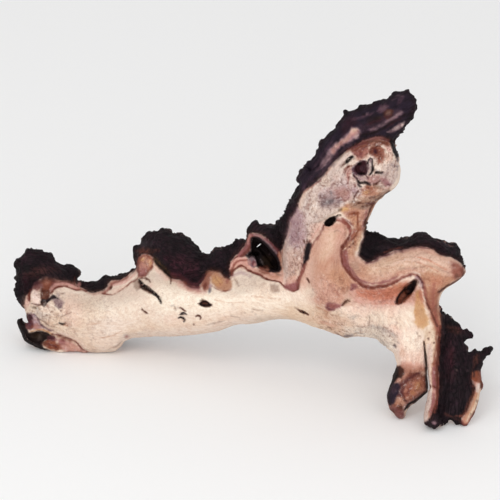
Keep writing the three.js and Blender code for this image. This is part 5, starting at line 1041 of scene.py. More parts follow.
    ("S", "lilacgrey", .7, 1.6, .2, (456.4, 370, 1.2, .8, 0)), ("S", "lilacgrey", .5, 1.4, 0, (468, 371, 1, .7, 0)),
    ("A", "russet", .95, 2.4, .3, [(475.6, 370), (479, 368), (484, 374), (484, 392), (479, 406), (471, 424), (464, 429), (461, 421), (465, 415),
                           (470, 408), (474, 398), (476, 389), (474, 382)]),
    ("A", "sand", .95, 1.8, .2, [(477, 387), (480.6, 386), (481, 391), (478.4, 398), (476, 404), (473, 411), (469.6, 416), (466.6, 419), (465.4, 416.6), (470.4, 408.6),
                           (474.4, 399), (476.4, 391)]),
    ("A", "rose", .8, 2, .2, [(474.6, 380), (478, 377.6), (481, 382), (480.6, 387), (476.6, 389), (475, 385)]),
    ("S", "sienna", .9, 2.2, 0, (477.4, 375, 2.2, 3, 0)), ("S", "umber", .7, 1.6, 0, (475, 372, 1.2, 2, 0)),
    ("S", "umber", .8, 1.4, 0, (480.6, 383, 1, 2, 0)), ("S", "peach", .95, 2.4, .3, (466.4, 420.6, 3, 3.4, 24)),
    ("S", "sienna", .8, 2, 0, (462, 416, 2, 1.6, 30)), ("S", "clay", .6, 2, 0, (471.4, 412.4, 1.6, 2.6, 24)),
    ("S", "umber", .7, 1.4, 0, (473, 414, 1, 2, 20)),
    ("L", "rust", .8, 2, 0, [(456, 416, .8), (461, 416, 1.1), (465, 413, .9), (469, 407, .9), (472, 400, .8), (474.6, 390, .7)]),
    ("L", "umber", .7, 2, 0, [(481, 380, .8), (481.6, 388, .8)]), ("S", "umber", .6, 3, 0, (476, 360, 3, 7, 20)),
    ("L", "rust", .4, 3, 0, [(445, 414, 1), (452, 417, 1.2), (458, 420, 1)]),
    # --- neck: grey-brown just under the knob, over ochre, with dark folds ---
    ("A", "greybrown", .6, 4, 0, [(348, 201), (358, 200), (368, 202), (372, 206), (367, 211), (358, 210), (350, 208)]),
    ("A", "dustpink", .6, 3, 0, [(344, 211), (356, 210), (357, 216), (350, 217), (344, 217)]),
    ("A", "clay", .7, 4, 0, [(358, 210), (368, 209), (366, 220), (363, 232), (359, 232), (359, 220)]),
    ("L", "mauve", .6, 2.4, 0, [(367, 210, 1.1), (366, 216, 1.3), (364, 222, 1.3), (362, 229, 1.2)]),
    ("L", "sienna", .9, 2.4, -.4, [(349, 214.4, .9), (353, 213.4, 1.5), (358, 213, 1.3)]),
    ("L", "sienna", .85, 1.9, -.4, [(357.4, 214, .9), (357, 220, .8), (358, 226, 1), (357.4, 231, 1), (355.6, 236, .8)]),
    ("L", "sienna", .6, 2, 0, [(361, 226, 1.1), (360, 230, 1.1)]),
    ("L", "umber", .95, 1.5, -.4, [(358, 203.4, .8), (361, 203, .9), (364, 203.3, .8)]), ("L", "umber", .7, 1.5, -.3, [(362, 206.6, .6), (367, 205.4, .8)]),
    ("L", "greybrown", .7, 1.6, 0, [(360, 209.4, .8), (367, 208.4, .8)]),
    ("L", "plum", .95, 1.5, -.6, [(367, 203.6, .8), (370.6, 203.6, 1.1), (374, 202.6, 1.1)]),
    ("L", "umber", .9, 1.7, -.3, [(373, 205, .9), (370, 209.6, .9), (368.2, 214.6, .9), (366, 220.4, .9), (364.6, 226, .7)]),
    ("L", "honey", .8, 2.6, 0, [(343, 209.6, 1.6), (347, 210, 1.6)]), ("L", "olive", .7, 2, -.3, [(338.4, 210.4, .9), (341.4, 208.8, 1)]),
    ("A", "peach", .6, 3, 0, [(350, 217), (356, 216), (356, 223), (351, 222)]),
    ("L", "brick", .95, 1.9, -.7, [(343, 219.6, 1), (346.4, 223, 1.4), (349, 227, 1.5), (350.6, 231.6, 1.1)]),
    ("L", "redbrown", .95, 1.6, -.7, [(350.6, 233.6, .8), (348, 238, 1), (345.4, 242, 1.3), (342.6, 245.4, 1.4), (340.8, 248.4, .9)]),
    ("L", "redbrown", .9, 1.4, -.5, [(355.2, 236.4, .8), (353, 238.6, .7), (351, 240.4, .7)]), ("S", "umber", 1, 1.3, -.5, (353, 243.5, 1.1, 1.1, 0)),
    ("L", "brick", .8, 1.5, -.3, [(354, 230, .7), (352.4, 235, .8), (351, 239, .6)]),
    ("S", "redbrown", .95, 1.3, -.5, (349.4, 246.6, 1.1, 1, 0)), ("S", "redbrown", .85, 1.3, -.4, (344.8, 249.8, 1.1, .9, 0)),
    ("S", "redbrown", .85, 1.3, -.4, (341.4, 251.4, 1.2, .9, 0)), ("S", "redbrown", .9, 1.3, -.4, (341.4, 248.4, 1, .9, 0)),
    ("L", "honey", .5, 2.4, .2, [(361, 236, .8), (359, 244, 1), (357, 250, .9)]),
    ("L", "mauve", .9, 2.4, -.3, [(345.4, 252, 2.6), (344.8, 258, 3), (346, 264, 2.6), (349, 269, 1.8)]),
    ("L", "brick", .5, 2, 0, [(343.6, 254, 1.2), (345, 262, 1.2)]),
    ("L", "redbrown", .95, 1.6, -.6, [(341.6, 258, .7), (343, 265.6, .9), (347, 272, 1.1), (352, 277.4, 1.2), (358, 282.2, 1.3), (364, 286, 1.5), (370, 288, 1.5),
                                       (376, 287.4, 1.2), (383, 286, .9)]),
    ("L", "dustpink", .6, 1.6, .2, [(358, 279.8, .4), (364, 283.2, .5), (370, 285.2, .6), (376, 284.8, .5)]),
    ("L", "mauve", .8, 1.8, 0, [(349, 267, 1.2), (353.6, 273.4, 1.3), (359.4, 279, 1.1), (366, 282.4, .9), (373, 283.4, .9), (381, 282.6, 1), (389, 280.6, 1.1),
                                (397, 277.2, 1)]),
    ("A", "greybrown", .3, 5, 0, [(350, 262), (356, 262), (361, 272), (356, 276), (351, 268)]),
    # --- tongue: net of fine stains, dark dash, red patch, and a painted shadow line under its lower edge ---
    ("L", "umber", .95, 1.3, -.6, [(307, 278, .5), (308.4, 280.4, .9), (309.4, 282.6, .9)]),
    ("L", "greybrown", .5, 1.6, 0, [(328.6, 284, .5), (328.4, 290, .8), (329, 294, .6)]), ("S", "brick", .6, 1.5, 0, (328.6, 291, .9, 1.5, 0)),
    ("A", "clay", .6, 6, 0, [(320, 286), (334, 284), (342, 292), (338, 302), (326, 304), (316, 298)]),
    ("L", "brick", .45, 1.5, 0, [(318, 297, .5), (324, 300, .6), (330, 299, .5)]), ("L", "brick", .4, 1.5, 0, [(322, 292, .5), (327, 296, .5), (333, 294, .5)]),
    ("L", "brick", .4, 1.5, 0, [(333, 284, .5), (335, 290, .6), (339, 296, .6)]), ("L", "brick", .35, 1.5, 0, [(321, 278, .5), (327, 281, .5), (330, 286, .4)]),
    ("A", "mauve", .85, 3, -.3, [(326, 303), (332, 302), (342, 304.6), (340, 307.6), (336, 309), (333.6, 311.4), (328, 310), (325.6, 307)]),
    ("S", "brick", .7, 2.4, 0, (332.6, 305.6, 3.4, 1.8, -16)), ("L", "wine", .7, 1.6, -.3, [(325.6, 307.4, .8), (329.6, 309.4, 1), (334, 310.6, .8)]),
    ("L", "umber", .9, 1.3, -.4, [(342.6, 305, .8), (344.6, 302.4, .9), (347.4, 300.2, .6), (350, 301.6, .6)]),
    ("A", "mauve", .75, 2.6, 0, [(351, 284), (357, 284), (358, 287), (353, 290.6), (350.6, 288)]), ("S", "wine", .6, 1.6, 0, (351.4, 289.2, 1.2, .9, 0)),
    ("A", "terracotta", .8, 4, 0, [(356, 290), (372, 290), (396, 286), (400, 292), (392, 300), (372, 300), (356, 296)]),
    ("S", "brick", .5, 4, 0, (379, 290, 5, 2, -6)), ("S", "rose", .7, 3, 0, (362, 299.6, 4, 2.4, 0)),
    ("L", "terracotta", .5, 2, 0, [(372, 303.6, .8), (384, 303, .9), (394, 304, .8)]),
    ("L", "tan", .8, 1.5, -.2, [(316, 307, .6), (322, 309.4, .7), (327.6, 313, .7), (325, 317, .6), (328.4, 318.6, .6)]),
    ("L", "umber", 1, 1.3, -.7, [(299.6, 311, .7), (303.6, 312.4, 1.3), (307.6, 314.6, 1.1)]),
    ("L", "clay", .7, 2.2, 0, [(320, 321.6, 1), (327, 323, 1.3), (333, 325.4, 1)]), ("L", "umber", .7, 1.3, -.3, [(327.6, 327, .5), (330.6, 327.8, .6)]),
    # first steel line along the lower edge: painted shadow
    ("L", "steel", .85, 1.8, -.3, [(344.6, 336, .9), (348.6, 336.4, 1.2), (353, 335, .9)]),
    ("L", "steel", .75, 1.8, -.3, [(355, 332, .7), (359, 333.4, 1.1), (363, 334.4, .9)]), ("L", "steel", .6, 1.6, 0, [(357, 329, .6), (361, 330, .6)]),
    ("L", "greybrown", .6, 1.6, -.2, [(369.4, 317, .6), (368.4, 325, .6), (369.6, 333, .7)]), ("S", "ash", .9, 1.6, 0, (353.6, 317.6, 1.2, 1.5, 0)),
    ("L", "steel", .5, 1.6, -.2, [(372, 334, .6), (378, 337, .7), (384, 344, .8), (387, 347, .6)]),
    ("L", "ash", .7, 2, 0, [(380, 330, 1), (386, 334, 1), (391, 342, 1)]), ("S", "steel", .9, 1.6, -.3, (394.6, 345.6, 1.3, 1.8, 0)),
    # --- arm: fibres and shade at its tip ---
    ("L", "tan", .55, 1.5, -.2, [(384, 262, .5), (398, 258, .6), (412, 257, .5)]), ("L", "tan", .5, 1.5, -.2, [(376, 270, .5), (390, 268, .6), (402, 265, .5)]),
    ("L", "terracotta", .6, 1.5, -.2, [(414, 256, .5), (426, 259, .7), (438, 265, .6), (446, 270, .5)]),
    ("L", "terracotta", .5, 1.5, -.2, [(418, 262, .5), (428, 266, .6), (438, 272, .5)]), ("L", "tan", .5, 1.5, -.2, [(404, 262, .5), (416, 262, .6), (426, 266, .5)]),
    ("L", "tan", .45, 1.5, -.1, [(366, 276, .5), (376, 274, .6), (388, 273, .5)]), ("L", "tan", .45, 1.5, 0, [(392, 262, .5), (404, 259, .5)]),
    ("A", "rust", .55, 8, 0, [(450, 264), (457, 264), (463, 268), (461, 276), (454, 276)]), ("S", "redbrown", .5, 3, 0, (461, 270, 2, 3, 0)),
    ("L", "redbrown", .6, 2, 0, [(384, 252, .8), (392, 249, 1), (402, 247.4, .8)]),
    # pit: brown wall under a dark mouth, the mouth's dark being painted shade
    ("A", "sienna", .85, 2.4, 0, [(397.4, 301), (399.6, 296), (404, 290.6), (407, 291.6), (406, 296), (402.6, 301), (399.4, 303.6)]),
    ("L", "umber", .8, 1.3, 0, [(398.6, 300, .5), (401.6, 301.4, .6)]), ("L", "umber", .8, 1.3, 0, [(400.6, 296.6, .5), (404, 298.4, .6)]),
    ("L", "umber", .8, 1.3, 0, [(402.6, 293.4, .6), (406, 295.4, .6)]), ("L", "black", .8, 1.6, 0, [(397, 302.4, .6), (396.6, 299, .7), (400.4, 293, .8), (405, 288, .9)]),
    # knob: darker rust under the seam, broad grey-lilac veil
    ("A", "lavender", .4, 8, 0, [(334, 180), (346, 176), (354, 184), (366, 190), (352, 200), (338, 198)]),
    ("A", "brick", .65, 4, 0, [(353, 149), (360, 146.6), (369, 145), (369, 152), (366, 158.6), (358, 159.4), (354, 155)]),
    ("S", "wine", .7, 2, -.2, (357, 149.6, 2, 1.1, -20)), ("S", "wine", .6, 1.8, -.2, (362.6, 149, 1.5, 1.2, 0)), ("S", "wine", .6, 1.9, -.2, (360.4, 154, 1.8, 1.4, 0)),
    ("S", "redbrown", .5, 1.8, -.2, (366.6, 154.4, 1.2, 1.8, 0)), ("L", "wine", .6, 1.6, -.2, [(353, 153, .6), (357, 156, .7), (362, 157.4, .6)]),
    ("A", "rust", .5, 3, 0, [(378, 146), (384, 148), (386, 156), (382, 164), (378, 160)]),
    ("L", "black", 1, 1.6, 0, [(390.6, 141.6, 1.3), (392.8, 146, 1.7), (395, 151, 1.6), (396.8, 156, 1.3)]),
    ("L", "umber", .6, 2.4, 0, [(370, 198, 1), (376, 196.6, 1.2), (383, 193, 1), (389, 189.4, .8)]),
    # --- last tones: arc over the knob, dark wedge of the V seam, prong tip, veils, with painted shade under the knob and painted light on the undersides ---
    ("A", "rust", .9, 3, 0, [(350, 150), (357, 146), (366, 142), (376, 139.6), (386, 140.4), (391, 144), (389, 147.6), (383, 145.4), (375, 144.6),
                             (367, 146), (358, 149.4), (353, 152)]),
    ("L", "wine", .7, 1.8, -.3, [(352, 149.6, .6), (358, 146.4, .8), (365, 144, .8), (370, 143.6, .5)]),
    ("L", "dustpink", .5, 1.8, 0, [(366, 140.6, .6), (374, 138.6, .8), (383, 139, .7)]),
    ("L", "umber", .6, 1.8, 0, [(367, 141.8, .6), (375, 141.4, .8), (383, 142.6, .8), (389, 146, .6)]),
    ("L", "black", 1, 1.6, 0, [(391.4, 141.6, 1.6), (393.8, 146, 2), (395.8, 151, 1.8), (397.4, 156, 1.4)]),
    ("A", "lavender", .35, 6, 0, [(382, 164), (398, 160), (398, 176), (390, 188), (382, 184)]),
    ("A", "fleece", .6, 5, 0, [(334, 172), (342, 164), (346, 170), (344, 184), (334, 190), (328, 182)]),
    # tan and greybrown along the knob's lower edge: painted shade under the knob's overhang
    ("A", "tan", .55, 5, 0, [(358, 198), (370, 195), (384, 191), (391, 188), (384, 196), (374, 203), (362, 204)]),
    ("A", "greybrown", .35, 4, 0, [(360, 199), (372, 198), (380, 195), (374, 203), (364, 204)]),
    ("A", "bark", .98, 2.2, -.6, [(303.4, 265), (302.8, 258), (304, 250), (306.4, 243.6), (310.6, 243), (310.8, 249), (309, 256), (306.6, 262)]),
    ("L", "brick", .9, 1.8, -.3, [(299, 283, .9), (300.6, 277, 1.2), (302.8, 270, 1.2), (304.6, 265, .8)]),
    ("L", "dustpink", .7, 1.8, .3, [(300.4, 270, .6), (301.6, 262, .8), (302.6, 254, .7), (304.4, 246, .6)]),
    ("A", "russet", .8, 3, 0, [(391, 408), (397, 407), (403, 411), (403, 416), (399, 418.6), (394, 415)]), ("S", "umber", .6, 2.4, 0, (393, 411, 2.4, 1.6, 40)),
    ("A", "sienna", .4, 5, 0, [(398, 366), (410, 365), (424, 368), (425, 386), (410, 400), (402, 396)]),
    ("A", "clay", .45, 8, 0, [(312, 236), (322, 228), (328, 240), (322, 254), (313, 262)]),
    ("A", "mauve", .35, 5, 0, [(332, 150), (340, 142), (350, 134), (358, 129), (360, 135), (350, 140), (340, 147), (334, 154)]),
    ("L", "dusk", .5, 3, 0, [(318, 177, 1.4), (328, 165, 1.6), (340, 152, 1.6), (352, 144, 1.4)]),
    # ivory along the underside of the trunk and milk under the tongue and leg: painted light that brightens the
    # undersides
    ("A", "ivory", .7, 10, 0, [(96, 346), (118, 338), (150, 330), (200, 324), (240, 316), (262, 314), (240, 326), (190, 337), (130, 342), (100, 354)]),
    ("A", "milk", .6, 9, 0, [(340, 324), (372, 328), (394, 338), (396, 350), (380, 346), (352, 336)]),
    ("S", "dustpink", .5, 4, 0, (143, 268, 5, 6, 10)), ("L", "russet", .7, 2.4, 0, [(137.6, 262, .7), (137.4, 270, 1), (139.6, 276, 1)]),
    ("A", "umber", .6, 5, 0, [(36, 281), (44, 275), (54, 276), (64, 279), (74, 281), (70, 283), (56, 282), (50, 281), (40, 283)]),
    ("A", "umber", .8, 2.6, -.4, [(42, 290), (48, 289.6), (51, 293), (49, 299), (44, 301), (41.6, 296)]),
    ("L", "bark", .95, 2, -.6, [(42, 302, 1.6), (45, 301.6, 1.6), (49.6, 298.8, 1.5), (53.6, 297.4, 1.4)]),
    # --- right legs: red-brown edge of the strip, tan rim of the sheet ---
    ("L", "redbrown", .95, 2.2, -.3, [(440, 326, 1.2), (439.4, 340, 1.6), (438.6, 352, 1.6), (437.2, 364, 1.8), (437.4, 378, 1.6), (438.4, 392, 1.7),
                                      (437.4, 402, 1.6), (434.4, 412, 1.5)]),
    ("L", "rust", .8, 2, 0, [(436.8, 332, .7), (436.2, 345, .8), (434.6, 358, 1.1), (433.4, 368, 1.3)]),
    ("L", "mauve", .85, 2.2, 0, [(433.4, 368, 1.4), (433.6, 378, 1.7), (434.6, 388, 1.6), (433.6, 398, 1.7), (431.6, 408, 1.5), (430.4, 416, .9)]),
    ("S", "redbrown", .9, 1.5, -.3, (434.6, 386.8, 1.8, .9, 10)), ("S", "rose", .7, 1.8, 0, (434.6, 391, 1.6, 2, 0)),
    ("L", "bark", .8, 1.8, 0, [(441.6, 330, .8), (441, 350, 1), (440, 370, 1), (440.6, 392, 1), (439, 406, 1)]),
    ("S", "umber", .9, 1.4, -.4, (428.6, 339, 1, 1.4, 0)), ("S", "umber", .8, 1.4, -.3, (439.4, 338, .8, 1.2, 0)),
    ("A", "bark", .98, 2, 0, [(473, 371), (476, 366), (480, 361), (484, 360), (483, 366), (480, 371), (476, 372.6)]),
    ("A", "sienna", .9, 2.2, 0, [(472.6, 372), (479, 370.6), (480.6, 377), (480.4, 383), (475, 382), (472, 379)]),
    ("L", "bark", .7, 1.5, 0, [(474, 371, .5), (474.4, 377, .7)]), ("L", "umber", .7, 1.5, 0, [(478, 371, .5), (478.6, 376, .7)]),
    ("A", "fleece", .9, 2, 0, [(476, 384), (480, 383), (480.4, 388), (478.6, 393), (476.6, 394), (475.4, 389)]),
    ("L", "tan", .95, 2, .2, [(476.4, 394, 1.4), (474, 401, 1.7), (471, 408, 1.8), (467, 414.6, 1.8), (464.6, 419, 1.6)]),
    ("L", "sand", .95, 1.8, .2, [(480, 391, .8), (478.4, 397, 1), (476.2, 403, 1.1), (473.4, 410, 1.2), (470, 416, 1.2), (467, 421, 1)]),
    ("L", "umber", .95, 2, -.3, [(473.2, 386, .9), (472.6, 393, 1.1), (470, 401, 1.2), (466.4, 408, 1.2), (462.4, 414, 1)]),
    ("S", "greybrown", .9, 1.4, 0, (476.8, 401, 1, 1.4, 0)), ("S", "greybrown", .9, 1.4, 0, (471, 414.4, 1, 1.2, 0)), ("S", "umber", .95, 1.4, 0, (481, 386, .9, 2.4, 0)),
    ("L", "greybrown", .6, 1.4, -.2, [(473.4, 399, .4), (470, 407, .5), (467, 412, .4)]), ("S", "peach", .8, 2, 0, (464.6, 419.6, 2, 1.6, 0)),
    ("S", "greybrown", .7, 1.5, 0, (456.6, 369.8, 1.4, .8, 0)), ("S", "wine", .4, 4, 0, (451, 354, 2, 6, 0)),
    # --- left end: dark veil over the upper edge ---
    ("A", "bark", .8, 7, 0, [(26, 288), (32, 279), (42, 273), (56, 273), (68, 276), (76, 280), (68, 280.6), (57, 279), (47, 277.6), (39, 280.6), (33, 285), (29, 293)]),
    ("L", "plum", .6, 4, 0, [(31, 290, 1.2), (34, 284.6, 1.4), (40, 280.6, 1.2)]),
    ("L", "redbrown", .9, 1.8, -.4, [(30.4, 290, .8), (29.4, 295, 1.1), (29, 300, .8)]), ("L", "umber", .8, 1.5, -.3, [(31.6, 303.6, .6), (36, 304.6, .7), (41, 304.6, .6)]),
    # --- blade: a few more violet gleams ---
    ("L", "dusk", .6, 3, .3, [(352, 120, 1), (364, 117, 1.2), (374, 113, 1)]), ("L", "dusk", .5, 3, .3, [(312, 170, .8), (322, 156, 1.1), (332, 142, 1)]),
    ("S", "dusk", .5, 3, .2, (400, 100, 2.4, 4, 20)), ("L", "plum", .6, 2.6, -.3, [(366, 124, 1), (378, 121, 1.2), (390, 115, 1)]),
    ("L", "smoke", .45, 2, .2, [(392, 100, .6), (398, 96, .7), (403, 96, .5)]),
    # --- a few last lines ---
    ("L", "umber", .6, 1.4, -.3, [(142, 309.2, .7), (144.6, 310.8, .6), (147.4, 313.2, .7)]), ("S", "umber", .7, 1.2, -.3, (145.6, 311.4, 1.2, .7, 30)),
    ("S", "redbrown", .5, 2.4, 0, (139, 261, 1.2, 3, 0)), ("S", "shell", .5, 5, 0, (160, 277, 4, 3, 30)), ("S", "clay", .5, 3, 0, (146, 262, 3, 4, 0)),
    ("L", "tan", .5, 1.4, -.2, [(78, 322, .4), (90, 325, .5), (100, 323, .4)]), ("L", "tan", .45, 1.4, -.2, [(100, 338, .4), (112, 336, .5), (122, 331, .4)]),
    ("L", "tan", .45, 1.4, -.2, [(252, 296, .4), (266, 298, .5), (280, 299, .4)]), ("L", "tan", .4, 1.4, -.2, [(214, 300, .4), (230, 303, .5), (244, 302, .4)]),
    ("L", "greybrown", .5, 1.4, -.2, [(108, 349, .5), (116, 346, .6), (122, 341, .5)]), ("S", "mauve", .5, 2, 0, (126.6, 337, 1.6, 1, 0)),
    ("L", "greybrown", .5, 1.4, -.2, [(252, 309, .4), (258, 311, .6), (263, 310, .4)]), ("L", "greybrown", .45, 1.4, -.2, [(206, 325, .4), (216, 323, .5), (224, 321, .4)]),
]

# holes and clefts that go in: centre line with half-widths, or an area, then the depth
PITS = [
    ("A", [(25, 333), (29, 333.6), (33, 332.6), (38, 332), (44, 333), (50, 335.4), (52, 337), (47, 339), (43, 341), (40, 344),
           (34, 343), (27, 338)], 9),
    ("L", [(140, 281.5, .5), (141.5, 284.6, 1.4), (144, 287, 1.9), (148, 288.6, 1.3), (152, 291.8, .9), (156, 295, .9), (159.4, 298.6, .9)], 6),
    ("A", [(199, 303.6), (201, 302), (204, 301.4), (208, 302.4), (211, 304.8), (208.4, 306.4), (204, 306.2), (201, 305.4)], 3.4),
    ("L", [(254, 242, 1), (258, 245, 2.4), (264, 251, 3.4), (270, 258, 3.6), (274, 265, 2)], 5),
    ("L", [(248.6, 255, .8), (252.6, 253, 1.8), (257, 254, 2.2)], 9),
    ("L", [(256.4, 247.2, .7), (259, 245.2, 1), (261.6, 243.2, .6)], 60),
    ("A", [(325, 223), (327, 220.4), (330.4, 218.2), (334, 217), (336, 218), (334.6, 221.4), (331.6, 224.4), (329, 225.6), (326, 225.4)], 10),
    ("L", [(336, 216.2, .5), (338.6, 215.2, .9), (340.8, 215, .5)], 4),
    ("A", [(354.6, 167), (358, 164), (362, 162), (366.4, 162), (367.4, 165), (366.4, 170), (365.6, 174), (361.4, 174), (357, 171.6)], 9),
    ("L", [(346, 163.4, .8), (349, 160.2, 1.3), (353, 156.4, .8)], 5),
    ("L", [(375.6, 173.4, .5), (378.6, 172.2, .9), (382, 172.4, .5)], 3),
    ("L", [(415, 282.4, 2.2), (411, 287.4, 3.4), (407.6, 291.4, 3)], 9),
    ("L", [(408, 291, 3), (404, 295, 3.6), (400, 299.6, 2.8)], 4),
    ("L", [(424, 341, .5), (424.8, 350, 1), (426, 360, 1.3), (427, 370, 1.3), (428, 380, 1.3), (428.8, 389, 1.5)], 30),
    ("L", [(299, 310.2, .6), (302, 311.8, 1), (306.6, 314, .7)], 3),
    ("L", [(180, 314.4, .4), (183, 313.8, .9), (186, 314.2, .4)], 2.4),
    ("L", [(181, 317.4, .6), (183.6, 318.2, .8), (185, 320, .7)], 2.6),
    ("S", (376.6, 152, 1.3, 1.1, 0), 2),
    ("L", [(365, 182.6, 1.2), (361, 182.4, 1)], 2.4),
    ("S", (394.4, 346, 1, 1.2, 0), 2),
    ("S", (43, 303, 1.3, 2.6, 10), 4),
]

# where the wood is stained and veined, and how strongly
MOTTLED = [
    (0.75, 14, [(24, 290), (60, 290), (66, 300), (70, 318), (80, 340), (60, 334), (40, 326), (26, 316)]),
    (0.4, 14, [(60, 292), (110, 294), (120, 320), (110, 350), (80, 342), (66, 320)]),
    (0.5, 8, [(24, 330), (56, 334), (100, 350), (60, 362), (20, 345)]),
    (1.0, 8, [(330, 178), (342, 162), (352, 150), (370, 142), (386, 138), (398, 150), (400, 172), (390, 188), (376, 202),
              (352, 210), (336, 202)]),
    (0.85, 8, [(292, 224), (302, 206), (310, 188), (334, 166), (344, 180), (342, 206), (322, 220), (312, 240), (302, 270), (286, 282),
               (284, 250)]),
    (0.35, 8, [(352, 284), (404, 282), (424, 300), (404, 308), (350, 308)]),
    (0.45, 10, [(310, 284), (346, 282), (356, 300), (400, 306), (404, 330), (396, 350), (350, 338), (310, 322)]),
    (0.3, 6, [(346, 204), (374, 202), (364, 236), (352, 262), (344, 250)]),
    (0.4, 8, [(346, 258), (380, 258), (420, 250), (462, 264), (440, 290), (400, 276), (370, 286), (350, 278)]),
    (0.35, 8, [(400, 330), (440, 336), (436, 410), (424, 424), (400, 420), (388, 400), (400, 366)]),
    (0.7, 6, [(388, 366), (426, 370), (428, 392), (404, 420), (386, 404)]),
    (0.3, 8, [(230, 274), (260, 278), (290, 292), (276, 300), (240, 292)]),
    (0.6, 6, [(134, 254), (154, 254), (152, 276), (136, 280)]),
    (0.5, 8, [(312, 276), (340, 272), (352, 286), (344, 306), (322, 312), (308, 298)]),
    (0.7, 6, [(346, 200), (374, 200), (366, 226), (358, 250), (346, 256), (342, 240), (346, 214)]),
    (0.6, 8, [(350, 286), (404, 284), (400, 304), (360, 304)]),
    (0.75, 8, [(318, 318), (352, 320), (392, 326), (400, 352), (380, 346), (350, 340), (318, 330)]),
]


# ---------------------------------------------------------------------------------------------
# noise and growth lines
# ---------------------------------------------------------------------------------------------
def noise3(p, period, seed):
    """Smooth noise from -1 to 1 over points, with one period or one for each axis."""
    table = np.random.default_rng(seed).uniform(-1, 1, (32, 32, 32)).astype(np.float32)
    q = p / np.asarray(period, dtype=np.float64) + 7.31
    i = np.floor(q).astype(np.int64)
    f = (q - i).astype(np.float32)
    f = f * f * (3 - 2 * f)
    i &= 31
    j = (i + 1) & 31
    out = np.zeros(len(p), np.float32)
    for c in range(8):
        s = [(j if (c >> k) & 1 else i)[:, k] for k in range(3)]
        w = [(f if (c >> k) & 1 else 1 - f)[:, k] for k in range(3)]
        out += table[s[0], s[1], s[2]] * w[0] * w[1] * w[2]
    return out


def fbm(p, period, octaves, seed, gain=0.5):
    out = np.zeros(len(p), np.float32)
    a, n = 1.0, 0.0
    for k in range(octaves):
        out += a * noise3(p, np.asarray(period) / 2.0 ** k, seed + k)
        n += a
        a *= gain
    return out / n * 1.6


def growth(u, v):
    """Distance along and across the grain, blended between the growth lines."""
    S, T, N = np.zeros(len(u)), np.zeros(len(u)), np.zeros(len(u))
    for n, path in enumerate(GROWTH):
        best, real = np.full(len(u), 1e12), np.full(len(u), 1e12)
        s, t = np.zeros(len(u)), np.zeros(len(u))
        run = 0.0
        for k in range(1, len(path)):
            (x1, y1), (x2, y2) = path[k - 1], path[k]
            dx, dy = x2 - x1, y2 - y1
            ln = math.hypot(dx, dy)
            q = ((u - x1) * dx + (v - y1) * dy) / (ln * ln)
            c = np.clip(q, -9 if k == 1 else 0, 9 if k == len(path) - 1 else 1)
            e = (u - x1 - c * dx) ** 2 + (v - y1 - c * dy) ** 2
            r = np.clip(q, 0, 1)
            real = np.minimum(real, (u - x1 - r * dx) ** 2 + (v - y1 - r * dy) ** 2)
            side = np.sign((v - y1) * dx - (u - x1) * dy)
            sel = e < best
            best = np.where(sel, e, best)
            s = np.where(sel, run + c * ln, s)
            t = np.where(sel, side * np.sqrt(e), t)
            run += ln
        w = np.exp(-np.sqrt(real) / 7.0) + 1e-9
        S += w * (s + 61.0 * n)
        T += w * (t + 17.0 * n)
        N += w
    return S / N, T / N


# ---------------------------------------------------------------------------------------------
# marks: which points one covers, and how strongly
# ---------------------------------------------------------------------------------------------
def line_distance(line, u, v):
    """Half-width less the distance to a line whose half-width changes along it."""
    best = np.full(u.shape, -1e9)
    for k in range(1, len(line)):
        (x1, y1, h1), (x2, y2, h2) = line[k - 1], line[k]
        dx, dy = x2 - x1, y2 - y1
        t = np.clip(((u - x1) * dx + (v - y1) * dy) / (dx * dx + dy * dy + 1e-9), 0, 1)
        e = np.sqrt((u - x1 - t * dx) ** 2 + (v - y1 - t * dy) ** 2)
        best = np.maximum(best, h1 + t * (h2 - h1) - e)
    return best


def covering(kind, data, u, v, pad):
    """Indices near the mark, and how far inside it each one is."""
    if kind == "S":
        x, y, ru, rv, deg = data
        r = max(ru, rv) + pad
        sel = np.nonzero((np.abs(u - x) < r) & (np.abs(v - y) < r))[0]
        c, s = math.cos(math.radians(deg)), math.sin(math.radians(deg))
        a = ((u[sel] - x) * c + (v[sel] - y) * s) / ru
        b = (-(u[sel] - x) * s + (v[sel] - y) * c) / rv
        return sel, (1 - np.sqrt(a * a + b * b)) * min(ru, rv)
    pts = np.array([p[:2] for p in data], dtype=np.float64)
    grow = pad + (max(p[2] for p in data) if kind == "L" else 0)
    lo, hi = pts.min(0) - grow, pts.max(0) + grow
    sel = np.nonzero((u > lo[0]) & (u < hi[0]) & (v > lo[1]) & (v < hi[1]))[0]
    if kind == "L":
        return sel, line_distance(data, u[sel], v[sel])
    return sel, signed_distance(pts, u[sel], v[sel])


def jitter(X):
    """A small wander for the edges of the marks, the same in relief and in colour."""
    return 0.75 * fbm(X, 7.0, 2, 11), 0.75 * fbm(X, 7.0, 2, 23), fbm(X, 3.2, 2, 31)


def mottling(X):
    """How strongly the wood is stained and veined at a point of the front."""
    out = np.full(len(X), 0.12)
    for strength, soft, area in MOTTLED:
        d = signed_distance(np.array(area, dtype=np.float64), X[:, 0], X[:, 1])
        out = np.maximum(out, strength * smoothstep(-soft / 2, soft / 2, d))
    return out


# ---------------------------------------------------------------------------------------------
# the lattice: holes, floor and skin
# ---------------------------------------------------------------------------------------------
STEP = 1.1
BUDGET = 192000.0
L = build_lattice(STEP)
F, W, g = L["F"], L["W"], L["g"]
F = np.maximum(F, -L["whole"][None].astype(np.float32))
hollow = signed_distance(np.array(HOLLOW), L["LU"], L["LV"]).astype(np.float32)
near = hollow > -6
jj, ii = np.nonzero(near)
wabs = W[:, None] + L["C0"][jj, ii][None]
F[:, jj, ii] = np.maximum(F[:, jj, ii], np.minimum(hollow[jj, ii][None], HOLLOW_DEPTH - wabs))
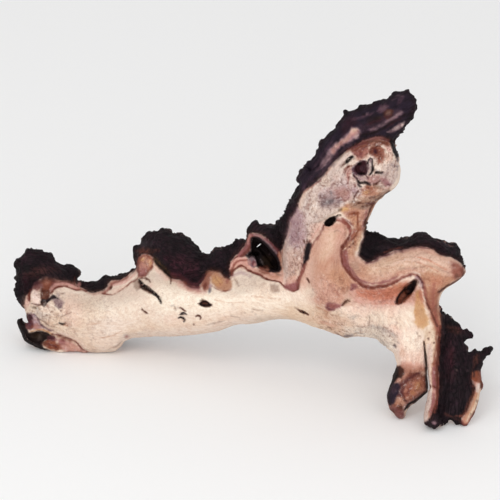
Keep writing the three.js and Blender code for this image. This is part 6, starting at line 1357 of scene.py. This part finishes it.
# floor: what lies below the feet goes
k_all = 1.0 + (W[:, None, None] + L["C0"][None]) / EYE
height = (FOOT_V - CENTRE) * COS - (W[:, None, None] + L["C0"][None]) * SIN + (CENTRE - L["LV"])[None] * k_all * COS
F = np.maximum(F, -height.astype(np.float32))
del k_all, height


def front_depth(F):
    """Depth of the first skin met in each lattice column; NaN where there is none."""
    neg = F < 0
    hit = neg.any(0)
    k = np.argmax(neg, 0)
    k = np.maximum(k, 1)
    a = np.take_along_axis(F, (k - 1)[None], 0)[0]
    b = np.take_along_axis(F, k[None], 0)[0]
    t = np.where(a > b, a / np.maximum(a - b, 1e-6), 0)
    return np.where(hit, W[0] + g * (k - 1 + t), np.nan)


depth = front_depth(F)
LU1, LV1 = L["LU"].ravel(), L["LV"].ravel()
flat = np.where(np.isnan(depth), 1e3, depth)
mid = np.median(np.stack([np.roll(np.roll(flat, a, 0), b, 1) for a in (-2, 0, 2) for b in (-2, 0, 2)]), 0)
for kind, data, deep in PITS:
    sel, d = covering(kind, data, LU1, LV1, 3.0)
    keep = d > -2.5
    sel, d = sel[keep], d[keep]
    j, i = np.unravel_index(sel, L["LU"].shape)
    top = mid[j, i]
    width = max(float(d.max()), 0.8)
    sink = (W[:, None] - top[None]) / deep
    cut = d[None] - width * np.clip(sink, 0, 1) ** 1.5 * 1.05
    cut = np.where(sink > 1, -1.0, cut)
    F[:, j, i] = np.maximum(F[:, j, i], cut.astype(np.float32))
close_pinches(F)
depth = front_depth(F)
P, quads = surface_nets(F)
nw, nv, nu = F.shape
# loose crumbs go: only the largest joined piece stays
label = np.arange(len(P))
edges = np.concatenate([quads[:, [0, 1]], quads[:, [1, 2]], quads[:, [2, 3]], quads[:, [3, 0]]])
while True:
    low = np.minimum(label[edges[:, 0]], label[edges[:, 1]])
    new = label.copy()
    np.minimum.at(new, edges[:, 0], low)
    np.minimum.at(new, edges[:, 1], low)
    new = new[new]
    if (new == label).all():
        break
    label = new
main = np.bincount(label).argmax()
keep = label == main
quads = quads[keep[quads].all(1)]
number = np.cumsum(keep) - 1
P, quads = P[keep], number[quads]
edges = np.concatenate([quads[:, [0, 1]], quads[:, [1, 2]], quads[:, [2, 3]], quads[:, [3, 0]]])


def relax(X, amount):
    """One even smoothing pass over the skin."""
    n = np.bincount(edges.ravel(), minlength=len(X))[:, None]
    s = np.stack([np.bincount(edges[:, 0], X[edges[:, 1], k], len(X)) + np.bincount(edges[:, 1], X[edges[:, 0], k], len(X))
                  for k in range(3)], 1)
    return X + amount * (s / n - X)


def plane_points(P):
    u, v = L["u0"] + P[:, 0] * g, L["v0"] + P[:, 1] * g
    return np.stack([u, v, L["wa"] + P[:, 2] * g + sample(L["mean"], u, v)], 1)


def normals(X):
    """Outward normals at the corners, from the quads."""
    n = np.cross(X[quads[:, 2]] - X[quads[:, 0]], X[quads[:, 3]] - X[quads[:, 1]])
    s = np.zeros_like(X)
    for c in range(4):
        for k in range(3):
            s[:, k] += np.bincount(quads[:, c], n[:, k], len(X))
    return s / np.maximum(np.linalg.norm(s, axis=1, keepdims=True), 1e-12)


X = plane_points(P)
for _ in range(2):
    X = relax(X, 0.5)
    X = relax(X, -0.42)
N = normals(X)
# the quads must face outwards: towards lower depth on the front
if np.mean(N[:, 2] * (X[:, 2] - X[:, 2].mean())) < 0:
    quads = quads[:, ::-1]
    N = -N

# how far behind the first skin a point lies
fill = np.where(np.isnan(depth), -1e3, depth)
wide = fill.copy()
for a in (-1, 0, 1):
    for b in (-1, 0, 1):
        wide = np.maximum(wide, np.roll(np.roll(fill, a, 0), b, 1))
wide = np.where(wide < -500, 200.0, wide)


def behind(X):
    w = X[:, 2] - sample(L["mean"], X[:, 0], X[:, 1])
    x = np.clip((X[:, 0] - L["u0"]) / g, 0, nu - 1.001)
    y = np.clip((X[:, 1] - L["v0"]) / g, 0, nv - 1.001)
    i, j = np.round(x).astype(int), np.round(y).astype(int)
    return w - wide[j, i]


def bark_cover(X, N, back):
    """Where the dark bark lies: given areas in front, by facing on the far side."""
    ju, jv, je = jitter(X)
    u, v = X[:, 0] + ju, X[:, 1] + jv
    d = np.full(len(X), -1e3)
    for area in BARK:
        d = np.maximum(d, signed_distance(np.array(area, dtype=np.float64), u, v))
    front = smoothstep(-0.8, 0.8, d + 0.5 * je)
    up = -N[:, 1]
    far = 0.55 * N[:, 2] + 0.66 * up + 0.8 * fbm(X, 36.0, 3, 41) - 0.24
    far = far + 0.8 * smoothstep(-2.0, 2.0, d) * (1 - smoothstep(0.35, 0.8, N[:, 2]))
    rear = smoothstep(-0.05, 0.12, far)
    return front * (1 - back) + rear * back, d, far


# ---------------------------------------------------------------------------------------------
# relief
# ---------------------------------------------------------------------------------------------
def facing(X, N, lo, hi):
    """How far a point belongs to the far or covered side, 0 to 1."""
    return np.maximum(smoothstep(lo, hi, N[:, 2]), smoothstep(3.2, 8.0, behind(X)))


back = facing(X, N, 0.02, 0.5)
cover, bark_in, far = bark_cover(X, N, back)
ju, jv, je = jitter(X)
gs, gt = growth(X[:, 0], X[:, 1])
GR = np.stack([gs, gt, X[:, 2]], 1)
rise = np.zeros(len(X))
for kind, colour, strength, soft, relief, data in MARKS:
    if relief == 0:
        continue
    soft = max(soft, 1.4)
    sel, d = covering(kind, data, X[:, 0] + 0.5 * ju, X[:, 1] + 0.5 * jv, soft + 2)
    m = smoothstep(-soft / 2, soft / 2, d) * (1 - back[sel])
    rise[sel] += relief * m
# bark: plates and furrows along the growth, with knots and a crumbled edge
ridge = 1 - np.abs(fbm(GR, (26, 6.5, 9), 3, 51)) * 2.0
lumps = fbm(X, 13.0, 2, 61)
knots = fbm(X, 5.6, 2, 67)
flakes = fbm(GR, (9, 4.0, 4.5), 2, 71)
side = 1 - np.abs(N[:, 2])
bark_rise = 1.1 * ridge + 1.2 * lumps + 1.05 * knots + 0.5 * flakes - 0.8 + 1.15 * side * fbm(X, 4.3, 2, 73)
wood_rise = (0.34 * fbm(GR, (30, 5.5, 8), 2, 81) + 0.34 * fbm(X, 16.0, 2, 91) + 0.16 * fbm(X, 6.0, 2, 95)
             + 0.3 * mottling(X) * fbm(X, 4.4, 2, 97))
far_bumps = 1.9 * fbm(X, 24.0, 2, 101) + 1.9 * (1 - 2.4 * np.abs(fbm(GR, (34, 9.0, 11), 2, 103)))
rise += cover * (bark_rise + back * far_bumps) + (1 - cover) * wood_rise
X = X + N * rise[:, None]
X = relax(X, 0.08)


# ---------------------------------------------------------------------------------------------
# colour at a point of the skin
# ---------------------------------------------------------------------------------------------
def tone(name):
    return np.array(PALETTE[name], dtype=np.float64) / 255.0


def skin(Y, NY):
    """Colour, bark and mottling at each point, from the marks in front and the facing behind."""
    n = len(Y)
    back = facing(Y, NY, 0.1, 0.55)
    cover, bark_in, far = bark_cover(Y, NY, back)
    ju, jv, je = jitter(Y)
    u, v = Y[:, 0] + ju * 0.8, Y[:, 1] + jv * 0.8
    mott = fbm(Y, 9.0, 3, 131)
    fleck = fbm(Y, 3.4, 2, 137)
    cloud = fbm(Y, 30.0, 2, 141)
    colour = np.tile(tone("wood"), (n, 1))
    colour += (tone("sand") - colour) * (0.35 * smoothstep(0.1, 0.9, cloud))[:, None]
    colour += (tone("blush") - colour) * (0.3 * smoothstep(0.1, 0.9, -cloud))[:, None]
    dark = cover * (1 - back)
    rim = np.exp(-((bark_in + 1.1) / 1.4) ** 2) * (1 - back)
    inner = np.exp(-((bark_in - 1.5) / 1.6) ** 2) * (1 - back)
    shade = tone("bark") * (1 + 0.3 * mott)[:, None] + np.array([.03, .004, .014]) * np.clip(cloud, 0, 1)[:, None]
    colour += (tone("brick") - colour) * (rim * np.clip(0.42 + 0.3 * mott, 0, 1))[:, None]
    colour += (shade - colour) * dark[:, None]
    colour += (tone("umber") - colour) * (inner * 0.4)[:, None]
    woody = np.zeros(n)
    for kind, name, strength, soft, relief, data in MARKS:
        sel, d = covering(kind, data, u, v, soft + 2)
        soft = max(soft, 1.0)
        m = smoothstep(-soft / 2, soft / 2, d + (je[sel] * 0.14 + fleck[sel] * 0.16) * min(soft, 7.0))
        m = m * strength * np.clip(1 + 0.2 * mott[sel] + 0.12 * fleck[sel], 0, 1.15)
        m = np.clip(m, 0, 1)
        colour[sel] += (tone(name) - colour[sel]) * m[:, None]
        if name not in ("bark", "black", "plum", "umber", "olive", "redbrown"):
            woody[sel] = np.maximum(woody[sel], m)
    bark_front = dark * (1 - 0.85 * woody)
    # the far side: bark with worn wood low down, and a red rim between them
    rear = tone("ivory") * (1 + 0.05 * mott)[:, None]
    rear = rear + (tone("sand") - rear) * (0.55 * smoothstep(-0.3, 0.8, cloud))[:, None]
    rear = rear + (tone("greybrown") - rear) * (0.35 * smoothstep(0.1, 0.9, mott))[:, None]
    rear = rear + (tone("brick") - rear) * (0.9 * smoothstep(-0.34, -0.06, far))[:, None]
    rb = tone("bark") * (1.15 + 0.45 * mott)[:, None] + np.array([.06, .02, .02]) * np.clip(cloud, 0, 1)[:, None]
    gs_, gt_ = growth(Y[:, 0], Y[:, 1])
    worn = 1 - 2.4 * np.abs(fbm(np.stack([gs_, gt_, Y[:, 2]], 1), (34, 9.0, 11), 2, 103))
    rb = rb + (np.array([.36, .29, .26]) - rb) * (0.5 * smoothstep(0.45, 1.0, worn + 0.5 * fleck))[:, None]
    rear = rear + (rb - rear) * smoothstep(-0.05, 0.1, far)[:, None]
    patch = smoothstep(0.62, 0.95, fbm(Y, 42.0, 2, 151)) * smoothstep(0.1, 0.3, far)
    rear = rear + (tone("rust") * 0.8 - rear) * (0.7 * patch)[:, None]
    colour += (rear - colour) * back[:, None]
    bark_all = bark_front * (1 - back) + cover * back * (1 - 0.4 * patch)
    mot = (mottling(Y) * (1 - back) + 0.6 * back) * smoothstep(0.14, 0.42, colour.mean(1))
    return np.clip(colour, 0.004, 1), np.clip(bark_all, 0, 1), mot, back


# ---------------------------------------------------------------------------------------------
# mesh: full detail where the colour or the shape needs it, fewer faces elsewhere
# ---------------------------------------------------------------------------------------------
N = normals(X)
tint, barky, mot, rear_side = skin(X, N)
step_c = np.abs(tint[edges[:, 0]] - tint[edges[:, 1]]).max(1)
busy = np.zeros(len(X))
np.maximum.at(busy, edges[:, 0], step_c)
np.maximum.at(busy, edges[:, 1], step_c)
busy = smoothstep(0.012, 0.07, busy) * (1 - smoothstep(-0.1, 0.25, N[:, 2])) * (1 - rear_side)
weight = np.clip(1.0 - 0.93 * busy - 0.4 * (1 - smoothstep(-0.5, 0.0, N[:, 2])) * (1 - busy), 0.05, 1)
weight = np.clip(np.ceil(weight * 12) / 12, 0.08, 1)

mm = X.copy()
mm = place(mm[:, 0], mm[:, 1], mm[:, 2]) * 1000.0
mm[:, 2] = np.maximum(mm[:, 2], 0.0)
mesh = bpy.data.meshes.new("driftwood_raw")
mesh.vertices.add(len(mm))
mesh.vertices.foreach_set("co", mm.astype(np.float32).ravel())
mesh.loops.add(4 * len(quads))
mesh.loops.foreach_set("vertex_index", quads.astype(np.int32).ravel())
mesh.polygons.add(len(quads))
mesh.polygons.foreach_set("loop_start", np.arange(0, 4 * len(quads), 4, dtype=np.int32))
mesh.update(calc_edges=True)
raw = bpy.data.objects.new("driftwood_raw", mesh)
bpy.context.scene.collection.objects.link(raw)
group = raw.vertex_groups.new(name="thin")
for wt in np.unique(weight):
    group.add([int(i) for i in np.nonzero(weight == wt)[0]], float(wt), "ADD")
raw.modifiers.new("tri", "TRIANGULATE")
thin = raw.modifiers.new("thin", "DECIMATE")
thin.ratio = min(1.0, BUDGET / (2.0 * len(quads)))
thin.vertex_group = "thin"
thin.vertex_group_factor = 0.05
bpy.context.view_layer.update()
done = bpy.data.meshes.new_from_object(raw.evaluated_get(bpy.context.evaluated_depsgraph_get()))
bpy.data.objects.remove(raw)
bpy.data.meshes.remove(mesh)
done.name = "driftwood"
print("skin", len(P), "corners,", 2 * len(quads), "triangles, thinned to", len(done.polygons), "busy", float(busy.mean()))


# ---------------------------------------------------------------------------------------------
# colour at every corner of the thinned skin
# ---------------------------------------------------------------------------------------------
n_done = len(done.vertices)
co = np.empty(n_done * 3, np.float32)
done.vertices.foreach_get("co", co)
co = co.reshape(-1, 3).astype(np.float64) * 0.001
done.vertices.foreach_set("co", co.astype(np.float32).ravel())


def unplace(p):
    q = p * 1000.0 / UNIT_MM - np.array(SHIFT_MM) / UNIT_MM
    h = FOOT_V - CENTRE
    b = q[:, 1] * SIN + q[:, 2] * COS - h
    w = q[:, 1] * COS - q[:, 2] * SIN
    k = 1.0 + w / EYE
    return np.stack([CENTRE + q[:, 0] / k, CENTRE - b / k, w], 1)


Y = unplace(co)
nr = np.empty(n_done * 3, np.float32)
done.vertices.foreach_get("normal", nr)
nr = nr.reshape(-1, 3)
NY = np.stack([nr[:, 0], -(nr[:, 1] * SIN + nr[:, 2] * COS), nr[:, 1] * COS - nr[:, 2] * SIN], 1)
colour, bark_all, mot, rear_side = skin(Y, NY)
linear = np.where(colour <= 0.04045, colour / 12.92, ((colour + 0.055) / 1.055) ** 2.4)

paint = done.attributes.new("paint", "FLOAT_COLOR", "POINT")
paint.data.foreach_set("color", np.concatenate([linear, np.ones((n_done, 1))], 1).astype(np.float32).ravel())
cov = done.attributes.new("cover", "FLOAT", "POINT")
cov.data.foreach_set("value", np.clip(bark_all, 0, 1).astype(np.float32))
stain = done.attributes.new("stain", "FLOAT", "POINT")
stain.data.foreach_set("value", np.clip(mot, 0, 1).astype(np.float32))
gs, gt = growth(Y[:, 0], Y[:, 1])
grain = done.attributes.new("grain", "FLOAT_VECTOR", "POINT")
grain.data.foreach_set("vector", (np.stack([gs * 0.1, gt, Y[:, 2]], 1) * 0.1).astype(np.float32).ravel())
done.polygons.foreach_set("use_smooth", np.ones(len(done.polygons), dtype=bool))
done.update()

# ---------------------------------------------------------------------------------------------
# material: pale sanded wood and dark bark
# ---------------------------------------------------------------------------------------------
mat = bpy.data.materials.new("driftwood")
mat.use_nodes = True
nt = mat.node_tree
nt.nodes.clear()


def node(kind, **values):
    n = nt.nodes.new(kind)
    for key, val in values.items():
        if key.startswith("in_"):
            n.inputs[key[3:].replace("_", " ")].default_value = val
        else:
            setattr(n, key, val)
    return n


def link(a, b):
    nt.links.new(a, b)


def maths(op, a, b=None, clamp=False):
    n = nt.nodes.new("ShaderNodeMath")
    n.operation = op
    n.use_clamp = clamp
    for i, x in enumerate((a, b)):
        if x is None:
            continue
        if isinstance(x, (int, float)):
            n.inputs[i].default_value = x
        else:
            link(x, n.inputs[i])
    return n.outputs[0]


def ramp(fac, lo, hi, a=0.0, b=1.0):
    n = nt.nodes.new("ShaderNodeMapRange")
    n.interpolation_type = "SMOOTHSTEP"
    n.inputs["From Min"].default_value = lo
    n.inputs["From Max"].default_value = hi
    n.inputs["To Min"].default_value = a
    n.inputs["To Max"].default_value = b
    link(fac, n.inputs["Value"])
    return n.outputs["Result"]


def mix(fac, a, b, blend="MIX"):
    n = nt.nodes.new("ShaderNodeMix")
    n.data_type = "RGBA"
    n.blend_type = blend
    for x, s in ((fac, n.inputs[0]), (a, n.inputs[6]), (b, n.inputs[7])):
        if isinstance(x, (int, float)):
            s.default_value = x
        elif isinstance(x, tuple):
            s.default_value = x
        else:
            link(x, s)
    return n.outputs[2]


def noise(vec, scale, detail=4.0, rough=0.55, distortion=0.0):
    n = node("ShaderNodeTexNoise", noise_dimensions="3D")
    n.inputs["Scale"].default_value = scale
    n.inputs["Detail"].default_value = detail
    n.inputs["Roughness"].default_value = rough
    n.inputs["Distortion"].default_value = distortion
    link(vec, n.inputs["Vector"])
    return n.outputs["Fac"]


paint_in = node("ShaderNodeAttribute", attribute_name="paint").outputs["Color"]
cover_in = node("ShaderNodeAttribute", attribute_name="cover").outputs["Fac"]
grain_in = node("ShaderNodeAttribute", attribute_name="grain").outputs["Vector"]
space = node("ShaderNodeTexCoord").outputs["Object"]

# wood: fibres along the growth, fine pores, soft clouds of colour, and stained, veined parts
stain_in = node("ShaderNodeAttribute", attribute_name="stain").outputs["Fac"]
fibre = noise(grain_in, 5.0, 6.0, 0.62, 0.25)
fine = noise(grain_in, 16.0, 4.0, 0.6, 0.1)
pores = noise(space, 900.0, 3.0, 0.6)
clouds = noise(space, 75.0, 5.0, 0.6, 0.4)
speck = noise(space, 330.0, 5.0, 0.7, 0.6)
blotch = noise(space, 170.0, 5.0, 0.65, 0.9)
vein = noise(space, 120.0, 3.0, 0.5, 1.2)
vein_line = ramp(maths("ABSOLUTE", maths("SUBTRACT", vein, 0.5)), 0.0, 0.022, 1.0, 0.0)
w1 = mix(ramp(fibre, 0.34, 0.66, 0.0, 0.36), paint_in, (0.70, 0.50, 0.38, 1), "MULTIPLY")
w2 = mix(ramp(fine, 0.5, 0.72, 0.0, 0.24), w1, (0.60, 0.44, 0.36, 1), "MULTIPLY")
w3 = mix(ramp(clouds, 0.52, 0.74, 0.0, 0.3), w2, (0.80, 0.62, 0.56, 1), "MULTIPLY")
w4 = mix(ramp(speck, 0.54, 0.72, 0.0, 0.42), w3, (0.60, 0.46, 0.42, 1), "MULTIPLY")
w5 = mix(maths("MULTIPLY", ramp(blotch, 0.5, 0.68, 0.0, 0.95), stain_in), w4, (0.48, 0.34, 0.33, 1), "MULTIPLY")
w6 = mix(maths("MULTIPLY", ramp(speck, 0.46, 0.28, 0.0, 0.5), stain_in), w5, (0.95, 0.88, 0.84, 1), "MIX")
w7 = mix(maths("MULTIPLY", maths("MULTIPLY", vein_line, ramp(clouds, 0.46, 0.56)), maths("MULTIPLY", stain_in, 0.5)), w6,
         (0.16, 0.09, 0.085, 1), "MIX")
w8 = mix(ramp(pores, 0.30, 0.42, 0.3, 0.0), w7, (0.55, 0.42, 0.34, 1), "MULTIPLY")
grit = noise(space, 620.0, 3.0, 0.65, 0.3)
wood_col = mix(maths("MULTIPLY", ramp(grit, 0.48, 0.64), maths("ADD", maths("MULTIPLY", stain_in, 0.6), 0.06)), w8,
               (0.52, 0.40, 0.37, 1), "MULTIPLY")

# bark: plates, cracks and worn ridges
plates = node("ShaderNodeTexVoronoi", feature="DISTANCE_TO_EDGE")
plates.inputs["Scale"].default_value = 4.5
wob = node("ShaderNodeVectorMath", operation="ADD")
wn = node("ShaderNodeTexNoise")
wn.inputs["Scale"].default_value = 7.0
wn.inputs["Detail"].default_value = 3.0
link(grain_in, wn.inputs["Vector"])
ws = node("ShaderNodeVectorMath", operation="SCALE")
ws.inputs["Scale"].default_value = 0.3
link(wn.outputs["Color"], ws.inputs[0])
link(grain_in, wob.inputs[0])
link(ws.outputs[0], wob.inputs[1])
link(wob.outputs[0], plates.inputs["Vector"])
crack = plates.outputs["Distance"]
crust = noise(space, 240.0, 7.0, 0.68, 0.7)
scale_ = noise(space, 90.0, 5.0, 0.6, 0.5)
b1 = mix(ramp(crust, 0.42, 0.7, 0.0, 0.8), paint_in, (2.0, 1.7, 1.9, 1), "MULTIPLY")
b2 = mix(ramp(scale_, 0.48, 0.7, 0.0, 0.42), b1, (0.024, 0.008, 0.010, 1), "MIX")
# near-black along the plate edges: the bark's own dark with painted shade in its crevices
bark_col = mix(ramp(crack, 0.0, 0.1, 0.75, 0.0), b2, (0.003, 0.002, 0.003, 1), "MIX")
colour_out = mix(cover_in, wood_col, bark_col)

bsdf = node("ShaderNodeBsdfPrincipled")
link(colour_out, bsdf.inputs["Base Color"])
wood_rough = ramp(fine, 0.3, 0.7, 0.56, 0.74)
bark_rough = ramp(crust, 0.3, 0.7, 0.5, 0.86)
rough = node("ShaderNodeMix", data_type="FLOAT")
link(cover_in, rough.inputs[0])
link(wood_rough, rough.inputs[2])
link(bark_rough, rough.inputs[3])
link(rough.outputs[0], bsdf.inputs["Roughness"])
bsdf.inputs["Specular IOR Level"].default_value = 0.12
bsdf.inputs["Subsurface Weight"].default_value = 0.0

wood_h = maths("ADD", maths("MULTIPLY", fibre, 0.6), maths("ADD", maths("MULTIPLY", fine, 0.3), maths("MULTIPLY", speck, 0.45)))
wood_h = maths("SUBTRACT", wood_h, maths("MULTIPLY", maths("MULTIPLY", ramp(blotch, 0.5, 0.66), stain_in), 0.5))
bark_h = maths("ADD", maths("MULTIPLY", crust, 1.5), maths("ADD", maths("MULTIPLY", ramp(crack, 0.0, 0.16), 0.8), scale_))
height_mix = node("ShaderNodeMix", data_type="FLOAT")
link(cover_in, height_mix.inputs[0])
link(wood_h, height_mix.inputs[2])
link(bark_h, height_mix.inputs[3])
bump = node("ShaderNodeBump")
bump.inputs["Strength"].default_value = 0.8
bump.inputs["Distance"].default_value = 0.0011
link(height_mix.outputs[0], bump.inputs["Height"])
link(bump.outputs["Normal"], bsdf.inputs["Normal"])
out = node("ShaderNodeOutputMaterial")
link(bsdf.outputs["BSDF"], out.inputs["Surface"])

done.materials.clear()
done.materials.append(mat)
root = bpy.data.objects.new("driftwood", done)
bpy.context.scene.collection.objects.link(root)
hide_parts("driftwood_root")
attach(root, "root")

# ---------------------------------------------------------------------------------------------
# floor, light and camera
# ---------------------------------------------------------------------------------------------
floor_mesh = bpy.data.meshes.new("studio_floor")
floor_mesh.from_pydata([(-14, -14, 0), (14, -14, 0), (14, 14, 0), (-14, 14, 0)], [], [(0, 1, 2, 3)])
floor = bpy.data.objects.new("studio_floor", floor_mesh)
bpy.context.scene.collection.objects.link(floor)
fm = bpy.data.materials.new("studio_floor")
fm.use_nodes = True
fb = fm.node_tree.nodes["Principled BSDF"]
fb.inputs["Base Color"].default_value = (0.97, 0.97, 0.97, 1)
fb.inputs["Roughness"].default_value = 0.9
fb.inputs["Specular IOR Level"].default_value = 0.1
floor_mesh.materials.append(fm)
floor.location.z = -0.0004

world = bpy.data.worlds.new("studio")
world.use_nodes = True
bg = world.node_tree.nodes["Background"]
bg.inputs["Color"].default_value = (1.0, 1.0, 1.0, 1)
bg.inputs["Strength"].default_value = 0.79
bpy.context.scene.world = world


def area_light(name, location, target, size, power, colour=(1, 1, 1)):
    data = bpy.data.lights.new(name, "AREA")
    data.shape = "DISK"
    data.size = size
    data.energy = power
    data.color = colour
    ob = bpy.data.objects.new(name, data)
    ob.location = location
    d = np.array(target, dtype=float) - np.array(location, dtype=float)
    d /= np.linalg.norm(d)
    ob.rotation_euler = (math.acos(-d[2]), 0.0, math.atan2(-d[0], d[1]) if abs(d[0]) + abs(d[1]) > 1e-9 else 0.0)
    bpy.context.scene.collection.objects.link(ob)
    return ob


area_light("key", (-0.55, -1.15, 1.75), (0.0, 0.0, 0.1), 0.9, 5.6, (1.0, 0.985, 0.96))
area_light("fill", (1.1, -1.5, 0.9), (0.05, 0.0, 0.1), 1.2, 1.6)
area_light("low", (-0.1, -1.7, 0.22), (0.0, 0.0, 0.08), 1.0, 10.0)

view = "Standard"
bpy.context.scene.view_settings.view_transform = view
bpy.context.scene.view_settings.look = "None"

camera_data = bpy.data.cameras.new("camera")
camera_data.sensor_width = 36.0
camera_data.sensor_fit = "HORIZONTAL"
camera_data.lens = 36.0 * 2000.0 / (500.0 * UNIT_MM)
camera_data.clip_end = 50.0
camera = bpy.data.objects.new("camera", camera_data)
aim = place(np.array([CENTRE]), np.array([CENTRE]), np.array([0.0]))[0]
camera.location = (aim[0], aim[1] - 2.0 * COS, aim[2] + 2.0 * SIN)
camera.rotation_euler = (math.radians(65.0), 0.0, 0.0)
bpy.context.scene.collection.objects.link(camera)
bpy.context.scene.camera = camera

bpy.context.view_layer.update()
